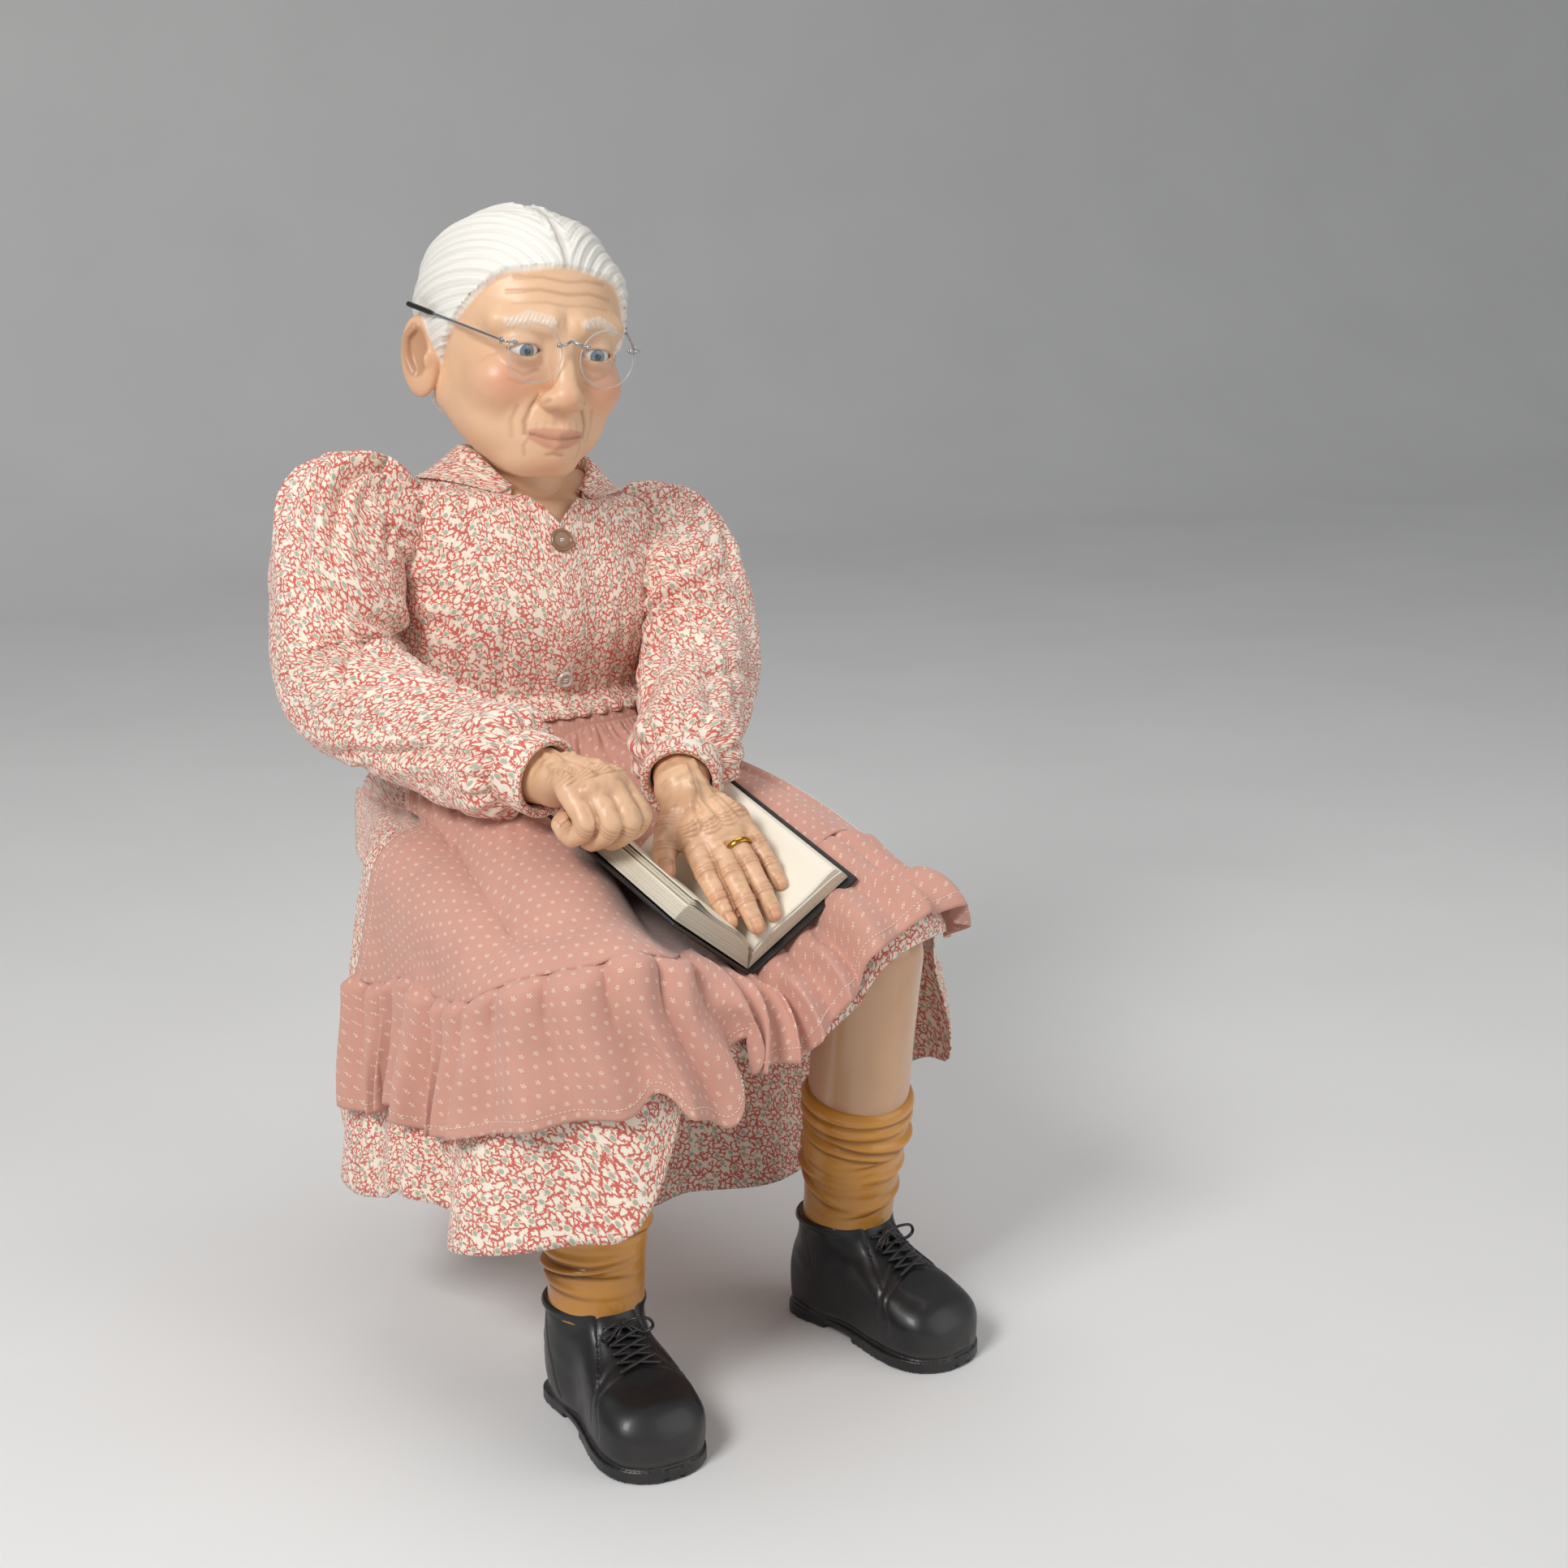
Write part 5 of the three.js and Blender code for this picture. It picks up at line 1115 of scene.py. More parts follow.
def bodice(look):
    """Fitted bodice, gathered at the waist, with darts and a placket."""
    u = np.arange(240)[None] / 240
    around = np.degrees(np.angle(np.exp(2j * math.pi * (u - 0.5))))
    low = torso_at(WAIST_Z - 9)
    high = 1 - (1 - torso_at(286)) * np.maximum(0, 1 - np.abs(around) / 36)
    row = np.linspace(0, 1, 96)[:, None]
    t = low + (high - low) * row
    base = bodice_point(u, t)
    out = normals(base, True)
    z = base[..., 2]
    banded = smooth(-84, -62, around) * (1 - smooth(30, 52, around))
    flare = smooth(160, 143, z) * lerp(4.5, 15.5, banded)
    front = np.maximum(0, -np.cos(2 * math.pi * u)) ** 3
    gather = np.exp(-(z - WAIST_Z) / 20) * 1.2 * np.cos(u * 2 * math.pi * 46)
    drag = mottle(u * 26 + 3, z / 46 + 2, 51) * 1.8 * np.sin(np.pi * row)
    yoke = np.exp(-((t - 0.78) / 0.05) ** 2) * 0.9 * np.cos(u * 2 * math.pi * 60) * (1 - front)
    placket = 1.5 * np.exp(-(np.abs(u - 0.5) / 0.022) ** 8)
    rolled = 2.2 * smooth(0.93, 1, row) * front
    darts = 0
    for spot, top in ((26, 212), (45, 224)):
        dart = 2.2 * crease((np.abs(around) - spot) / 2.2, 1.0)
        darts = darts + dart * smooth(150, 165, z) * (1 - smooth(top, top + 24, z))
    pulls = 0
    rng = np.random.default_rng(53)
    for side in (-1, 1):
        for _ in range(6):
            line = z - rng.uniform(205, 285) - rng.uniform(-0.5, 0.5) * (np.abs(around) - 70)
            pull = rng.uniform(1.5, 3) * crease(line, rng.uniform(4, 7))
            aside = (around * side - rng.uniform(58, 72)) / rng.uniform(14, 22)
            pulls = pulls + pull * np.exp(-aside ** 2)
    lift = FIT + CLOTH / 2 + flare + gather + drag + yoke + placket + rolled
    lift = lift + np.maximum(darts + pulls, -1.4)
    points = base + out * lift[..., None]
    points[..., 0] = np.clip(points[..., 0], -ARMHOLE_X + FIT + 0.6, ARMHOLE_X - FIT - 0.6)
    cloth_piece("Bodice", points, "torso", look, ("bodice",), "calico",
                ring=True)
    sewn = points + normals(points, True) * 0.8
    for column in (115, 125):
        stitched("torso", sewn[2:-8, column])
    stitched("torso", np.concatenate([sewn[3], sewn[3][:1]]))


def breastplate():
    """Thin ceramic plate in the neckline, up to the throat."""
    count = 120
    ring = np.arange(count)[None] / count
    t = np.linspace(torso_at(270), 1, 22)[:, None]
    plate = bodice_point(ring, t, -3.0)
    turn = 2 * math.pi * ring[0]
    radius = NECK["radius"] - 1.6
    throat = np.stack([NECK["x"] + radius * np.sin(turn), NECK["y"] + radius * np.cos(turn),
                       plate[-1, :, 2] + 5], -1)
    rise = np.linspace(0, 1, 9)[1:, None, None]
    climb = lerp(plate[-1], throat, rise) + np.array([0, 0, 1.0]) * (4 * (rise ** 2 - rise))
    rows = eased(np.concatenate([plate, climb]), 2, True)
    # The whole plate is browned a little with the crease colour
    values = {key: np.full(rows.shape[:2], 0.12 if key == "crease" else 0) for key in PAINTS}
    mesh = mesh_from("Breastplate", rows, grid_faces(len(rows), count, True), values)
    thickened(piece("Breastplate", mesh, "torso", finish(painted_bisque), slot="skin_ceramic"), 1.5 * MM)


def collar(look):
    """Collar that stands at the neck and turns down."""
    count = 170
    w = np.linspace(0, 1, count)
    v = np.linspace(0, 1, 36)
    angle = np.radians(lerp(326.0, 34.0, w)) + math.pi
    columns = bodice_point(angle[None] / (2 * math.pi), np.linspace(1, 0.55, 160)[:, None])
    steps = np.linalg.norm(np.diff(columns, axis=0), axis=2)
    far = np.concatenate([np.zeros((1, count)), np.cumsum(steps, 0)])
    inward = np.minimum(w, 1 - w)
    wide = lerp(15, 41, smooth(-0.02, 0.2, inward))
    stand = 0.2
    leaf = np.clip((v - stand) / (1 - stand), 0, 1)
    base = np.array([[np.interp(leaf * wide[i], far[:, i], columns[:, i, k]) for k in range(3)]
                     for i in range(count)]).transpose(2, 0, 1)
    up = np.where(v < stand, v / stand, (1 - leaf) ** 1.6)
    base[..., 2] += up[:, None] * lerp(4, 10, smooth(0, 0.15, inward))[None]
    curl = 1.4 * smooth(0.7, 1, leaf)[:, None] * (1 + 0.6 * np.sin(w * 31))[None]
    lift = np.where(v < stand, 0.6, 3.4)[:, None] + curl
    points = eased(base + normals(eased(base, 3)) * lift[..., None], 2)
    cloth_piece("Collar", points, "torso", look, ("collar",), "calico")
    hemmed(points, -4, 0.8)


class DOLL_OT_bodice(bpy.types.Operator):
    """Fitted bodice and turned-down collar"""
    bl_idname = "doll.bodice"
    bl_label = "Bodice and collar"

    def execute(self, context):
        bodice(finish(calico))
        breastplate()
        collar(finish(calico))
        return {"FINISHED"}


def side_of_torso(side, y, z):
    """How far out the bodice reaches at a side."""
    x = np.full_like(y, side * 100.0)
    for _ in range(3):
        t = np.maximum(0, (z - WAIST_Z) / (SHOULDER_Z - WAIST_Z))
        level = z + (x - LEAN * t) * math.tan(math.radians(SHOULDER_TILT)) * t
        row = through(TORSO, torso_at(np.minimum(level, 306)))
        reach = np.sqrt(np.maximum(0.05, 1 - ((y - row[..., 3]) / (row[..., 2] + 2)) ** 2))
        x = side * (row[..., 1] + 2) * reach + LEAN * t
    return x


def sleeve_path(plan):
    """Middle line of a sleeve with its radius, from armhole to cuff, and the frame around it."""
    side = plan["side"]
    s, e, w = (np.array(plan[k], float) for k in ("shoulder", "elbow", "wrist"))
    down, fore = unit(e - s), unit(w - e)
    cuff = w - fore * (CUFF["length"] / 2)
    keys = [(side * 101, 34, lerp(s[2], 258, 0.6), 34), (side * 120, 35, lerp(s[2], 262, 0.35), 44),
            (*(s - (0, 0, 3)), 47), (*lerp(s, e, 0.5), 51), (*(e - down * 8 + fore * 6), 46),
            (*lerp(e, w, 0.35), 41), (*lerp(e, w, 0.68), 37.5), (*(cuff - fore * 7), 36.5),
            (*(cuff + fore * 2), 23)]
    fine = through(keys, np.linspace(0, 1, 900))
    along = np.concatenate([[0], np.cumsum(np.linalg.norm(np.diff(fine[:, :3], axis=0), axis=1))])
    even = np.linspace(0, along[-1], 140)
    path = np.stack([np.interp(even, along, fine[:, i]) for i in range(4)], -1)
    path = eased_down(path, 3)
    way = unit(np.gradient(path[:, :3], axis=0))
    up = np.array([0.0, 0, 1])
    frames = []
    for k in way:
        up = unit(up - k * (up @ k))
        frames.append((up, np.cross(k, up)))
    return path, even, np.array(frames), e, down, fore


def sleeve(name, plan):
    """Puffed sleeve from the armhole to the cuff, its cap split off as a piece of its own."""
    side, seed = plan["side"], plan["seed"]
    path, run, frames, e, down, fore = sleeve_path(plan)
    turn = math.pi + turns(150)[None]
    ring = round_about(turn, frames[:, None, 0], frames[:, None, 1])
    crook = unit(fore - down * (fore @ down))
    middle = run[np.argmin(np.linalg.norm(path[:, :3] - e, axis=1))]
    a = (run - middle)[:, None]
    end = run[-1] - run[:, None]
    start = run[:, None]
    high = 0.5 + 0.5 * np.cos(turn)
    drift = 1.5 * mottle(np.cos(turn) * 2 + 5, np.sin(turn) * 2 + 5 + start / 30, seed)
    top = np.exp(-start / 34) * smooth(0, 9, start) * (0.6 + high) * 3.2 * np.cos(turn * 17 + drift)
    drift = 1.4 * mottle(np.cos(turn) * 2 + 5, np.sin(turn) * 2 + 5 + end / 22, seed + 1)
    wristed = np.exp(-end / 20) * smooth(0, 7, end) * 4.2 * np.cos(turn * 15 + drift)
    wristed = wristed + 4 * np.exp(-((end - 20) / 13) ** 2)
    inner = np.arctan2(frames[:, 1] @ crook, frames[:, 0] @ crook)[:, None]
    off = turned_by(turn, inner)
    rng = np.random.default_rng(seed)
    folds = 0
    for spot in np.linspace(0, 2 * math.pi, 9)[:-1]:
        line = turned_by(turn, spot + rng.uniform(-0.25, 0.25) + rng.uniform(-0.006, 0.006) * start)
        reach = rng.uniform(80, 150)
        fold = rng.uniform(4, 8) * crease(line, rng.uniform(0.08, 0.15))
        folds = folds + fold * smooth(4, 24, start) * (1 - smooth(0.45 * reach, reach, start))
    for spot in (-46, -27, -9, 8, 26, 45):
        line = a - spot - rng.uniform(-3, 3) - rng.uniform(-14, 14) * off - 0.25 * spot * off ** 2
        fold = rng.uniform(6, 11) * crease(line, rng.uniform(4, 7))
        folds = folds + fold * np.exp(-(off / 1.15) ** 4)
    for spot in np.linspace(0, 2 * math.pi, 8)[:-1]:
        line = turned_by(turn, spot + rng.uniform(-0.3, 0.3) + rng.uniform(-0.016, 0.016) * (a - 60))
        fold = rng.uniform(2.5, 5) * crease(line, rng.uniform(0.11, 0.19))
        folds = folds + fold * smooth(25, 70, a) * smooth(2, 30, end)
    long = 4 * mottle(np.cos(turn) * 2.2 + 4, np.sin(turn) * 2.2 + 4 + start / 90, seed + 3)
    small = 1.3 * mottle(start / 15 + 2 * np.cos(turn), 2.4 * np.sin(turn) + start / 40 + 9, seed + 4)
    sag = 4 * np.maximum(0, -ring[..., 2]) * smooth(40, 90, start) * smooth(10, 70, end)
    radius = path[:, None, 3] + top + wristed + np.clip(folds, -12, 7) + sag
    radius = radius + (long + small) * smooth(6, 50, start) * smooth(0, 30, end)
    points = path[:, None, :3] + ring * radius[..., None]
    sewn = 1 - smooth(0, 30, start)
    armhole = side_of_torso(side, points[..., 1], points[..., 2]) + side * 0.8
    points[..., 0] = lerp(points[..., 0], armhole, sewn)
    points = eased(points, 1, True)
    flat = flat_grid(np.concatenate([points, points[:, :1]], 1))
    cut = int(np.searchsorted(run, 40))
    cap = cloth_piece(f"Sleeve_cap_{name}", points[:cut + 1], None, finish(calico), (), "calico",
                      ring=True, flat=flat[:cut + 1])
    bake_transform(cap)
    made = cloth_piece(f"Sleeve_{name}", points[cut:], None, finish(calico),
                       (f"{name}_upper_sleeve", f"{name}_lower_sleeve"), "calico",
                       ring=True, flat=flat[cut:])
    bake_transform(made)


def cuff(name, plan):
    """Turned band round a wrist."""
    w = np.array(plan["wrist"], float)
    fore = unit(w - np.array(plan["elbow"], float))
    base = w - fore * (CUFF["length"] / 2)
    n = unit(np.cross(fore, (0, 0, 1)))
    turn = turns(120)[None]
    ring = round_about(turn, n, np.cross(fore, n))
    steps = through(CUFF["profile"], np.linspace(0, 1, 44))
    out, along = steps[:, :1], steps[:, 1:]
    ruck = 0.5 * mottle(turn * 3, along / 9, plan["seed"] + 6) * (out > 26.5)
    points = base + fore * along[..., None] + ring * (out + ruck)[..., None]
    wide, long = CUFF["flat"]
    flat = np.broadcast_arrays(np.linspace(0, wide, 121)[None], np.linspace(0, long, 44)[:, None])
    cloth_piece(f"Cuff_{name}", points, f"{name}_forearm", finish(calico), (f"{name}_cuff",), "calico",
                ring=True, flat=np.stack(flat, -1))
    for height in (3.5, 25):
        loop = base + fore * height + ring[0] * 29.5
        stitched(f"{name}_forearm", np.concatenate([loop, loop[:1]]))


class DOLL_OT_sleeves(bpy.types.Operator):
    """Puffed sleeves set into the armholes, in one piece over each elbow, with banded cuffs"""
    bl_idname = "doll.sleeves"
    bl_label = "Sleeves and cuffs"

    def execute(self, context):
        for name, plan in ARMS.items():
            sleeve(name, plan)
            cuff(name, plan)
        return {"FINISHED"}


# Painted ceramic

HEAD_TURNED = np.array(Euler([math.radians(a) for a in HEAD_TURN], "XYZ").to_matrix())


def from_head(points):
    """Points of the head's frame in the doll's."""
    return np.asarray(points, float) @ HEAD_TURNED.T + np.array(HEAD_AT, float)


def into_head(points):
    """Points of the doll's frame in the head's."""
    return (np.asarray(points, float) - np.array(HEAD_AT, float)) @ HEAD_TURNED


BUN = ((0, 100, -6), (29, 21, 27))
EAR_AT = np.array((77, 14, -20.0))
EAR_TURNED = np.array(Euler((-0.2, 0, -0.5), "XYZ").to_matrix())


def eye_opening(p):
    """Almond between the lids, in front of each eye."""
    x = (p[..., 0] - EYE["x"]) / 13.2
    bow = np.maximum(0, 1 - x * x)
    z = p[..., 2] - EYE["z"]
    almond = np.maximum(z - 5.2 * bow ** 0.8, -z - 4.0 * bow ** 0.9)
    return np.maximum(np.maximum(almond, 13 * (np.abs(x) - 1)), p[..., 1] - EYE["y"] + 2)


def hair_cap(p):
    """Hair drawn back over the skull, down to the hairline."""
    line = -15 - 0.8 * p[..., 1] - 0.6 * p[..., 2]
    temple = 5 * np.exp(-((p[..., 0] - 46) / 14) ** 2)
    return np.maximum(egg(p, (0, 10, 24), (80, 96, 77)), line + temple)


def nape_hair(p):
    """Hair down the nape."""
    return np.maximum(egg(p, (0, 32, -32), (64, 54, 46)), 16 - p[..., 1] + 0.2 * (p[..., 2] + 40))


def head_distance(q):
    """Head with moulded hair, in its own frame, the same on both sides."""
    p = np.stack([np.abs(q[..., 0]), q[..., 1], q[..., 2]], -1)
    d = egg(p, (0, 8, 22), (73, 89, 76))
    d = melt(d, egg(p, (0, -26, -36), (61, 54, 56)), 22)
    d = melt(d, rod(p, (47, 4, -44), (14, -56, -78), 17, 17), 18)
    d = melt(d, egg(p, (0, -66, -77), (21, 17, 15)), 12)
    d = melt(d, egg(p, (33, -44, -56), (18, 18, 18)), 14)
    d = melt(d, egg(p, (36, -56, -24), (24, 24, 22)), 14)
    d = melt(d, rod(p, (12, -80, 22), (46, -62, 20), 9, 9), 12)
    d = dent(d, egg(p, (EYE["x"], -94, 1), (19, 17, 13)), 9)
    d = melt(d, egg(p, (EYE["x"], EYE["y"], EYE["z"]), (16.6, 15.4, 15.2)), 4)
    d = melt(d, rod(p, (0, -79, 12), (0, -95, -26), 7.5, 9.5), 10)
    d = melt(d, egg(p, (0, -97, -29), (11.5, 10, 9.5)), 6)
    d = melt(d, egg(p, (11, -91, -32), (7, 9, 7)), 5)
    d = dent(d, egg(p, (5.5, -96, -42), (3.2, 5, 4)), 2)
    d = melt(d, egg(p, (0, -66, -56), (30, 23, 25)), 12)
    d = melt(d, rod(p, (0, -87, -57), (19, -80, -58), 4.4, 2.2), 3.4)
    d = melt(d, rod(p, (0, -86, -65), (16, -80, -61), 5.2, 2.4), 3.4)
    d = dent(d, rod(p, (0, -93, -61.2), (19.5, -84.5, -59.2), 1.7, 1.1), 1.6)
    d = dent(d, egg(p, (0, -92, -47), (3, 5, 6)), 4)
    d = melt(d, rod(p, (0, -26, -80), (0, 14, -84), 19, 24), 16)
    d = dent(d, eye_opening(p), 1.4)
    d = melt(d, np.maximum(hair_cap(p), -62 - p[..., 2]), 7)
    d = melt(d, nape_hair(p), 10)
    d = melt(d, egg(p, *BUN), 4)
    return melt(d, ear_distance(p), 4)


def ear_distance(p):
    """Ear with a rolled rim, a hollow and a lobe."""
    at = (p - EAR_AT) @ EAR_TURNED
    shell = egg(at, (0, 0, 0), (8, 18, 31))
    shell = dent(shell, egg(at, (8, -1, 5), (6.5, 12.5, 21)), 3)
    fold = chain(at, [(5, -1, 22, 2.6), (5, 8, 14, 2.8), (4.5, 9, 0, 2.8), (4, 4, -12, 3)])
    nub = egg(at, (4, -11, -3), (4.5, 4, 6))
    return melt(melt(shell, fold, 3), nub, 3)


def doll_head(points):
    """Head, and its neck down to the seat, in the doll's frame."""
    d = head_distance(into_head(points))
    nape = from_head((0, 22, -50))
    z = points[..., 2]
    k = np.clip((z - NECK["seat"] - 22) / (nape[2] - NECK["seat"] - 22), 0, 1)
    x = points[..., 0] - lerp(NECK["x"], nape[0], k)
    y = points[..., 1] - lerp(NECK["y"], nape[1], k)
    column = np.maximum(np.hypot(x, y) - NECK["radius"] + 2.5 * np.sin(np.pi * k), NECK["seat"] - z)
    return melt(d, np.maximum(column, z - nape[2] - 6), 9)


# Lines of age in the face, drawn on its front by rule: across the brow, beside the eyes, by the mouth
FACE_LINES = [
    ([(0, 54), (18, 55.5), (36, 53)], 1.2, 0.8), ([(0, 45), (20, 46.5), (42, 42)], 1.3, 0.9),
    ([(0, 36.5), (16, 38), (38, 35)], 1.1, 0.6), ([(7, 27), (8, 21)], 1.2, 0.35),
    ([(45, 4), (52, 9), (57, 15)], 1.0, 0.8), ([(46, 1), (54, 2), (60, 4)], 1.0, 0.8),
    ([(45, -2), (52, -6), (57, -11)], 1.0, 0.7), ([(18, -12), (28, -16), (39, -12)], 1.3, 0.7),
    ([(20, -19), (30, -23), (40, -20)], 1.2, 0.4), ([(15, -31), (21, -40), (25, -51), (24, -60)], 1.6, 1.5),
    ([(30, -40), (33, -52), (31, -64)], 1.4, 0.7), ([(21, -63), (23, -70), (21, -77)], 1.2, 0.8),
    ([(6, -74.5), (0, -73.5), (-6, -74.5)], 1.5, 0.8), ([(4, -49), (4.5, -53)], 0.8, 0.4),
    ([(10, -49), (11, -54)], 0.8, 0.4), ([(16, -50), (17, -55)], 0.8, 0.35),
]


def painted_head():
    """Head with lines, brows, lips and strands of hair."""
    points, faces, out = carved(doll_head, (-100, -118, NECK["seat"] - 4), (92, 136, 540), 2.5)
    p = into_head(points)
    q = np.stack([np.abs(p[:, 0]), p[:, 1], p[:, 2]], -1)
    facing = np.clip(-(out @ HEAD_TURNED)[:, 1], 0, 1) * smooth(-30, -48, q[:, 1])
    front = q[:, [0, 2]]
    # The face's lines are carved in and browned by their depth: painted shade in the wrinkles
    hollow = facing * sum(depth * np.exp(-stroke(front, line, width) ** 2)
                          for line, width, depth in FACE_LINES)
    crease = np.clip(0.42 * hollow, 0, 0.6)
    hair = np.maximum(1 - smooth(0.2, 3.4, np.maximum(hair_cap(q), -62 - q[:, 2])),
                      1 - smooth(0, 2, np.minimum(egg(q, *BUN), nape_hair(q))))
    ear = 1 - smooth(0.5, 2.5, ear_distance(q))
    # Painted shade in the hollow of each ear
    ear_hollow_shade = 1 - smooth(-1, 3, egg((q - EAR_AT) @ EAR_TURNED, (7, -1, 5), (7, 11, 20)))
    behind = smooth(14, 22, q[:, 1]) * smooth(-74, -68, q[:, 2])
    hair = np.maximum(hair, behind) * (1 - ear)
    around = np.arctan2(q[:, 0], q[:, 2] + 6)
    flow = around - 0.95 * (q[:, 1] + 70) / 150 * np.minimum(1, q[:, 0] / 10 + 0.2)
    lock = np.sin(flow * 58 + 2.2 * mottle(flow * 6 + 8, q[:, 1] / 45 + 5, 81))
    thin = np.sin(flow * 150 + 2.5 * mottle(flow * 14 + 3, q[:, 1] / 30 + 5, 82))
    part = np.exp(-(q[:, 0] / 2.4) ** 2) * smooth(18, 60, q[:, 2]) * (1 - smooth(30, 60, q[:, 1]))
    at_bun = 1 - smooth(0, 8, egg(q, *BUN))
    turn = np.arctan2(p[:, 0], p[:, 2] + 6)
    coil = np.sin(np.hypot(p[:, 0], p[:, 2] + 6) / 7 * 2 * math.pi + turn * 2 + 0.5 * np.sin(turn * 9))
    strands = lerp(0.5 * lock + 0.35 * thin, 1.1 * coil + 0.35 * np.sin(turn * 40), at_bun)
    wave = 1.3 * np.sin(flow * 11 + 1.5) * (1 - at_bun)
    brow = 1 - smooth(0.7, 1.3, stroke(front, [(14, 25.5), (28, 27.5), (42, 21)], 3.6))
    brow = brow * facing * (1 - hair)
    tuft = brow * (0.9 + 0.6 * np.sin(q[:, 0] * 2.2 + q[:, 2] * 1.1))
    move = hair * (strands + wave - 2.4 * part) - hollow * (1 - hair) + tuft
    points = points + out * move[:, None]
    lips = [stroke(front, line, width) for line, width in (([(0, -57), (10, -57), (19, -58.6)], 4.6),
                                                           ([(0, -65), (9, -64.2), (17, -60.6)], 5.2))]
    lip = (1 - smooth(0.55, 1.0, np.minimum(*lips))) * facing
    seam = np.exp(-stroke(front, [(0, -61.2), (10, -60.8), (20, -59.2)], 1.2) ** 2) * facing
    rim = np.exp(-(np.abs(eye_opening(q) - 0.4) / 1.1) ** 2) * facing * (q[:, 1] < -70)
    blush = 0.2 * ear
    # cheeks, nose and chin: how rosy, where and how wide across and up, and on what side
    for much, x, wide, z, high, where in ((0.62, 40, 19, -22, 17, smooth(-20, -45, q[:, 1])),
                                          (0.4, 0, 11, -30, 11, facing), (0.3, 0, 16, -82, 9, facing)):
        away = ((q[:, 0] - x) / wide) ** 2 + ((q[:, 2] - z) / high) ** 2
        blush = blush + much * np.exp(-away) * where
    # The lip line and the eye rims are painted darker; the ear's hollow gets painted shade
    crease = crease + 0.75 * seam + 0.4 * rim + 0.45 * ear * ear_hollow_shade
    # groove: a little grey over the hair and on the brows, and painted shade in the valleys between the locks
    # and along the part
    values = {"blush": blush, "lip": 0.7 * lip, "crease": np.clip(crease, 0, 0.8),
              "hair": np.clip(hair + 0.6 * brow, 0, 1),
              "groove": np.clip(hair * (0.10 - 0.2 * strands) + 0.6 * part + 0.3 * brow, 0, 0.6)}
    mesh = mesh_from("Head", points, faces, values)
    piece("Head", mesh, "head", finish(painted_bisque), ("head",), "skin_ceramic")


def eyes(paint):
    """Glass eyes with painted irises."""
    look, tree, shader = blank("Painted glass eye", roughness=0.06, coat_weight=1.0, coat_roughness=0.03)
    far = node(tree, "ShaderNodeAttribute", attribute_name="from_pupil").outputs["Fac"]
    edge = node(tree, "ShaderNodeMapRange", {0: far, 1: 5.6, 2: 6.3}).outputs[0]
    pupil = node(tree, "ShaderNodeMapRange", {0: far, 1: 2.3, 2: 2.7}).outputs[0]
    ray = node(tree, "ShaderNodeTexNoise", {"Scale": 420, "Detail": 2}).outputs[0]
    tone = rgba(paint.iris)
    for mix in ({0: ray, 7: rgba(linear("#43525c"))}, {0: pupil, 6: rgba(linear("#0b0b0d"))},
                {0: edge, 7: rgba(linear("#ece7df"))}):
        mix = {6: tone, 7: tone, **mix}
        tone = node(tree, "ShaderNodeMix", mix, data_type="RGBA").outputs[2]
    plug(tree, shader, {"Base Color": tone})
    for name, side in SIDES:
        lat, lon = np.linspace(0, math.pi, 40)[:, None], turns(64)[None]
        r = EYE["radius"] + 0.7 * np.exp(-(lat / 0.45) ** 2) - 0.05
        x, z = r * np.sin(lat) * np.cos(lon), r * np.sin(lat) * np.sin(lon)
        ball = np.stack([x, -r * np.cos(lat) + 0 * lon, z], -1)
        down = np.array(Euler((math.radians(3), 0, math.radians(-2 * side)), "XYZ").to_matrix())
        ball = ball @ down.T + np.array((side * EYE["x"], EYE["y"], EYE["z"]))
        mesh = closed_loft(f"Eye_{name}", from_head(ball), {"from_pupil": EYE["radius"] * lat + 0 * lon})
        piece(f"Eye_{name}", mesh, "head", look, (f"{name}_eye",), "eye")


class DOLL_OT_head(bpy.types.Operator):
    """Painted head with moulded hair, and its eyes"""
    bl_idname = "doll.head"
    bl_label = "Head"

    def execute(self, context):
        painted_head()
        eyes(context.scene.doll_ceramic)
        return {"FINISHED"}


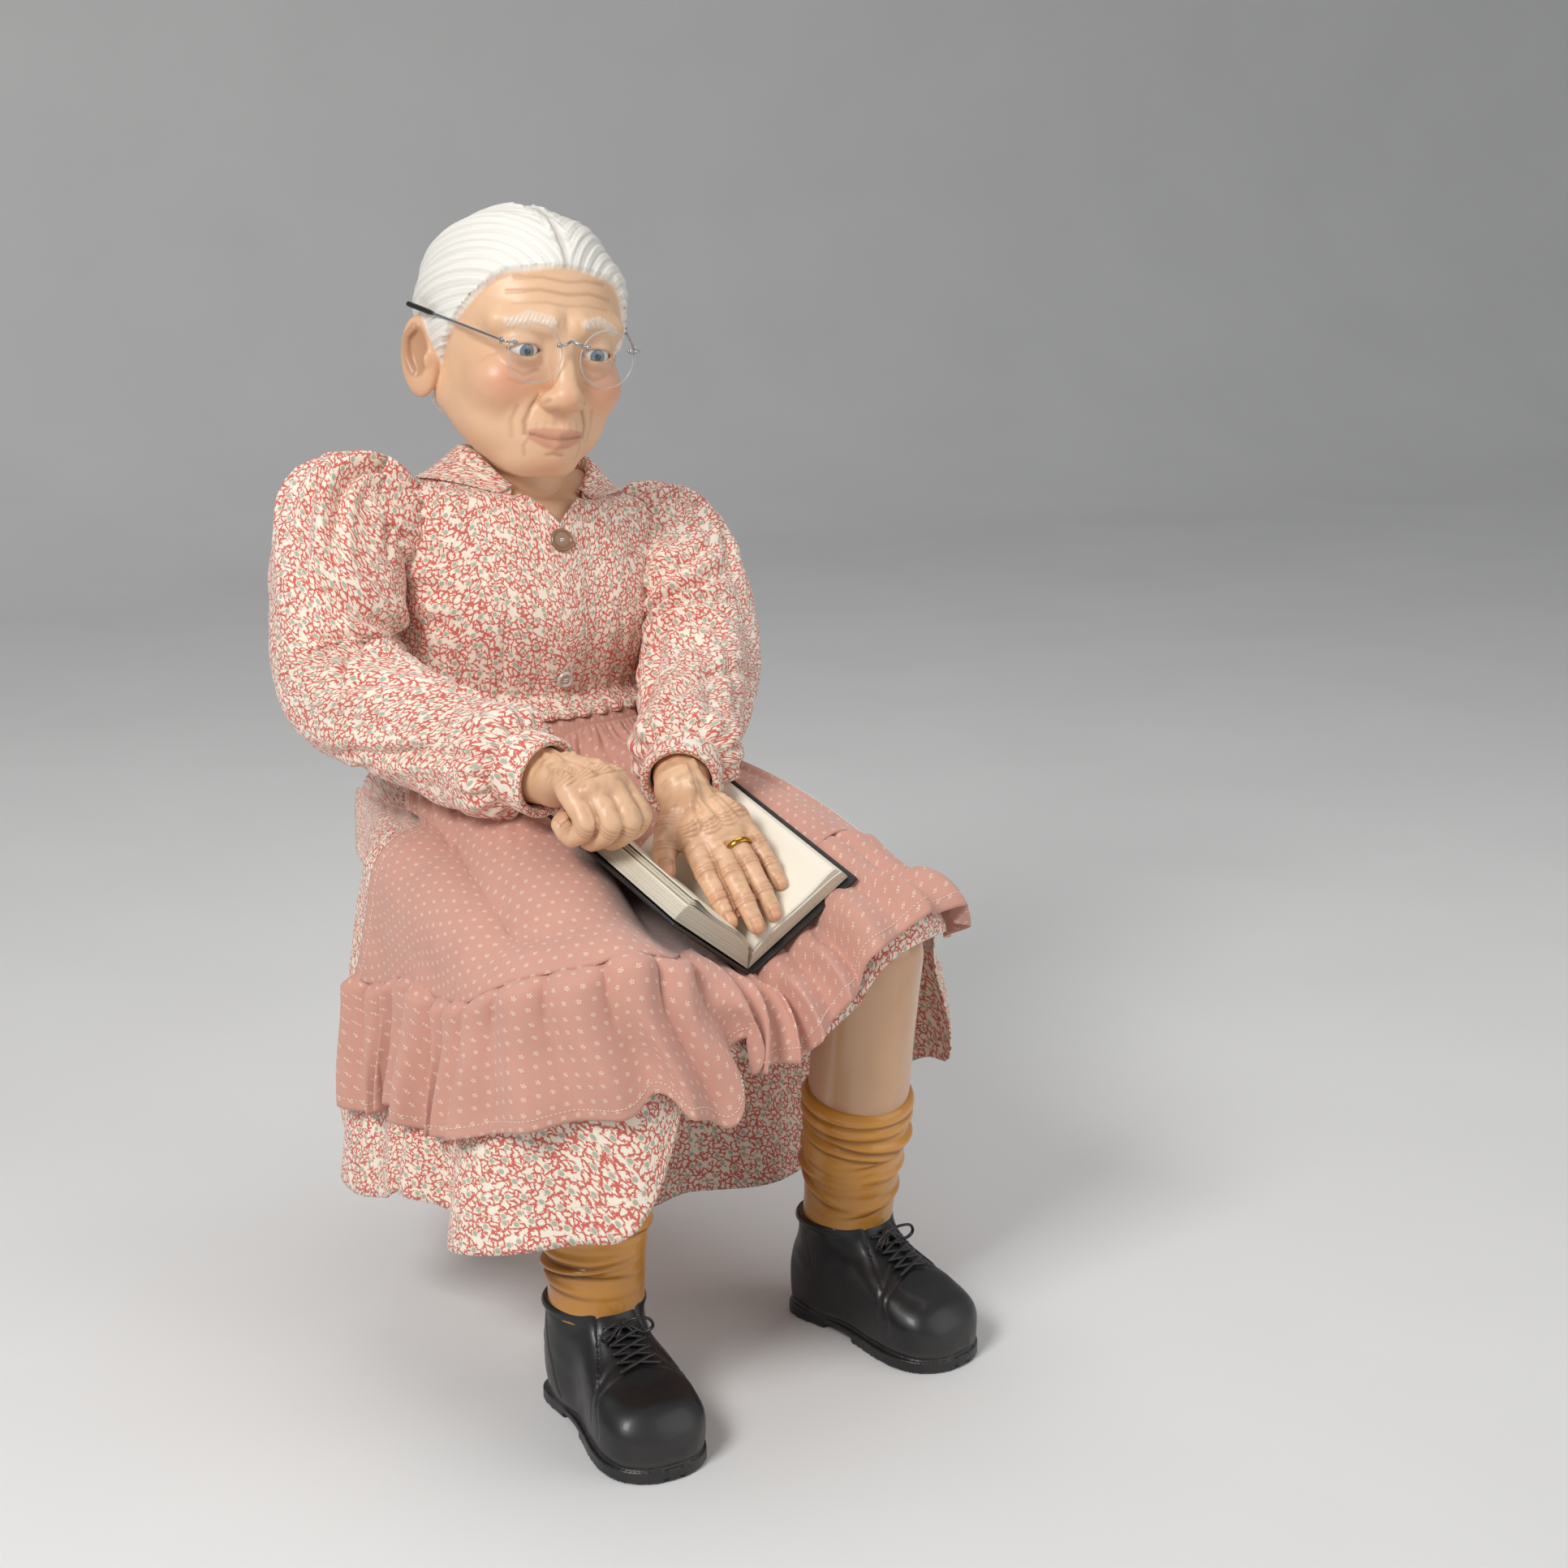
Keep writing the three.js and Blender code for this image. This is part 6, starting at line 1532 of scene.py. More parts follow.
def spectacle_side(name, side, steel, black, glass, ground):
    """Lens of one side, with its endpiece, temple and temple tip."""
    count = 96
    turn = turns(count)[None]
    x, y, z = side * LENS["x"], LENS["y"], LENS["z"]
    half, r = LENS["thick"] / 2, LENS["radius"]
    back = [(0.2, -half), (r * 0.5, -half), (r - 0.7, -half), (r - 0.1, -half * 0.5)]
    profile = np.array([*back, (r, 0), *((a, -b) for a, b in back[::-1])])
    bow = -0.9 * (1 - (profile[:, 0] / r) ** 2)
    out, along = profile[:, :1], (profile[:, 1] + bow)[:, None]
    rings = np.stack([x + out * np.cos(turn), y + along + 0 * turn, z + out * np.sin(turn)], -1)
    made = piece(f"Lens_{name}", closed_loft(f"Lens_{name}", from_head(rings)), "spectacles", glass,
                 (f"{name}_lens",), "lens")
    made.data.materials.append(ground)
    for polygon in made.data.polygons[2 * count:6 * count]:
        polygon.material_index = 1
    edge, hinge = x + side * r, z + r * 0.35
    front = y - half - FIT
    plate = [(edge - side * 6.0, front - 0.7, hinge), (edge - side * 1, front - 0.7, hinge),
             (edge + side * 2.2, front - 0.5, hinge), (edge + side * 3.2, front + 2, hinge),
             (edge + side * 3.2, front + 8.6, hinge)]
    grids = [capped_tube(through(plate, np.linspace(0, 1, 24)), 1.3, 12, 0.75)]
    at = np.array((edge - side * 4.2, front - 1.0, hinge))
    grids.append(capped_tube([at, at + (0, -0.8, 0)], 1.9, 14, up=(1, 0, 0)))
    pin = np.array((edge + side * 3.2, front + 7.2, hinge))
    grids.append(capped_tube([pin - (0, 0, 2.0), pin + (0, 0, 2.0)], 1.2, 12, up=(1, 0, 0)))
    mesh = joined(f"Endpiece_{name}", [from_head(g) for g in grids])
    piece(f"Endpiece_{name}", mesh, "spectacles", steel, (f"{name}_endpiece",), "steel")
    begin = np.array((edge + side * 3.2, front + 9 + FIT, hinge))
    far = np.array((side * TEMPLE["spread"], TEMPLE["y"], hinge + TEMPLE["rise"]))
    k = np.linspace(0, 0.72, 40)[:, None]
    grid = capped_tube(begin + (far - begin) * k, 1.1, 12)
    piece(f"Temple_{name}", joined(f"Temple_{name}", [from_head(grid)]), "spectacles", steel,
          (f"{name}_temple",), "steel")
    k = np.linspace(0.725, 1, 24)[:, None]
    thick = 1.5 + 0.6 * smooth(0, 0.2, np.linspace(0, 1, 24))
    grid = capped_tube(begin + (far - begin) * k, thick, 14)
    piece(f"Temple_tip_{name}", joined(f"Temple_tip_{name}", [from_head(grid)]), "spectacles", black,
          (f"{name}_temple_tip",), "tip")


def bridge(steel):
    """Wire between the lenses, with a stud at each end."""
    inner = LENS["x"] - LENS["radius"]
    y = LENS["y"] - LENS["thick"] / 2 - FIT - 1.1
    wire = [(-inner - 5, y, LENS["z"] + 8), (-inner + 1, y, LENS["z"] + 9), (0, y + 4, LENS["z"] + 11),
            (inner - 1, y, LENS["z"] + 9), (inner + 5, y, LENS["z"] + 8)]
    grids = [capped_tube(through(wire, np.linspace(0, 1, 40)), 1.1, 12)]
    for side in (-1, 1):
        at = np.array((side * (inner + 4.4), y + 0.1, LENS["z"] + 8))
        grids.append(capped_tube([at, at + (0, -0.9, 0)], 1.9, 14, up=(1, 0, 0)))
    mesh = joined("Bridge", [from_head(g) for g in grids])
    piece("Bridge", mesh, "spectacles", steel, ("spectacle_bridge",), "steel")


class DOLL_OT_spectacles(bpy.types.Operator):
    """Rimless spectacles with sprung wire temples"""
    bl_idname = "doll.spectacles"
    bl_label = "Spectacles"

    def execute(self, context):
        extras = context.scene.doll_extras
        steel = plain("Polished steel wire", extras.steel, 0.18, 1.0, grain=90.0, strength=0.03)
        black = plain("Black temple sleeve", extras.tip, 0.35, grain=200.0)
        # thin glass, seen mostly by its ground edge
        glass, _, _ = blank("Spectacle glass", base_color=(0.45, 0.48, 0.48, 1), roughness=0.03, alpha=0.05)
        ground, _, _ = blank("Ground glass edge", base_color=(0.5, 0.53, 0.53, 1), roughness=0.25, alpha=0.6)
        for name, side in SIDES:
            spectacle_side(name, side, steel, black, glass, ground)
        bridge(steel)
        return {"FINISHED"}


def hand_frame(name):
    """Wrist of a hand, and its axes: along it, towards the thumb and out of the back."""
    plan, hand = ARMS[name], HANDS[name]
    w = np.array(plan["wrist"], float)
    along = unit(np.array(hand["point"], float) - w)
    back = np.array(hand["back"], float)
    back = unit(back - along * (back @ along))
    thumb = np.cross(along, back) * plan["side"]
    return w, np.stack([along, thumb, back])


def ring_place():
    """Station of the ring on its finger, and the way the finger runs there."""
    rows = np.array(HANDS["left"]["fingers"]["ring"], float)
    k = (74 - rows[0, 0]) / (rows[1, 0] - rows[0, 0])
    return lerp(rows[0], rows[1], k), unit(rows[1, :3] - rows[0, :3])


def hand_marks(p, on_back, fingers):
    """Veins, tendons, lines and nails of a hand: how far they rise, their wash (the veins' colour, and
    painted shade) and their blush.
    """
    move, wash, blush = np.zeros((3, len(p)))
    for rows in ([(8, -4), (26, -3), (40, -9), (56, -13)], [(14, 4), (30, 7), (44, 3), (58, 0)],
                 [(30, 7), (44, 12), (56, 12)], [(20, -10), (38, -15), (52, -18)]):
        vein = np.exp(-stroke(p[:, :2], rows, 2.0) ** 2) * on_back * smooth(66, 52, p[:, 0])
        move += 1.9 * vein
        wash += 0.12 * vein
    for key in FINGERS:
        knuckle = fingers[key][0]
        tendon = np.exp(-stroke(p[:, :2], [(26, knuckle[1] * 0.45), knuckle[:2]], 2.6) ** 2) * on_back
        move += 1.7 * tendon
        # Lines over the knuckles, browned as painted shade
        for k in (-4.5, -1.5, 1.5, 4.5):
            across = p[:, 1] - knuckle[1]
            line = np.exp(-(((p[:, 0] - knuckle[0] - k) + 0.06 * across ** 2) / 0.7) ** 2)
            line = line * np.exp(-(across / 6.5) ** 4) * on_back
            move -= 0.6 * line
            wash += 0.42 * line
    fine = mottle(p[:, 0] / 3.1 + 9, p[:, 1] / 5.5 + 9, 101)
    fine = fine + 0.6 * mottle(p[:, 0] / 1.7, p[:, 1] / 3.3 + 4, 102)
    move += 0.36 * fine * on_back
    # Painted shade in the low spots of the skin
    wash += 0.22 * np.clip(-fine, 0, 1) * on_back
    for rows in fingers.values():
        near = chain(p, rows)
        on_finger = 1 - smooth(1.4, 3.2, near)
        for j, joint in enumerate(rows[1:3]):
            step = unit(rows[j + 2, :3] - rows[j + 1, :3])
            s = (p - joint[:3]) @ step
            ring = on_finger * (1 - smooth(1.3, 2.2, np.linalg.norm(p - joint[:3], axis=1) / joint[3]))
            # Lines at the finger joints, browned as painted shade
            lines = sum(np.exp(-((s - o) / 0.75) ** 2) for o in (-2.6, 0, 2.6)) * ring
            move -= 0.55 * lines
            wash += 0.24 * lines
            blush += 0.22 * np.exp(-(s / 7) ** 2) * ring * on_back
        tip, before = rows[-1], rows[-2]
        way = unit(tip[:3] - before[:3])
        aside = unit(np.cross(way, (0, 0, 1)))
        top = np.cross(aside, way)
        spot = p - tip[:3]
        a, b, c = spot @ way, spot @ aside, spot @ top
        r = tip[3]
        inside = np.maximum(np.abs(a - r * 0.15) / (r * 0.95), np.abs(b) / (r * 0.72))
        at_tip = (c > r * 0.2) & (near < 2) & (np.linalg.norm(spot, axis=1) < r * 1.7)
        plate = (1 - smooth(0.85, 1.0, inside)) * at_tip
        # The groove round each nail is browned as painted shade
        edge = np.exp(-((inside - 1) / 0.12) ** 2) * at_tip
        move += 0.25 * plate - 0.5 * edge
        wash += 0.3 * edge
        blush += 0.35 * plate
    for key in FINGERS:
        knuckle = fingers[key][0, :3]
        blush += 0.35 * np.exp(-(np.linalg.norm(p - knuckle, axis=1) / 9) ** 2) * on_back
    return move, wash, blush


def hand(name, plan):
    """Hand with knuckles, veins, tendons, lines and nails."""
    pose = HANDS[name]
    w, axes = hand_frame(name)
    fore = unit(w - np.array(plan["elbow"], float))

    def local(points):
        return (points - w) @ axes.T / HAND_SCALE
    stump = [local(w - fore * 62), local(w), local(w + fore * 24)]
    fingers = {key: np.array(rows, float) for key, rows in pose["fingers"].items()}

    def shape(points):
        p = local(points)
        q = p * np.array([1, 1 / 1.2, 1 / 0.6])
        d = chain(q, pose["palm"]) * 0.75
        d = melt(d, rod(p, stump[1], stump[2], 18.4, 17), 12)
        d = melt(d, rod(p, stump[0], stump[1], 18.5, 18.5), 6)
        for key, rows in fingers.items():
            finger = chain(p, rows)
            for joint in rows[1:3]:
                bone = egg(p, joint[:3] + (0, 0, 0.5), joint[3] * np.array([1, 1.06, 1.02]))
                finger = melt(finger, bone, 2)
            d = melt(d, finger, 7 if key == "thumb" else 1.8)
        for key in FINGERS:
            knuckle = fingers[key][0]
            d = melt(d, egg(p, knuckle[:3] + (-3, 0, knuckle[3] * 0.5), (8, 6.2, 6)), 5)
        return d * HAND_SCALE
    reach = [w + (r[:3] * HAND_SCALE) @ axes for rows in fingers.values() for r in rows]
    reach.append(w - fore * 64)
    points, faces, out = carved(shape, np.min(reach, 0) - 26, np.max(reach, 0) + 26, 2.1)
    p = local(points)
    on_back = smooth(0.1, 0.6, out @ axes[2])
    move, wash, blush = hand_marks(p, on_back, fingers)
    if name == "left":
        at, way = ring_place()
        spot = p - at[:3]
        along = spot @ way
        out_from = np.linalg.norm(spot - along[:, None] * way, axis=1)
        worn = np.exp(-(along / 2.6) ** 4) * (out_from < 13)
        move -= worn * np.maximum(0, out_from + move - at[3] - 0.5)
    # Painted shade: brown where the hand closes in on itself, between the fingers and inside the curl
    shade_in_hollows = 1 - smooth(-1.5, 2.5, shape(points + out * 3.0) - 1.2)
    values = {"blush": np.clip(blush, 0, 0.6), "crease": np.clip(wash + 0.75 * shade_in_hollows, 0, 0.75),
              **{key: 0 * move for key in ("lip", "hair", "groove")}}
    mesh = mesh_from(f"Hand_{name}", points + out * move[:, None], faces, values)
    piece(f"Hand_{name}", mesh, f"{name}_forearm", finish(painted_bisque), (f"{name}_hand",),
          "skin_ceramic")


def gold_ring(tone):
    """Ring on the left hand."""
    w, axes = hand_frame("left")
    at, way = ring_place()
    n = unit(np.cross(way, (0, 0, 1)))
    rows, columns = 18, 72
    bend = np.linspace(0, 2 * math.pi, rows + 1)[:-1, None]
    r = at[3] + 1.5 + 0.75 * np.cos(bend)
    out = round_about(turns(columns)[None], n, np.cross(way, n))
    ring = at[:3] + r[..., None] * out + (1.9 * np.sin(bend))[..., None] * way
    faces = np.array(grid_faces(rows + 1, columns, True)) % (rows * columns)
    mesh = mesh_from("Ring", w + (ring * HAND_SCALE) @ axes, faces.tolist())
    gold = plain("Yellow gold", tone, 0.16, 1.0, grain=160.0, strength=0.04)
    piece("Ring", mesh, "left_forearm", gold, ("wedding_ring",), "gold")


class DOLL_OT_hands(bpy.types.Operator):
    """Painted hands with knuckles, veins and nails, and the ring"""
    bl_idname = "doll.hands"
    bl_label = "Hands"

    def execute(self, context):
        for name, plan in ARMS.items():
            hand(name, plan)
        gold_ring(context.scene.doll_extras.gold)
        return {"FINISHED"}


# Rows down the sock: distance from its top, and radius
SOCK_ROWS = np.array([
    [-8, 38.6], [-6.5, 40.6], [-3, 42.4], [1, 42.2], [3.5, 40.4], [6, 41.9], [10, 42.3], [13.5, 40.8],
    [16, 38.8], [24, 38.4], [36, 38.2], [52, 36], [70, 34.6], [140, 33.6],
])
# Rows along the boot: shares of its length, width and height; and rows along its sole: place and half width
BOOT_ROWS = np.array([
    [0, 0.6, 0.5], [0.06, 0.86, 0.72], [0.2, 1, 0.9], [0.42, 1, 1], [0.62, 1.2, 0.78], [0.78, 1.3, 0.6],
    [0.9, 1.16, 0.5], [0.97, 0.78, 0.36], [1, 0.34, 0.2],
])
SOLE_ROWS = np.array([[-118, 0], [-116, 14], [-110, 25.5], [-100, 34], [-84, 38.5], [-64, 37.5], [-44, 33.5],
                      [-20, 30], [0, 29.5], [24, 30], [36, 26.5], [43, 18], [46, 8], [47, 0]])

BOOT_ROWS, SOLE_ROWS = (through(rows, np.linspace(0, 1, 200)) for rows in (BOOT_ROWS, SOLE_ROWS))
LACE_LOOP = [(0, 0, 0), (7, -6, 4), (16, -9, 3), (20, -8, -4), (14, -6, -8), (6, -3, -3), (0, 0, 0)]
LACE_TAIL = [(0, 0, 0), (5, -5, -5), (9, -6, -13), (15, -6, -20)]


def boot_upper(p):
    """Foot and shaft of a boot, above its sole."""
    t = np.clip((44 - p[..., 1]) / 160, 0, 1)
    wide = 29 * np.interp(t, BOOT_ROWS[:, 0], BOOT_ROWS[:, 1])
    high = 78 * np.interp(t, BOOT_ROWS[:, 0], BOOT_ROWS[:, 2])
    x = np.abs(p[..., 0]) / wide
    z = 2 * (p[..., 2] - 8) / high - 1
    z = np.where(z < 0, -0.42 * z, z)
    foot = ((x ** 2.2 + z ** 2.2) ** (1 / 2.2) - 1) * np.minimum(wide, high / 2)
    foot = np.maximum(np.maximum(foot, 4 - p[..., 2]), np.maximum(p[..., 1] - 44, -116 - p[..., 1]))
    shaft = np.maximum(rod(p, (0, 4, 34), (0, 4, 86), 30, 35.5), p[..., 2] - 87)
    return melt(foot, shaft, 16)


def boot_distance(p):
    """Boot from its own frame: toe towards -y, sole at 0."""
    half = np.interp(p[..., 1], SOLE_ROWS[:, 0], SOLE_ROWS[:, 1])
    edge = (np.abs(p[..., 0]) - half) * 0.85
    slab = np.maximum(edge, np.abs(p[..., 2] - 4.8) - 4.6)
    slab = np.maximum(slab, np.maximum(p[..., 1] - 47, -118 - p[..., 1]))
    arch = np.maximum(np.maximum(np.abs(p[..., 1] + 18) - 15, p[..., 2] - 4), np.abs(p[..., 0]) - 60)
    slab = dent(slab, arch, 1.5)
    collar = np.hypot(np.hypot(p[..., 0], p[..., 1] - 4) - 34.6, p[..., 2] - 84) - 2.6
    return melt(melt(boot_upper(p), slab, 1.4), collar, 1.6)


def shin_and_sock(name, side, skin, sock_look):
    """Shin with the ball of its knee, and its slouched sock."""
    x, y, _ = ANKLES[name]
    top = np.array([side * KNEE["x"], KNEE["y"], KNEE["z"]], float)
    down = np.array([x, y, -BOOT_TOP - 6.0]) - top
    far = np.linalg.norm(down)
    down = down / far
    sock = (KNEE["z"] + SOCK_TOP) * far / (KNEE["z"] + BOOT_TOP + 6)
    ahead = unit(np.array([0, -1.0, 0]) - down * (-down[1]))
    aside = np.cross(down, ahead)
    turn = turns(96)[None]
    ring = round_about(turn, ahead, aside)
    knee = -BALL * np.cos(np.linspace(0.05, math.pi / 2, 24))
    a = np.concatenate([knee, np.linspace(3, sock + 8, 60)])[:, None]
    ball = np.sqrt(np.maximum(BALL ** 2 - np.minimum(a, 0) ** 2, 0.2))
    r = np.where(a < 0, ball, lerp(BALL, SHIN, smooth(0, 28, a)))
    shape = 0.9 * np.cos(2 * turn) * smooth(30, 60, a)
    bone = np.exp(-(turned_by(turn, 0.15) / 0.35) ** 2) * smooth(10, 50, a)
    grid = top + down * a[..., None] + ring * (r + shape * 0.7 + bone * 0.6)[..., None]
    # The shin darkens towards the sock's top, and in patches at random
    tint = np.clip(0.25 * smooth(sock - 20, sock - 2, a) + 0.15 * mottle(a / 20, turn * 2, 91), 0, 0.6)
    piece(f"Shin_{name}", closed_loft(f"Shin_{name}", grid, {"crease": tint}), f"{name}_leg", skin,
          (f"{name}_leg",), "leg_ceramic")

    s = np.linspace(-8, far - sock + 10, 110)[:, None]
    r = np.interp(s, SOCK_ROWS[:, 0], SOCK_ROWS[:, 1])
    fold, shade_in_hollows = 0, 0
    rng = np.random.default_rng(5 + side)
    for n in range(9):
        mid = 19 + n * 7.4 + rng.uniform(-1.5, 1.5)
        line = mid + rng.uniform(3, 7) * np.sin(turn + rng.uniform(0, 6.28))
        line = line + 1.5 * np.sin(2 * turn + rng.uniform(0, 6.28))
        window = np.clip(0.35 + 0.9 * np.cos(turn - rng.uniform(0, 6.28)), 0.1, 1)
        fold = fold + window * 2.8 * np.exp(-((s - line) / 3.6) ** 2)
        # The valley under each fold is browned as painted shade
        crack = window * np.exp(-((s - line - 4.6) / 1.5) ** 2)
        fold, shade_in_hollows = fold - 1.5 * crack, shade_in_hollows + crack
    under = np.exp(-((s - 15.5) / 1.8) ** 2) + 0.8 * np.exp(-((s - 3.6) / 1.3) ** 2)
    r = r + fold * smooth(14, 22, s) - 0.9 * under
    grid = top + down * (sock + s)[..., None] + ring * r[..., None]
    # Painted shade in the fold valleys and in the grooves under the rolled top; the sock also darkens towards
    # the bottom
    wash = np.clip(0.75 * shade_in_hollows + 0.7 * under + 0.25 * smooth(40, 80, s), 0, 0.9)
    piece(f"Sock_{name}", closed_loft(f"Sock_{name}", grid, {"crease": wash}), f"{name}_leg", sock_look,
          slot="leg_ceramic")


def boot_and_laces(name, side, carving, leather, lace_look):
    """Boot with its seams, and laces tied in a bow."""
    x, y, toe_out = ANKLES[name]
    boot, faces, out = carving
    across, along, high = boot.T
    cap = np.exp(-((along + 70 - 6 * np.cos(across / 14) - 3 * np.sin(high / 6)) / 1.4) ** 2)
    cap = cap * smooth(16, 22, high)
    vamp = np.exp(-((along + 60 - 5 * np.cos(across / 12)) / 1.8) ** 2) * smooth(24, 34, high)
    welt = np.exp(-((high - 10.2) / 1.2) ** 2)
    facing = np.abs(np.arctan2(across, -(along - 4)))
    flap = np.exp(-((facing - 0.42) / 0.05) ** 2) * smooth(46, 56, high) * (along < 0)
    tongue = ((facing < 0.42) & (along < 0)) * smooth(48, 56, high)
    seam = np.exp(-((along - 2 - 0.25 * (high - 40)) / 1.1) ** 2) * smooth(14, 20, high)
    seam = seam * (high < 78) * (np.abs(across) > 14)
    slump = mottle(high / 11 + 3, facing * 2.2 + 2, 95) * smooth(34, 50, high) * (high < 80)
    move = -0.45 * cap - 0.8 * vamp - 0.9 * welt - 1.1 * tongue - 0.5 * flap - 0.8 * seam + slump
    c, s = math.cos(math.radians(side * toe_out)), math.sin(math.radians(side * toe_out))
    spin = np.array([[c, -s, 0], [s, c, 0], [0, 0, 1]])

    def placed(q):
        return np.asarray(q) @ spin.T + np.array([x, y, SOLE_Z], float)
    scuffed = 0.35 * np.exp(-((along + 112) / 10) ** 2) + 0.5 * np.exp(-((high - 13) / 2.5) ** 2)
    wear = np.clip(scuffed + 0.3 * (cap + vamp), 0, 0.6)
    mesh = mesh_from(f"Boot_{name}", placed(boot + out * move[:, None]), faces, {"wear": wear})
    piece(f"Boot_{name}", mesh, f"{name}_leg", leather, slot="leg_ceramic")

    tubes = []
    rows = np.linspace(0, 1, 6)

    def near_face(q):
        return settled(boot_distance, q, 1.3)
    for low_row, high_row in zip(rows[:-1], rows[1:]):
        for way in (1, -1):
            k = np.linspace(-1, 1, 18)
            up = lerp(low_row, high_row, (k + 1) / 2)
            line = np.stack([way * 12 * k, lerp(-64, -36, up), lerp(54, 80, up)], -1)
            line = near_face(line) + np.array([0, -0.6, 0.4]) * (way > 0)
            tubes.append(capped_tube(line, 1.5, 8, 0.8))
    knot = near_face(np.array([[0.0, -36, 80.5]]))[0] + (0, -1.5, 0)
    tubes.append(capped_tube([knot + (-2.5, 0, 0), knot + (2.5, 0, 0)], 2.6, 10))
    for way in (1, -1):
        for line, count, radius in ((LACE_LOOP, 40, 1.35), (LACE_TAIL, 20, 1.2)):
            line = through(np.array(line, float) * (way, 1, 1), np.linspace(0, 1, count)) + knot
            tubes.append(capped_tube(line, radius, 8, 0.8))
    mesh = joined(f"Laces_{name}", [placed(t) for t in tubes])
    mesh.attributes.new("wear", "FLOAT", "POINT")
    piece(f"Laces_{name}", mesh, f"{name}_leg", lace_look, slot="leg_ceramic")


class DOLL_OT_legs(bpy.types.Operator):
    """Glazed legs with slouched socks and laced boots"""
    bl_idname = "doll.legs"
    bl_label = "Legs and boots"

    def execute(self, context):
        paint = context.scene.doll_ceramic
        # The socks' dark brown is painted shade in their folds; the legs' brown darkens the shins towards the
        # socks
        skin = glazed("Glazed leg", paint.shin, linear("#8d5a36"), 0.24, "crease", 22)
        sock_look = glazed("Glazed sock", paint.sock, linear("#5a2f10"), 0.3, "crease", 60, 0.35)
        leather = glazed("Satin boot glaze", paint.boot, linear("#3d3936"), 0.42, "wear", 90, 0.12)
        lace_look = glazed("Glazed lace", linear("#211f20"), linear("#4b4642"), 0.4, "wear", 200, 0.2)
        carving = carved(boot_distance, (-44, -123, -3), (44, 52, 92), 2.2)
        for name, side in SIDES:
            shin_and_sock(name, side, skin, sock_look)
            boot_and_laces(name, side, carving, leather, lace_look)
        return {"FINISHED"}


def from_book(points):
    """Points of the open book's frame in the doll's."""
    x = unit(np.cross(BOOK_AXIS, (0, 0, 1)))
    y = unit(np.array([0, 0, 1.0]) - BOOK_AXIS * BOOK_AXIS[2])
    return np.asarray(points, float) @ np.stack([x, y, -BOOK_AXIS]) + np.array(BOOK["at"], float)


def upright(line, heights):
    """Grid of a line across the book, repeated at heights up its page."""
    shape = (len(heights), len(line))
    return np.concatenate([np.broadcast_to(line, (*shape, 2)),
                           np.broadcast_to(heights[:, None, None], (*shape, 1))], -1)


def book_leather(extras):
    """Black grained leather, rubbed grey in patches."""
    made, tree, shader = blank("Grained book leather", roughness=0.42, coat_weight=0.15, coat_roughness=0.3)
    place = node(tree, "ShaderNodeTexCoord").outputs["Object"]
    grain = node(tree, "ShaderNodeTexVoronoi", {"Vector": place, "Scale": 900}).outputs[0]
    rubbed, _ = mottled(tree, place, rgba(extras.leather), rgba(linear("#3a3634")),
                        {"Scale": 60, "Detail": 5}, (0.5, 0.8, 0.5))
    surfaced(tree, shader, rubbed, grain, 0.35, 0.0005)
    return made


def book_paper(extras):
    """Paper whose edges show its leaves as darker lines: painted shade between the leaves."""
    made, tree, shader = blank("Book paper", roughness=0.82)
    layer = node(tree, "ShaderNodeAttribute", attribute_name="layer").outputs["Fac"]
    edge = node(tree, "ShaderNodeAttribute", attribute_name="edge").outputs["Fac"]
    steps = node(tree, "ShaderNodeMath", {0: layer, 1: 2.6}, operation="MULTIPLY").outputs[0]
    leaf = node(tree, "ShaderNodeTexNoise", {"W": steps, "Scale": 1.0, "Detail": 2},
                noise_dimensions="1D").outputs[0]
    lines = node(tree, "ShaderNodeMath", {0: leaf, 1: edge}, operation="MULTIPLY").outputs[0]
    tint = node(tree, "ShaderNodeMapRange", {0: lines, 1: 0.4, 2: 0.62, 3: 0, 4: 0.9}).outputs[0]
    # Darker lines across the page edges: painted shade between the leaves
    leaf_shaded = node(tree, "ShaderNodeMix", {0: tint, 6: rgba(extras.paper), 7: rgba(linear("#a09071"))},
                data_type="RGBA").outputs[2]
    surfaced(tree, shader, leaf_shaded, lines, 0.5, 0.0006)
    return made


def book_cover(look, left, right):
    """Cover lying open, each half on its own slope."""
    count, over = 60, BOOK["overhang"]
    tall = BOOK["height"] + 2 * over
    u = np.linspace(-1, 1, 161)
    flat = u * (BOOK["page"] + over)
    bend = np.where(u < 0, left, right)
    inner = np.stack([flat * np.cos(bend), np.hypot(np.abs(flat) * np.sin(bend), 2.0) - 1.4], -1)
    out = np.stack([-np.where(u < 0, np.sin(left), -np.sin(right)) * np.clip(np.abs(u) / 0.06, 0, 1),
                    -np.cos(bend)], -1)
    outline = np.concatenate([inner, (inner + out * BOOK["cover"])[::-1]])
    z = np.concatenate([[-tall, -tall + 0.5], np.linspace(-tall + 1.5, -1.5, count), [-0.5, 0]]) + over
    inset = [0.5, 0.15] + [0] * count + [0.15, 0.5]
    inward = np.array([[0, 10]]) - outline
    rings = [np.column_stack([outline + inward * 0.004 * i, np.full(len(outline), k)])
             for k, i in zip(z, inset)]
    mesh = closed_loft("Book_cover", from_book(np.stack(rings)))
    piece("Book_cover", mesh, "torso", look, ("book_cover",), "book_leather")


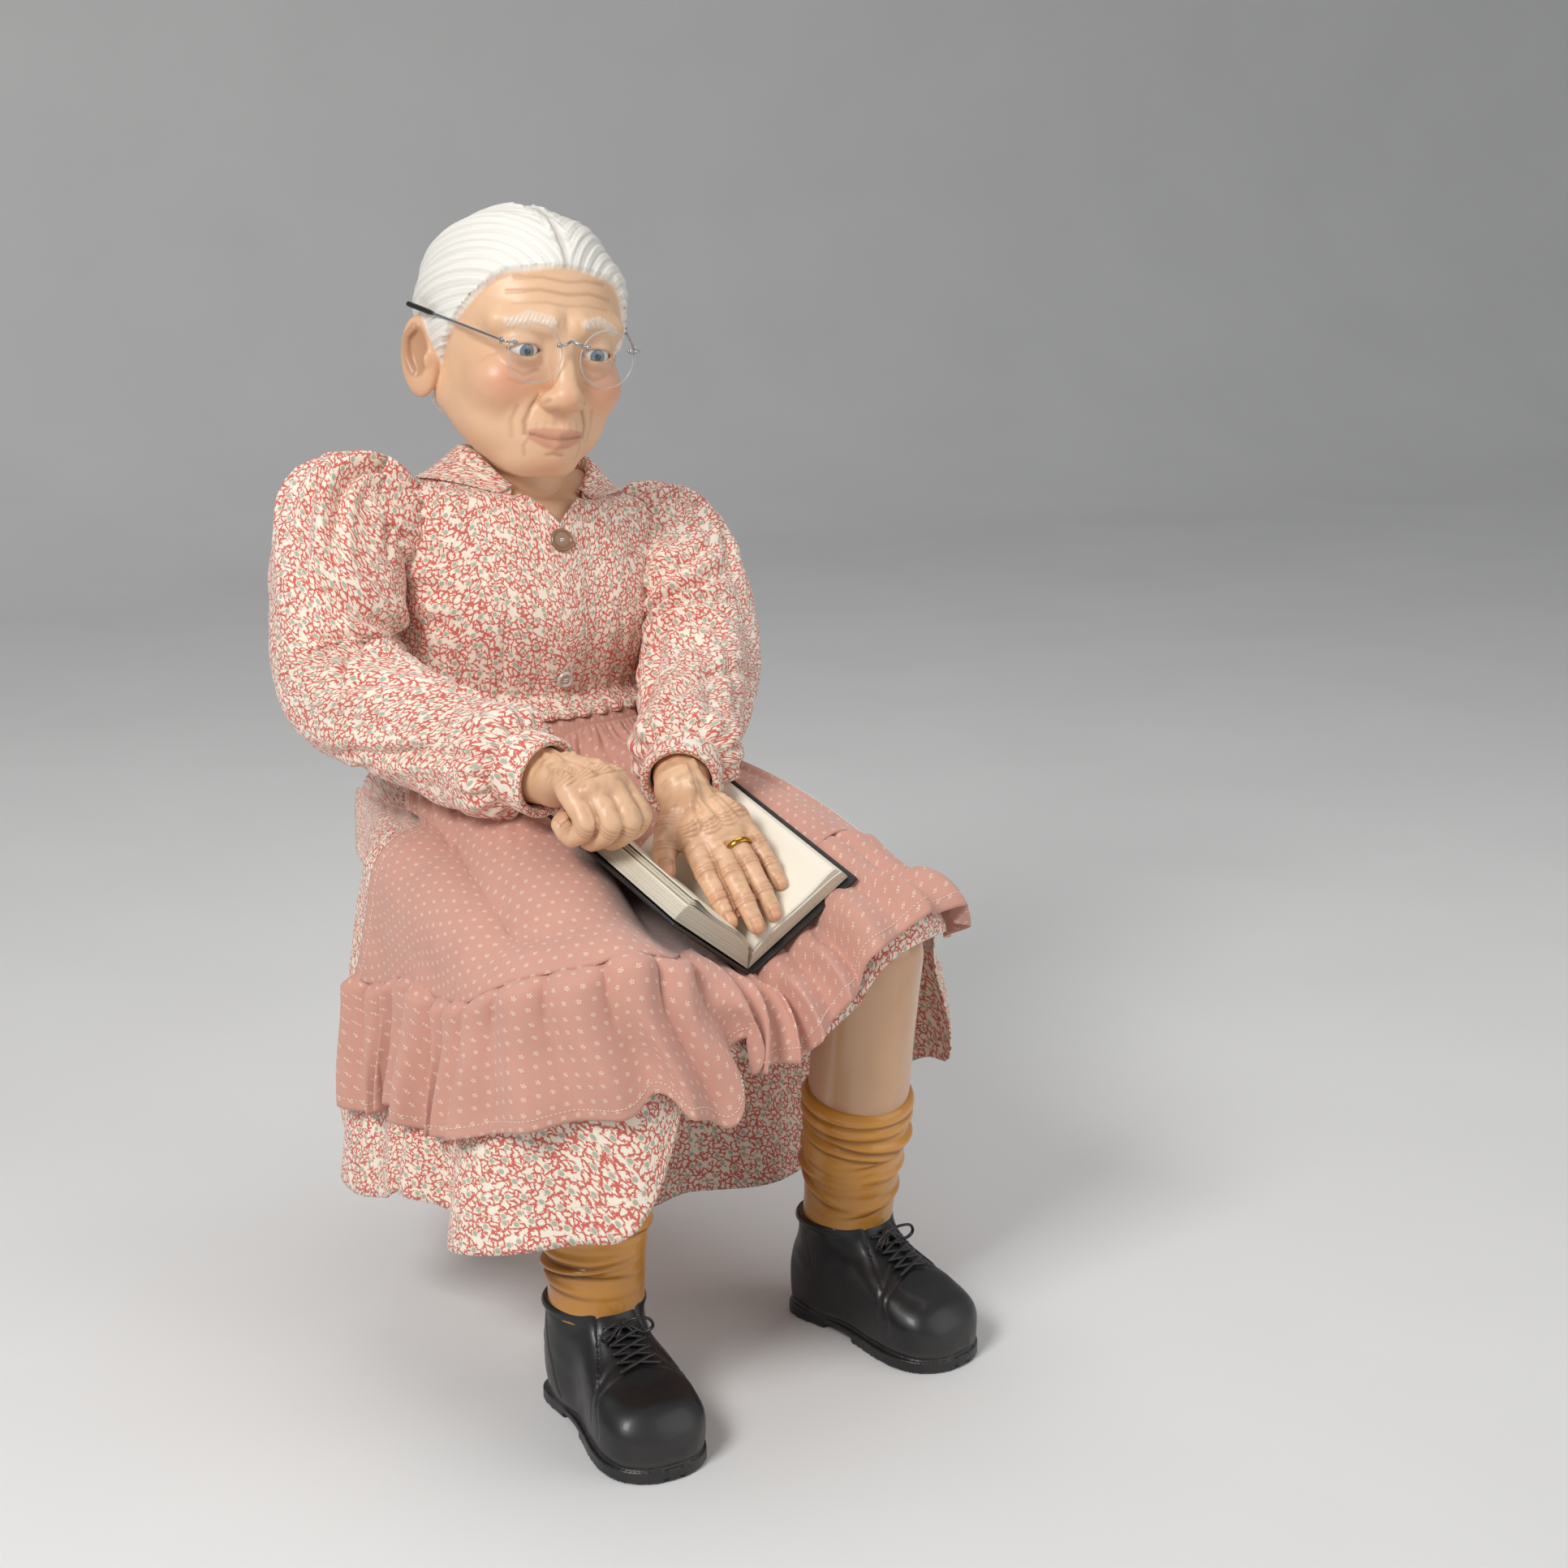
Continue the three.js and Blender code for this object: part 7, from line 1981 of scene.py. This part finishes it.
def page_block(look, name, side, thick, slope):
    """Pages of one half of the book, with its loose leaves."""
    count, page = 60, BOOK["page"]
    w = np.linspace(0, 1, count)
    run = np.array([side * math.cos(slope), math.sin(slope)])
    rise = np.array([-side * math.sin(slope), math.cos(slope)])

    def face(k, h):
        inner = h * math.tan(slope) + FIT
        at = lerp(inner, page - 2.2 * (h / thick) ** 2, k)
        swell = h * (1 - 0.3 * np.exp(-(at - inner) / 7))
        swell = swell + 1.3 * (h / thick) * np.exp(-((at - inner - 20) / 16) ** 2)
        drop = 1.6 * (h / thick) * smooth(0.86, 1, k) ** 2
        return at[..., None] * run + (swell - drop)[..., None] * rise
    levels = np.linspace(FIT, thick, 12)[1:-1]
    fore, gutter = (np.array([face(np.array([k]), h)[0] for h in levels]) for k in (1.0, 0.0))
    outline = np.concatenate([face(w, FIT), fore, face(w, thick)[::-1], gutter[::-1]])
    level = np.concatenate([np.full(count, FIT), levels, np.full(count, thick), levels[::-1]])
    on_edge = np.concatenate([np.zeros(count), np.ones(len(levels))] * 2)
    rings = upright(outline, -np.linspace(0, BOOK["height"], count))
    values = {"layer": np.tile(level, count), "edge": np.tile(on_edge, count)}
    mesh = closed_loft(f"Pages_{name}", from_book(rings), values)
    piece(f"Pages_{name}", mesh, "torso", look, (f"{name}_pages",), "paper")
    levels = np.linspace(FIT, thick, 14)
    ends, faces = [], []
    for k, end in enumerate((0.15, -BOOK["height"] - 0.15)):
        quads = np.array(grid_faces(len(levels), count, False, (end > 0) == (side > 0)))
        faces += (quads + k * count * len(levels)).tolist()
        ends += [np.column_stack([face(w, h), np.full(count, end)]) for h in levels]
    values = {"layer": np.tile(np.repeat(levels, count), 2), "edge": np.ones(len(ends) * count)}
    mesh = mesh_from(f"Page_ends_{name}", from_book(np.concatenate(ends)), faces, values)
    piece(f"Page_ends_{name}", mesh, "torso", look, slot="paper")
    sheets, faces = [], []
    rows, columns = 30, 40
    rng = np.random.default_rng(12 + side)
    for n in range(4):
        k = np.linspace(0.02, 1 - rng.uniform(0.0, 0.03), columns)
        curl = (0.5 + 0.55 * n) + (1.2 + 1.1 * n) * smooth(0.5, 1, k) ** 2 * rng.uniform(0.5, 1.3)
        line = face(k, thick) + curl[:, None] * rise
        heights = -np.linspace(0.3 + rng.uniform(0, 0.8), BOOK["height"] - 0.4, rows)
        sheets.append(upright(line, heights))
        faces += (np.array(grid_faces(rows, columns)) + n * rows * columns).tolist()
    blank_page = np.zeros(len(sheets) * rows * columns)
    mesh = mesh_from(f"Leaves_{name}", from_book(np.concatenate(sheets)), faces,
                     {"layer": blank_page, "edge": blank_page})
    thickened(piece(f"Leaves_{name}", mesh, "torso", look, slot="paper"), 0.25 * MM)


class DOLL_OT_book(bpy.types.Operator):
    """Open book: grained cover, page blocks and loose leaves"""
    bl_idname = "doll.book"
    bl_label = "Book"

    def execute(self, context):
        leather = book_leather(context.scene.doll_extras)
        paper = book_paper(context.scene.doll_extras)
        slopes = [math.radians(a) for a in BOOK["slopes"]]
        book_cover(leather, *slopes)
        for name, side, thick, slope in zip(("left", "right"), (-1, 1), BOOK["thick"], slopes):
            page_block(paper, name, side, thick, slope)
        return {"FINISHED"}


class DOLL_OT_buttons(bpy.types.Operator):
    """Buttons of the bodice"""
    bl_idname = "doll.buttons"
    bl_label = "Buttons"

    def execute(self, context):
        extras = context.scene.doll_extras
        shell = plain("Brown shell", extras.horn, 0.22, grain=260.0, strength=0.1, coat_weight=0.6)
        clear = plain("Clear pearl", extras.pearl, 0.12, grain=240.0, strength=0.06, transmission_weight=0.15,
                      coat_weight=0.8)
        thread = finish(cotton_thread)
        for name, z, radius, shank, look, slot in (("collar_button", 276, 9.5, 0.8, shell, "button"),
                                                   ("waist_button", 172, 7, 1.9, clear, "pearl")):
            grow = FIT + CLOTH + shank
            p, after = (bodice_point(np.array(0.5), np.array(torso_at(level)), grow) for level in (z, z + 4))
            out = unit(np.cross((1.0, 0, 0), after - p))
            a = np.array([1.0, 0, 0])
            b = np.cross(out, a)
            rim = [(1.4, 0.4), (0.4, 1.1), (0, 2.1), (0.5, 3.2), (1.5, 3.7), (2.4, 3.4), (3.2, 2.7)]
            profile = [(0.1, 0.4), *((radius - a, high) for a, high in rim), (radius * 0.35, 2.5), (0.1, 2.5)]
            fine = through(profile, np.linspace(0, 1, 60))[..., None, None]
            rings = p + fine[:, 1] * out + fine[:, 0] * round_about(turns(72)[None], a, b)
            piece(name.title(), closed_loft(name, rings), "torso", look, (name,), slot)
            grids = []
            for s in (-1, 1):
                k = np.linspace(-1, 1, 14)
                line = p + out * (2.5 + 0.7 * (1 - k ** 2))[:, None] + a * (1.5 * k)[:, None] + b * s * 0.75
                grids.append(capped_tube(line, 0.5, 8))
            grids.append(capped_tube([p - out * (shank + 0.4), p + out * 0.6], 1.3, 10, up=(1, 0, 0)))
            piece(f"{name.title()}_thread", joined(name, grids), "torso", thread, slot=slot)
        return {"FINISHED"}


def cotton_thread():
    """Matt twisted cotton thread."""
    return plain("Cotton thread", linear("#efe3d0"), 0.85, grain=900.0, strength=0.3)


def stitch_tree():
    """Stitches of a given spacing, length and thickness along a line."""
    tree = bpy.data.node_groups.new("Stitches", "GeometryNodeTree")
    tree.interface.new_socket("Line", in_out="INPUT", socket_type="NodeSocketGeometry")
    for name, default in (("Spacing", 0.0032), ("Length", 0.0021), ("Thickness", 0.0004)):
        tree.interface.new_socket(name, in_out="INPUT", socket_type="NodeSocketFloat").default_value = default
    tree.interface.new_socket("Thread", in_out="INPUT", socket_type="NodeSocketMaterial")
    tree.interface.new_socket("Stitches", in_out="OUTPUT", socket_type="NodeSocketGeometry")
    start = node(tree, "NodeGroupInput")
    curve = node(tree, "GeometryNodeMeshToCurve", {0: start.outputs["Line"]})
    spots = node(tree, "GeometryNodeResampleCurve",
                 {"Curve": curve.outputs[0], "Length": start.outputs["Spacing"]}, mode="LENGTH")
    way = node(tree, "GeometryNodeInputTangent")
    turn = node(tree, "FunctionNodeAlignRotationToVector", {"Vector": way.outputs[0]}, axis="Z")
    shape = node(tree, "GeometryNodeMeshIcoSphere", {"Radius": 0.5, "Subdivisions": 2})
    thick, long = start.outputs["Thickness"], start.outputs["Length"]
    size = node(tree, "ShaderNodeCombineXYZ", {0: thick, 1: thick, 2: long})
    placed = node(tree, "GeometryNodeInstanceOnPoints",
                  {"Points": spots.outputs[0], "Instance": shape.outputs[0], "Rotation": turn.outputs[0],
                   "Scale": size.outputs[0]})
    real = node(tree, "GeometryNodeRealizeInstances", {0: placed.outputs[0]})
    painted = node(tree, "GeometryNodeSetMaterial",
                   {"Geometry": real.outputs[0], "Material": start.outputs["Thread"]})
    node(tree, "NodeGroupOutput", {0: painted.outputs[0]})
    return tree


class DOLL_OT_stitches(bpy.types.Operator):
    """Stitches along the hems, seams, cuffs and collar"""
    bl_idname = "doll.stitches"
    bl_label = "Stitches"

    def execute(self, context):
        cloth = context.scene.doll_cloth
        tree = stitch_tree()
        keys = {item.name: item.identifier for item in tree.interface.items_tree if item.in_out == "INPUT"}
        thread = finish(cotton_thread)
        for body, lines in STITCH_LINES.items():
            points = np.concatenate(lines) * MM
            edges, start = [], 0
            for line in lines:
                edges += [(start + i, start + i + 1) for i in range(len(line) - 1)]
                start += len(line)
            mesh = bpy.data.meshes.new(f"Stitches_{body}")
            mesh.from_pydata(points.tolist(), edges, [])
            made = bpy.data.objects.new(f"Stitches_{body}", mesh)
            context.scene.collection.objects.link(made)
            rows = made.modifiers.new("Stitches", "NODES")
            rows.node_group = tree
            rows[keys["Spacing"]] = cloth.stitch
            rows[keys["Length"]] = cloth.stitch * 0.66
            rows[keys["Thickness"]] = 0.0007
            rows[keys["Thread"]] = thread
            finished(made)
            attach(made, body)
        return {"FINISHED"}


class DOLL_OT_stage(bpy.types.Operator):
    """Pale floor, soft lamps and the camera"""
    bl_idname = "doll.stage"
    bl_label = "Stage"

    def execute(self, context):
        scene = context.scene
        scene.view_settings.view_transform = "Standard"
        look, tree, shader = blank("Pale floor", roughness=0.9)
        place = node(tree, "ShaderNodeTexCoord").outputs["Object"]
        base, _ = mottled(tree, place, rgba(linear("#e9e8e6")), rgba(linear("#dfdedc")),
                          {"Scale": 3.0, "Detail": 3})
        plug(tree, shader, {"Base Color": base})
        bend = np.linspace(0, math.pi / 2, 16)
        y = np.concatenate([np.linspace(-6, 3.2, 12), 3.2 + 1.2 * np.sin(bend), [4.4]])[:, None]
        z = np.concatenate([np.zeros(12), 1.2 * (1 - np.cos(bend)), [6.0]])[:, None] + SOLE_Z * MM - 0.0005
        grid = np.stack(np.broadcast_arrays(np.linspace(-7, 7, 3), y, z), -1)
        mesh = mesh_from("Floor", grid / MM, grid_faces(len(y), 3, False, True))
        floor = bpy.data.objects.new("Floor", mesh)
        floor.data.materials.append(look)
        scene.collection.objects.link(floor)
        for name, at, aim, size, power in (("Key", (-2.0, -1.3, 1.9), (0, -0.1, 0.15), 0.9, 56),
                                           ("Fill", (1.5, -2.1, 1.0), (0, -0.1, 0.1), 2.2, 17),
                                           ("Top", (0.3, 0.5, 2.6), (0, -0.1, 0.1), 1.8, 17)):
            lamp = bpy.data.lights.new(name, "AREA")
            lamp.size, lamp.energy = size, power
            made = bpy.data.objects.new(name, lamp)
            made.location = at
            made.rotation_euler = (Vector(aim) - Vector(at)).to_track_quat("-Z", "Y").to_euler()
            scene.collection.objects.link(made)
        world = bpy.data.worlds.new("Studio")
        world.use_nodes = True
        world.node_tree.nodes["Background"].inputs[0].default_value = (0.82, 0.84, 0.87, 1)
        world.node_tree.nodes["Background"].inputs[1].default_value = 0.36
        scene.world = world
        camera = bpy.data.cameras.new("Camera")
        camera.lens, camera.sensor_width = 36 * 3000 / 1932, 36
        made = bpy.data.objects.new("Camera", camera)
        made.location = (-0.785, -1.762, 0.553)
        made.rotation_euler = (math.radians(76), 0, math.radians(-30))
        scene.collection.objects.link(made)
        scene.camera = made
        return {"FINISHED"}


OPERATORS = (DOLL_OT_body, DOLL_OT_skirt, DOLL_OT_apron, DOLL_OT_bodice, DOLL_OT_sleeves, DOLL_OT_head,
             DOLL_OT_spectacles, DOLL_OT_hands, DOLL_OT_legs, DOLL_OT_book, DOLL_OT_buttons, DOLL_OT_stitches,
             DOLL_OT_stage)


class DOLL_PT_panel(bpy.types.Panel):
    """Sizes, colours and pieces of the doll"""
    bl_idname = "DOLL_PT_panel"
    bl_label = "Seated Ceramic Doll"
    bl_space_type = "VIEW_3D"
    bl_region_type = "UI"
    bl_category = "Doll"

    def draw(self, context):
        for group in (context.scene.doll_cloth, context.scene.doll_ceramic, context.scene.doll_extras):
            box = self.layout.box()
            for key in group.__annotations__:
                box.prop(group, key)
        for operator in OPERATORS:
            self.layout.operator(operator.bl_idname)


GROUPS = {"doll_cloth": DollCloth, "doll_ceramic": DollCeramic, "doll_extras": DollExtras}


def register():
    for cls in (*GROUPS.values(), *OPERATORS, DOLL_PT_panel):
        bpy.utils.register_class(cls)
    for key, group in GROUPS.items():
        setattr(bpy.types.Scene, key, PointerProperty(type=group))


def unregister():
    for key in GROUPS:
        delattr(bpy.types.Scene, key)
    for cls in reversed((*GROUPS.values(), *OPERATORS, DOLL_PT_panel)):
        bpy.utils.unregister_class(cls)


def main():
    register()
    for operator in OPERATORS:
        group, name = operator.bl_idname.split(".")
        getattr(getattr(bpy.ops, group), name)()


if __name__ == "__main__":
    main()
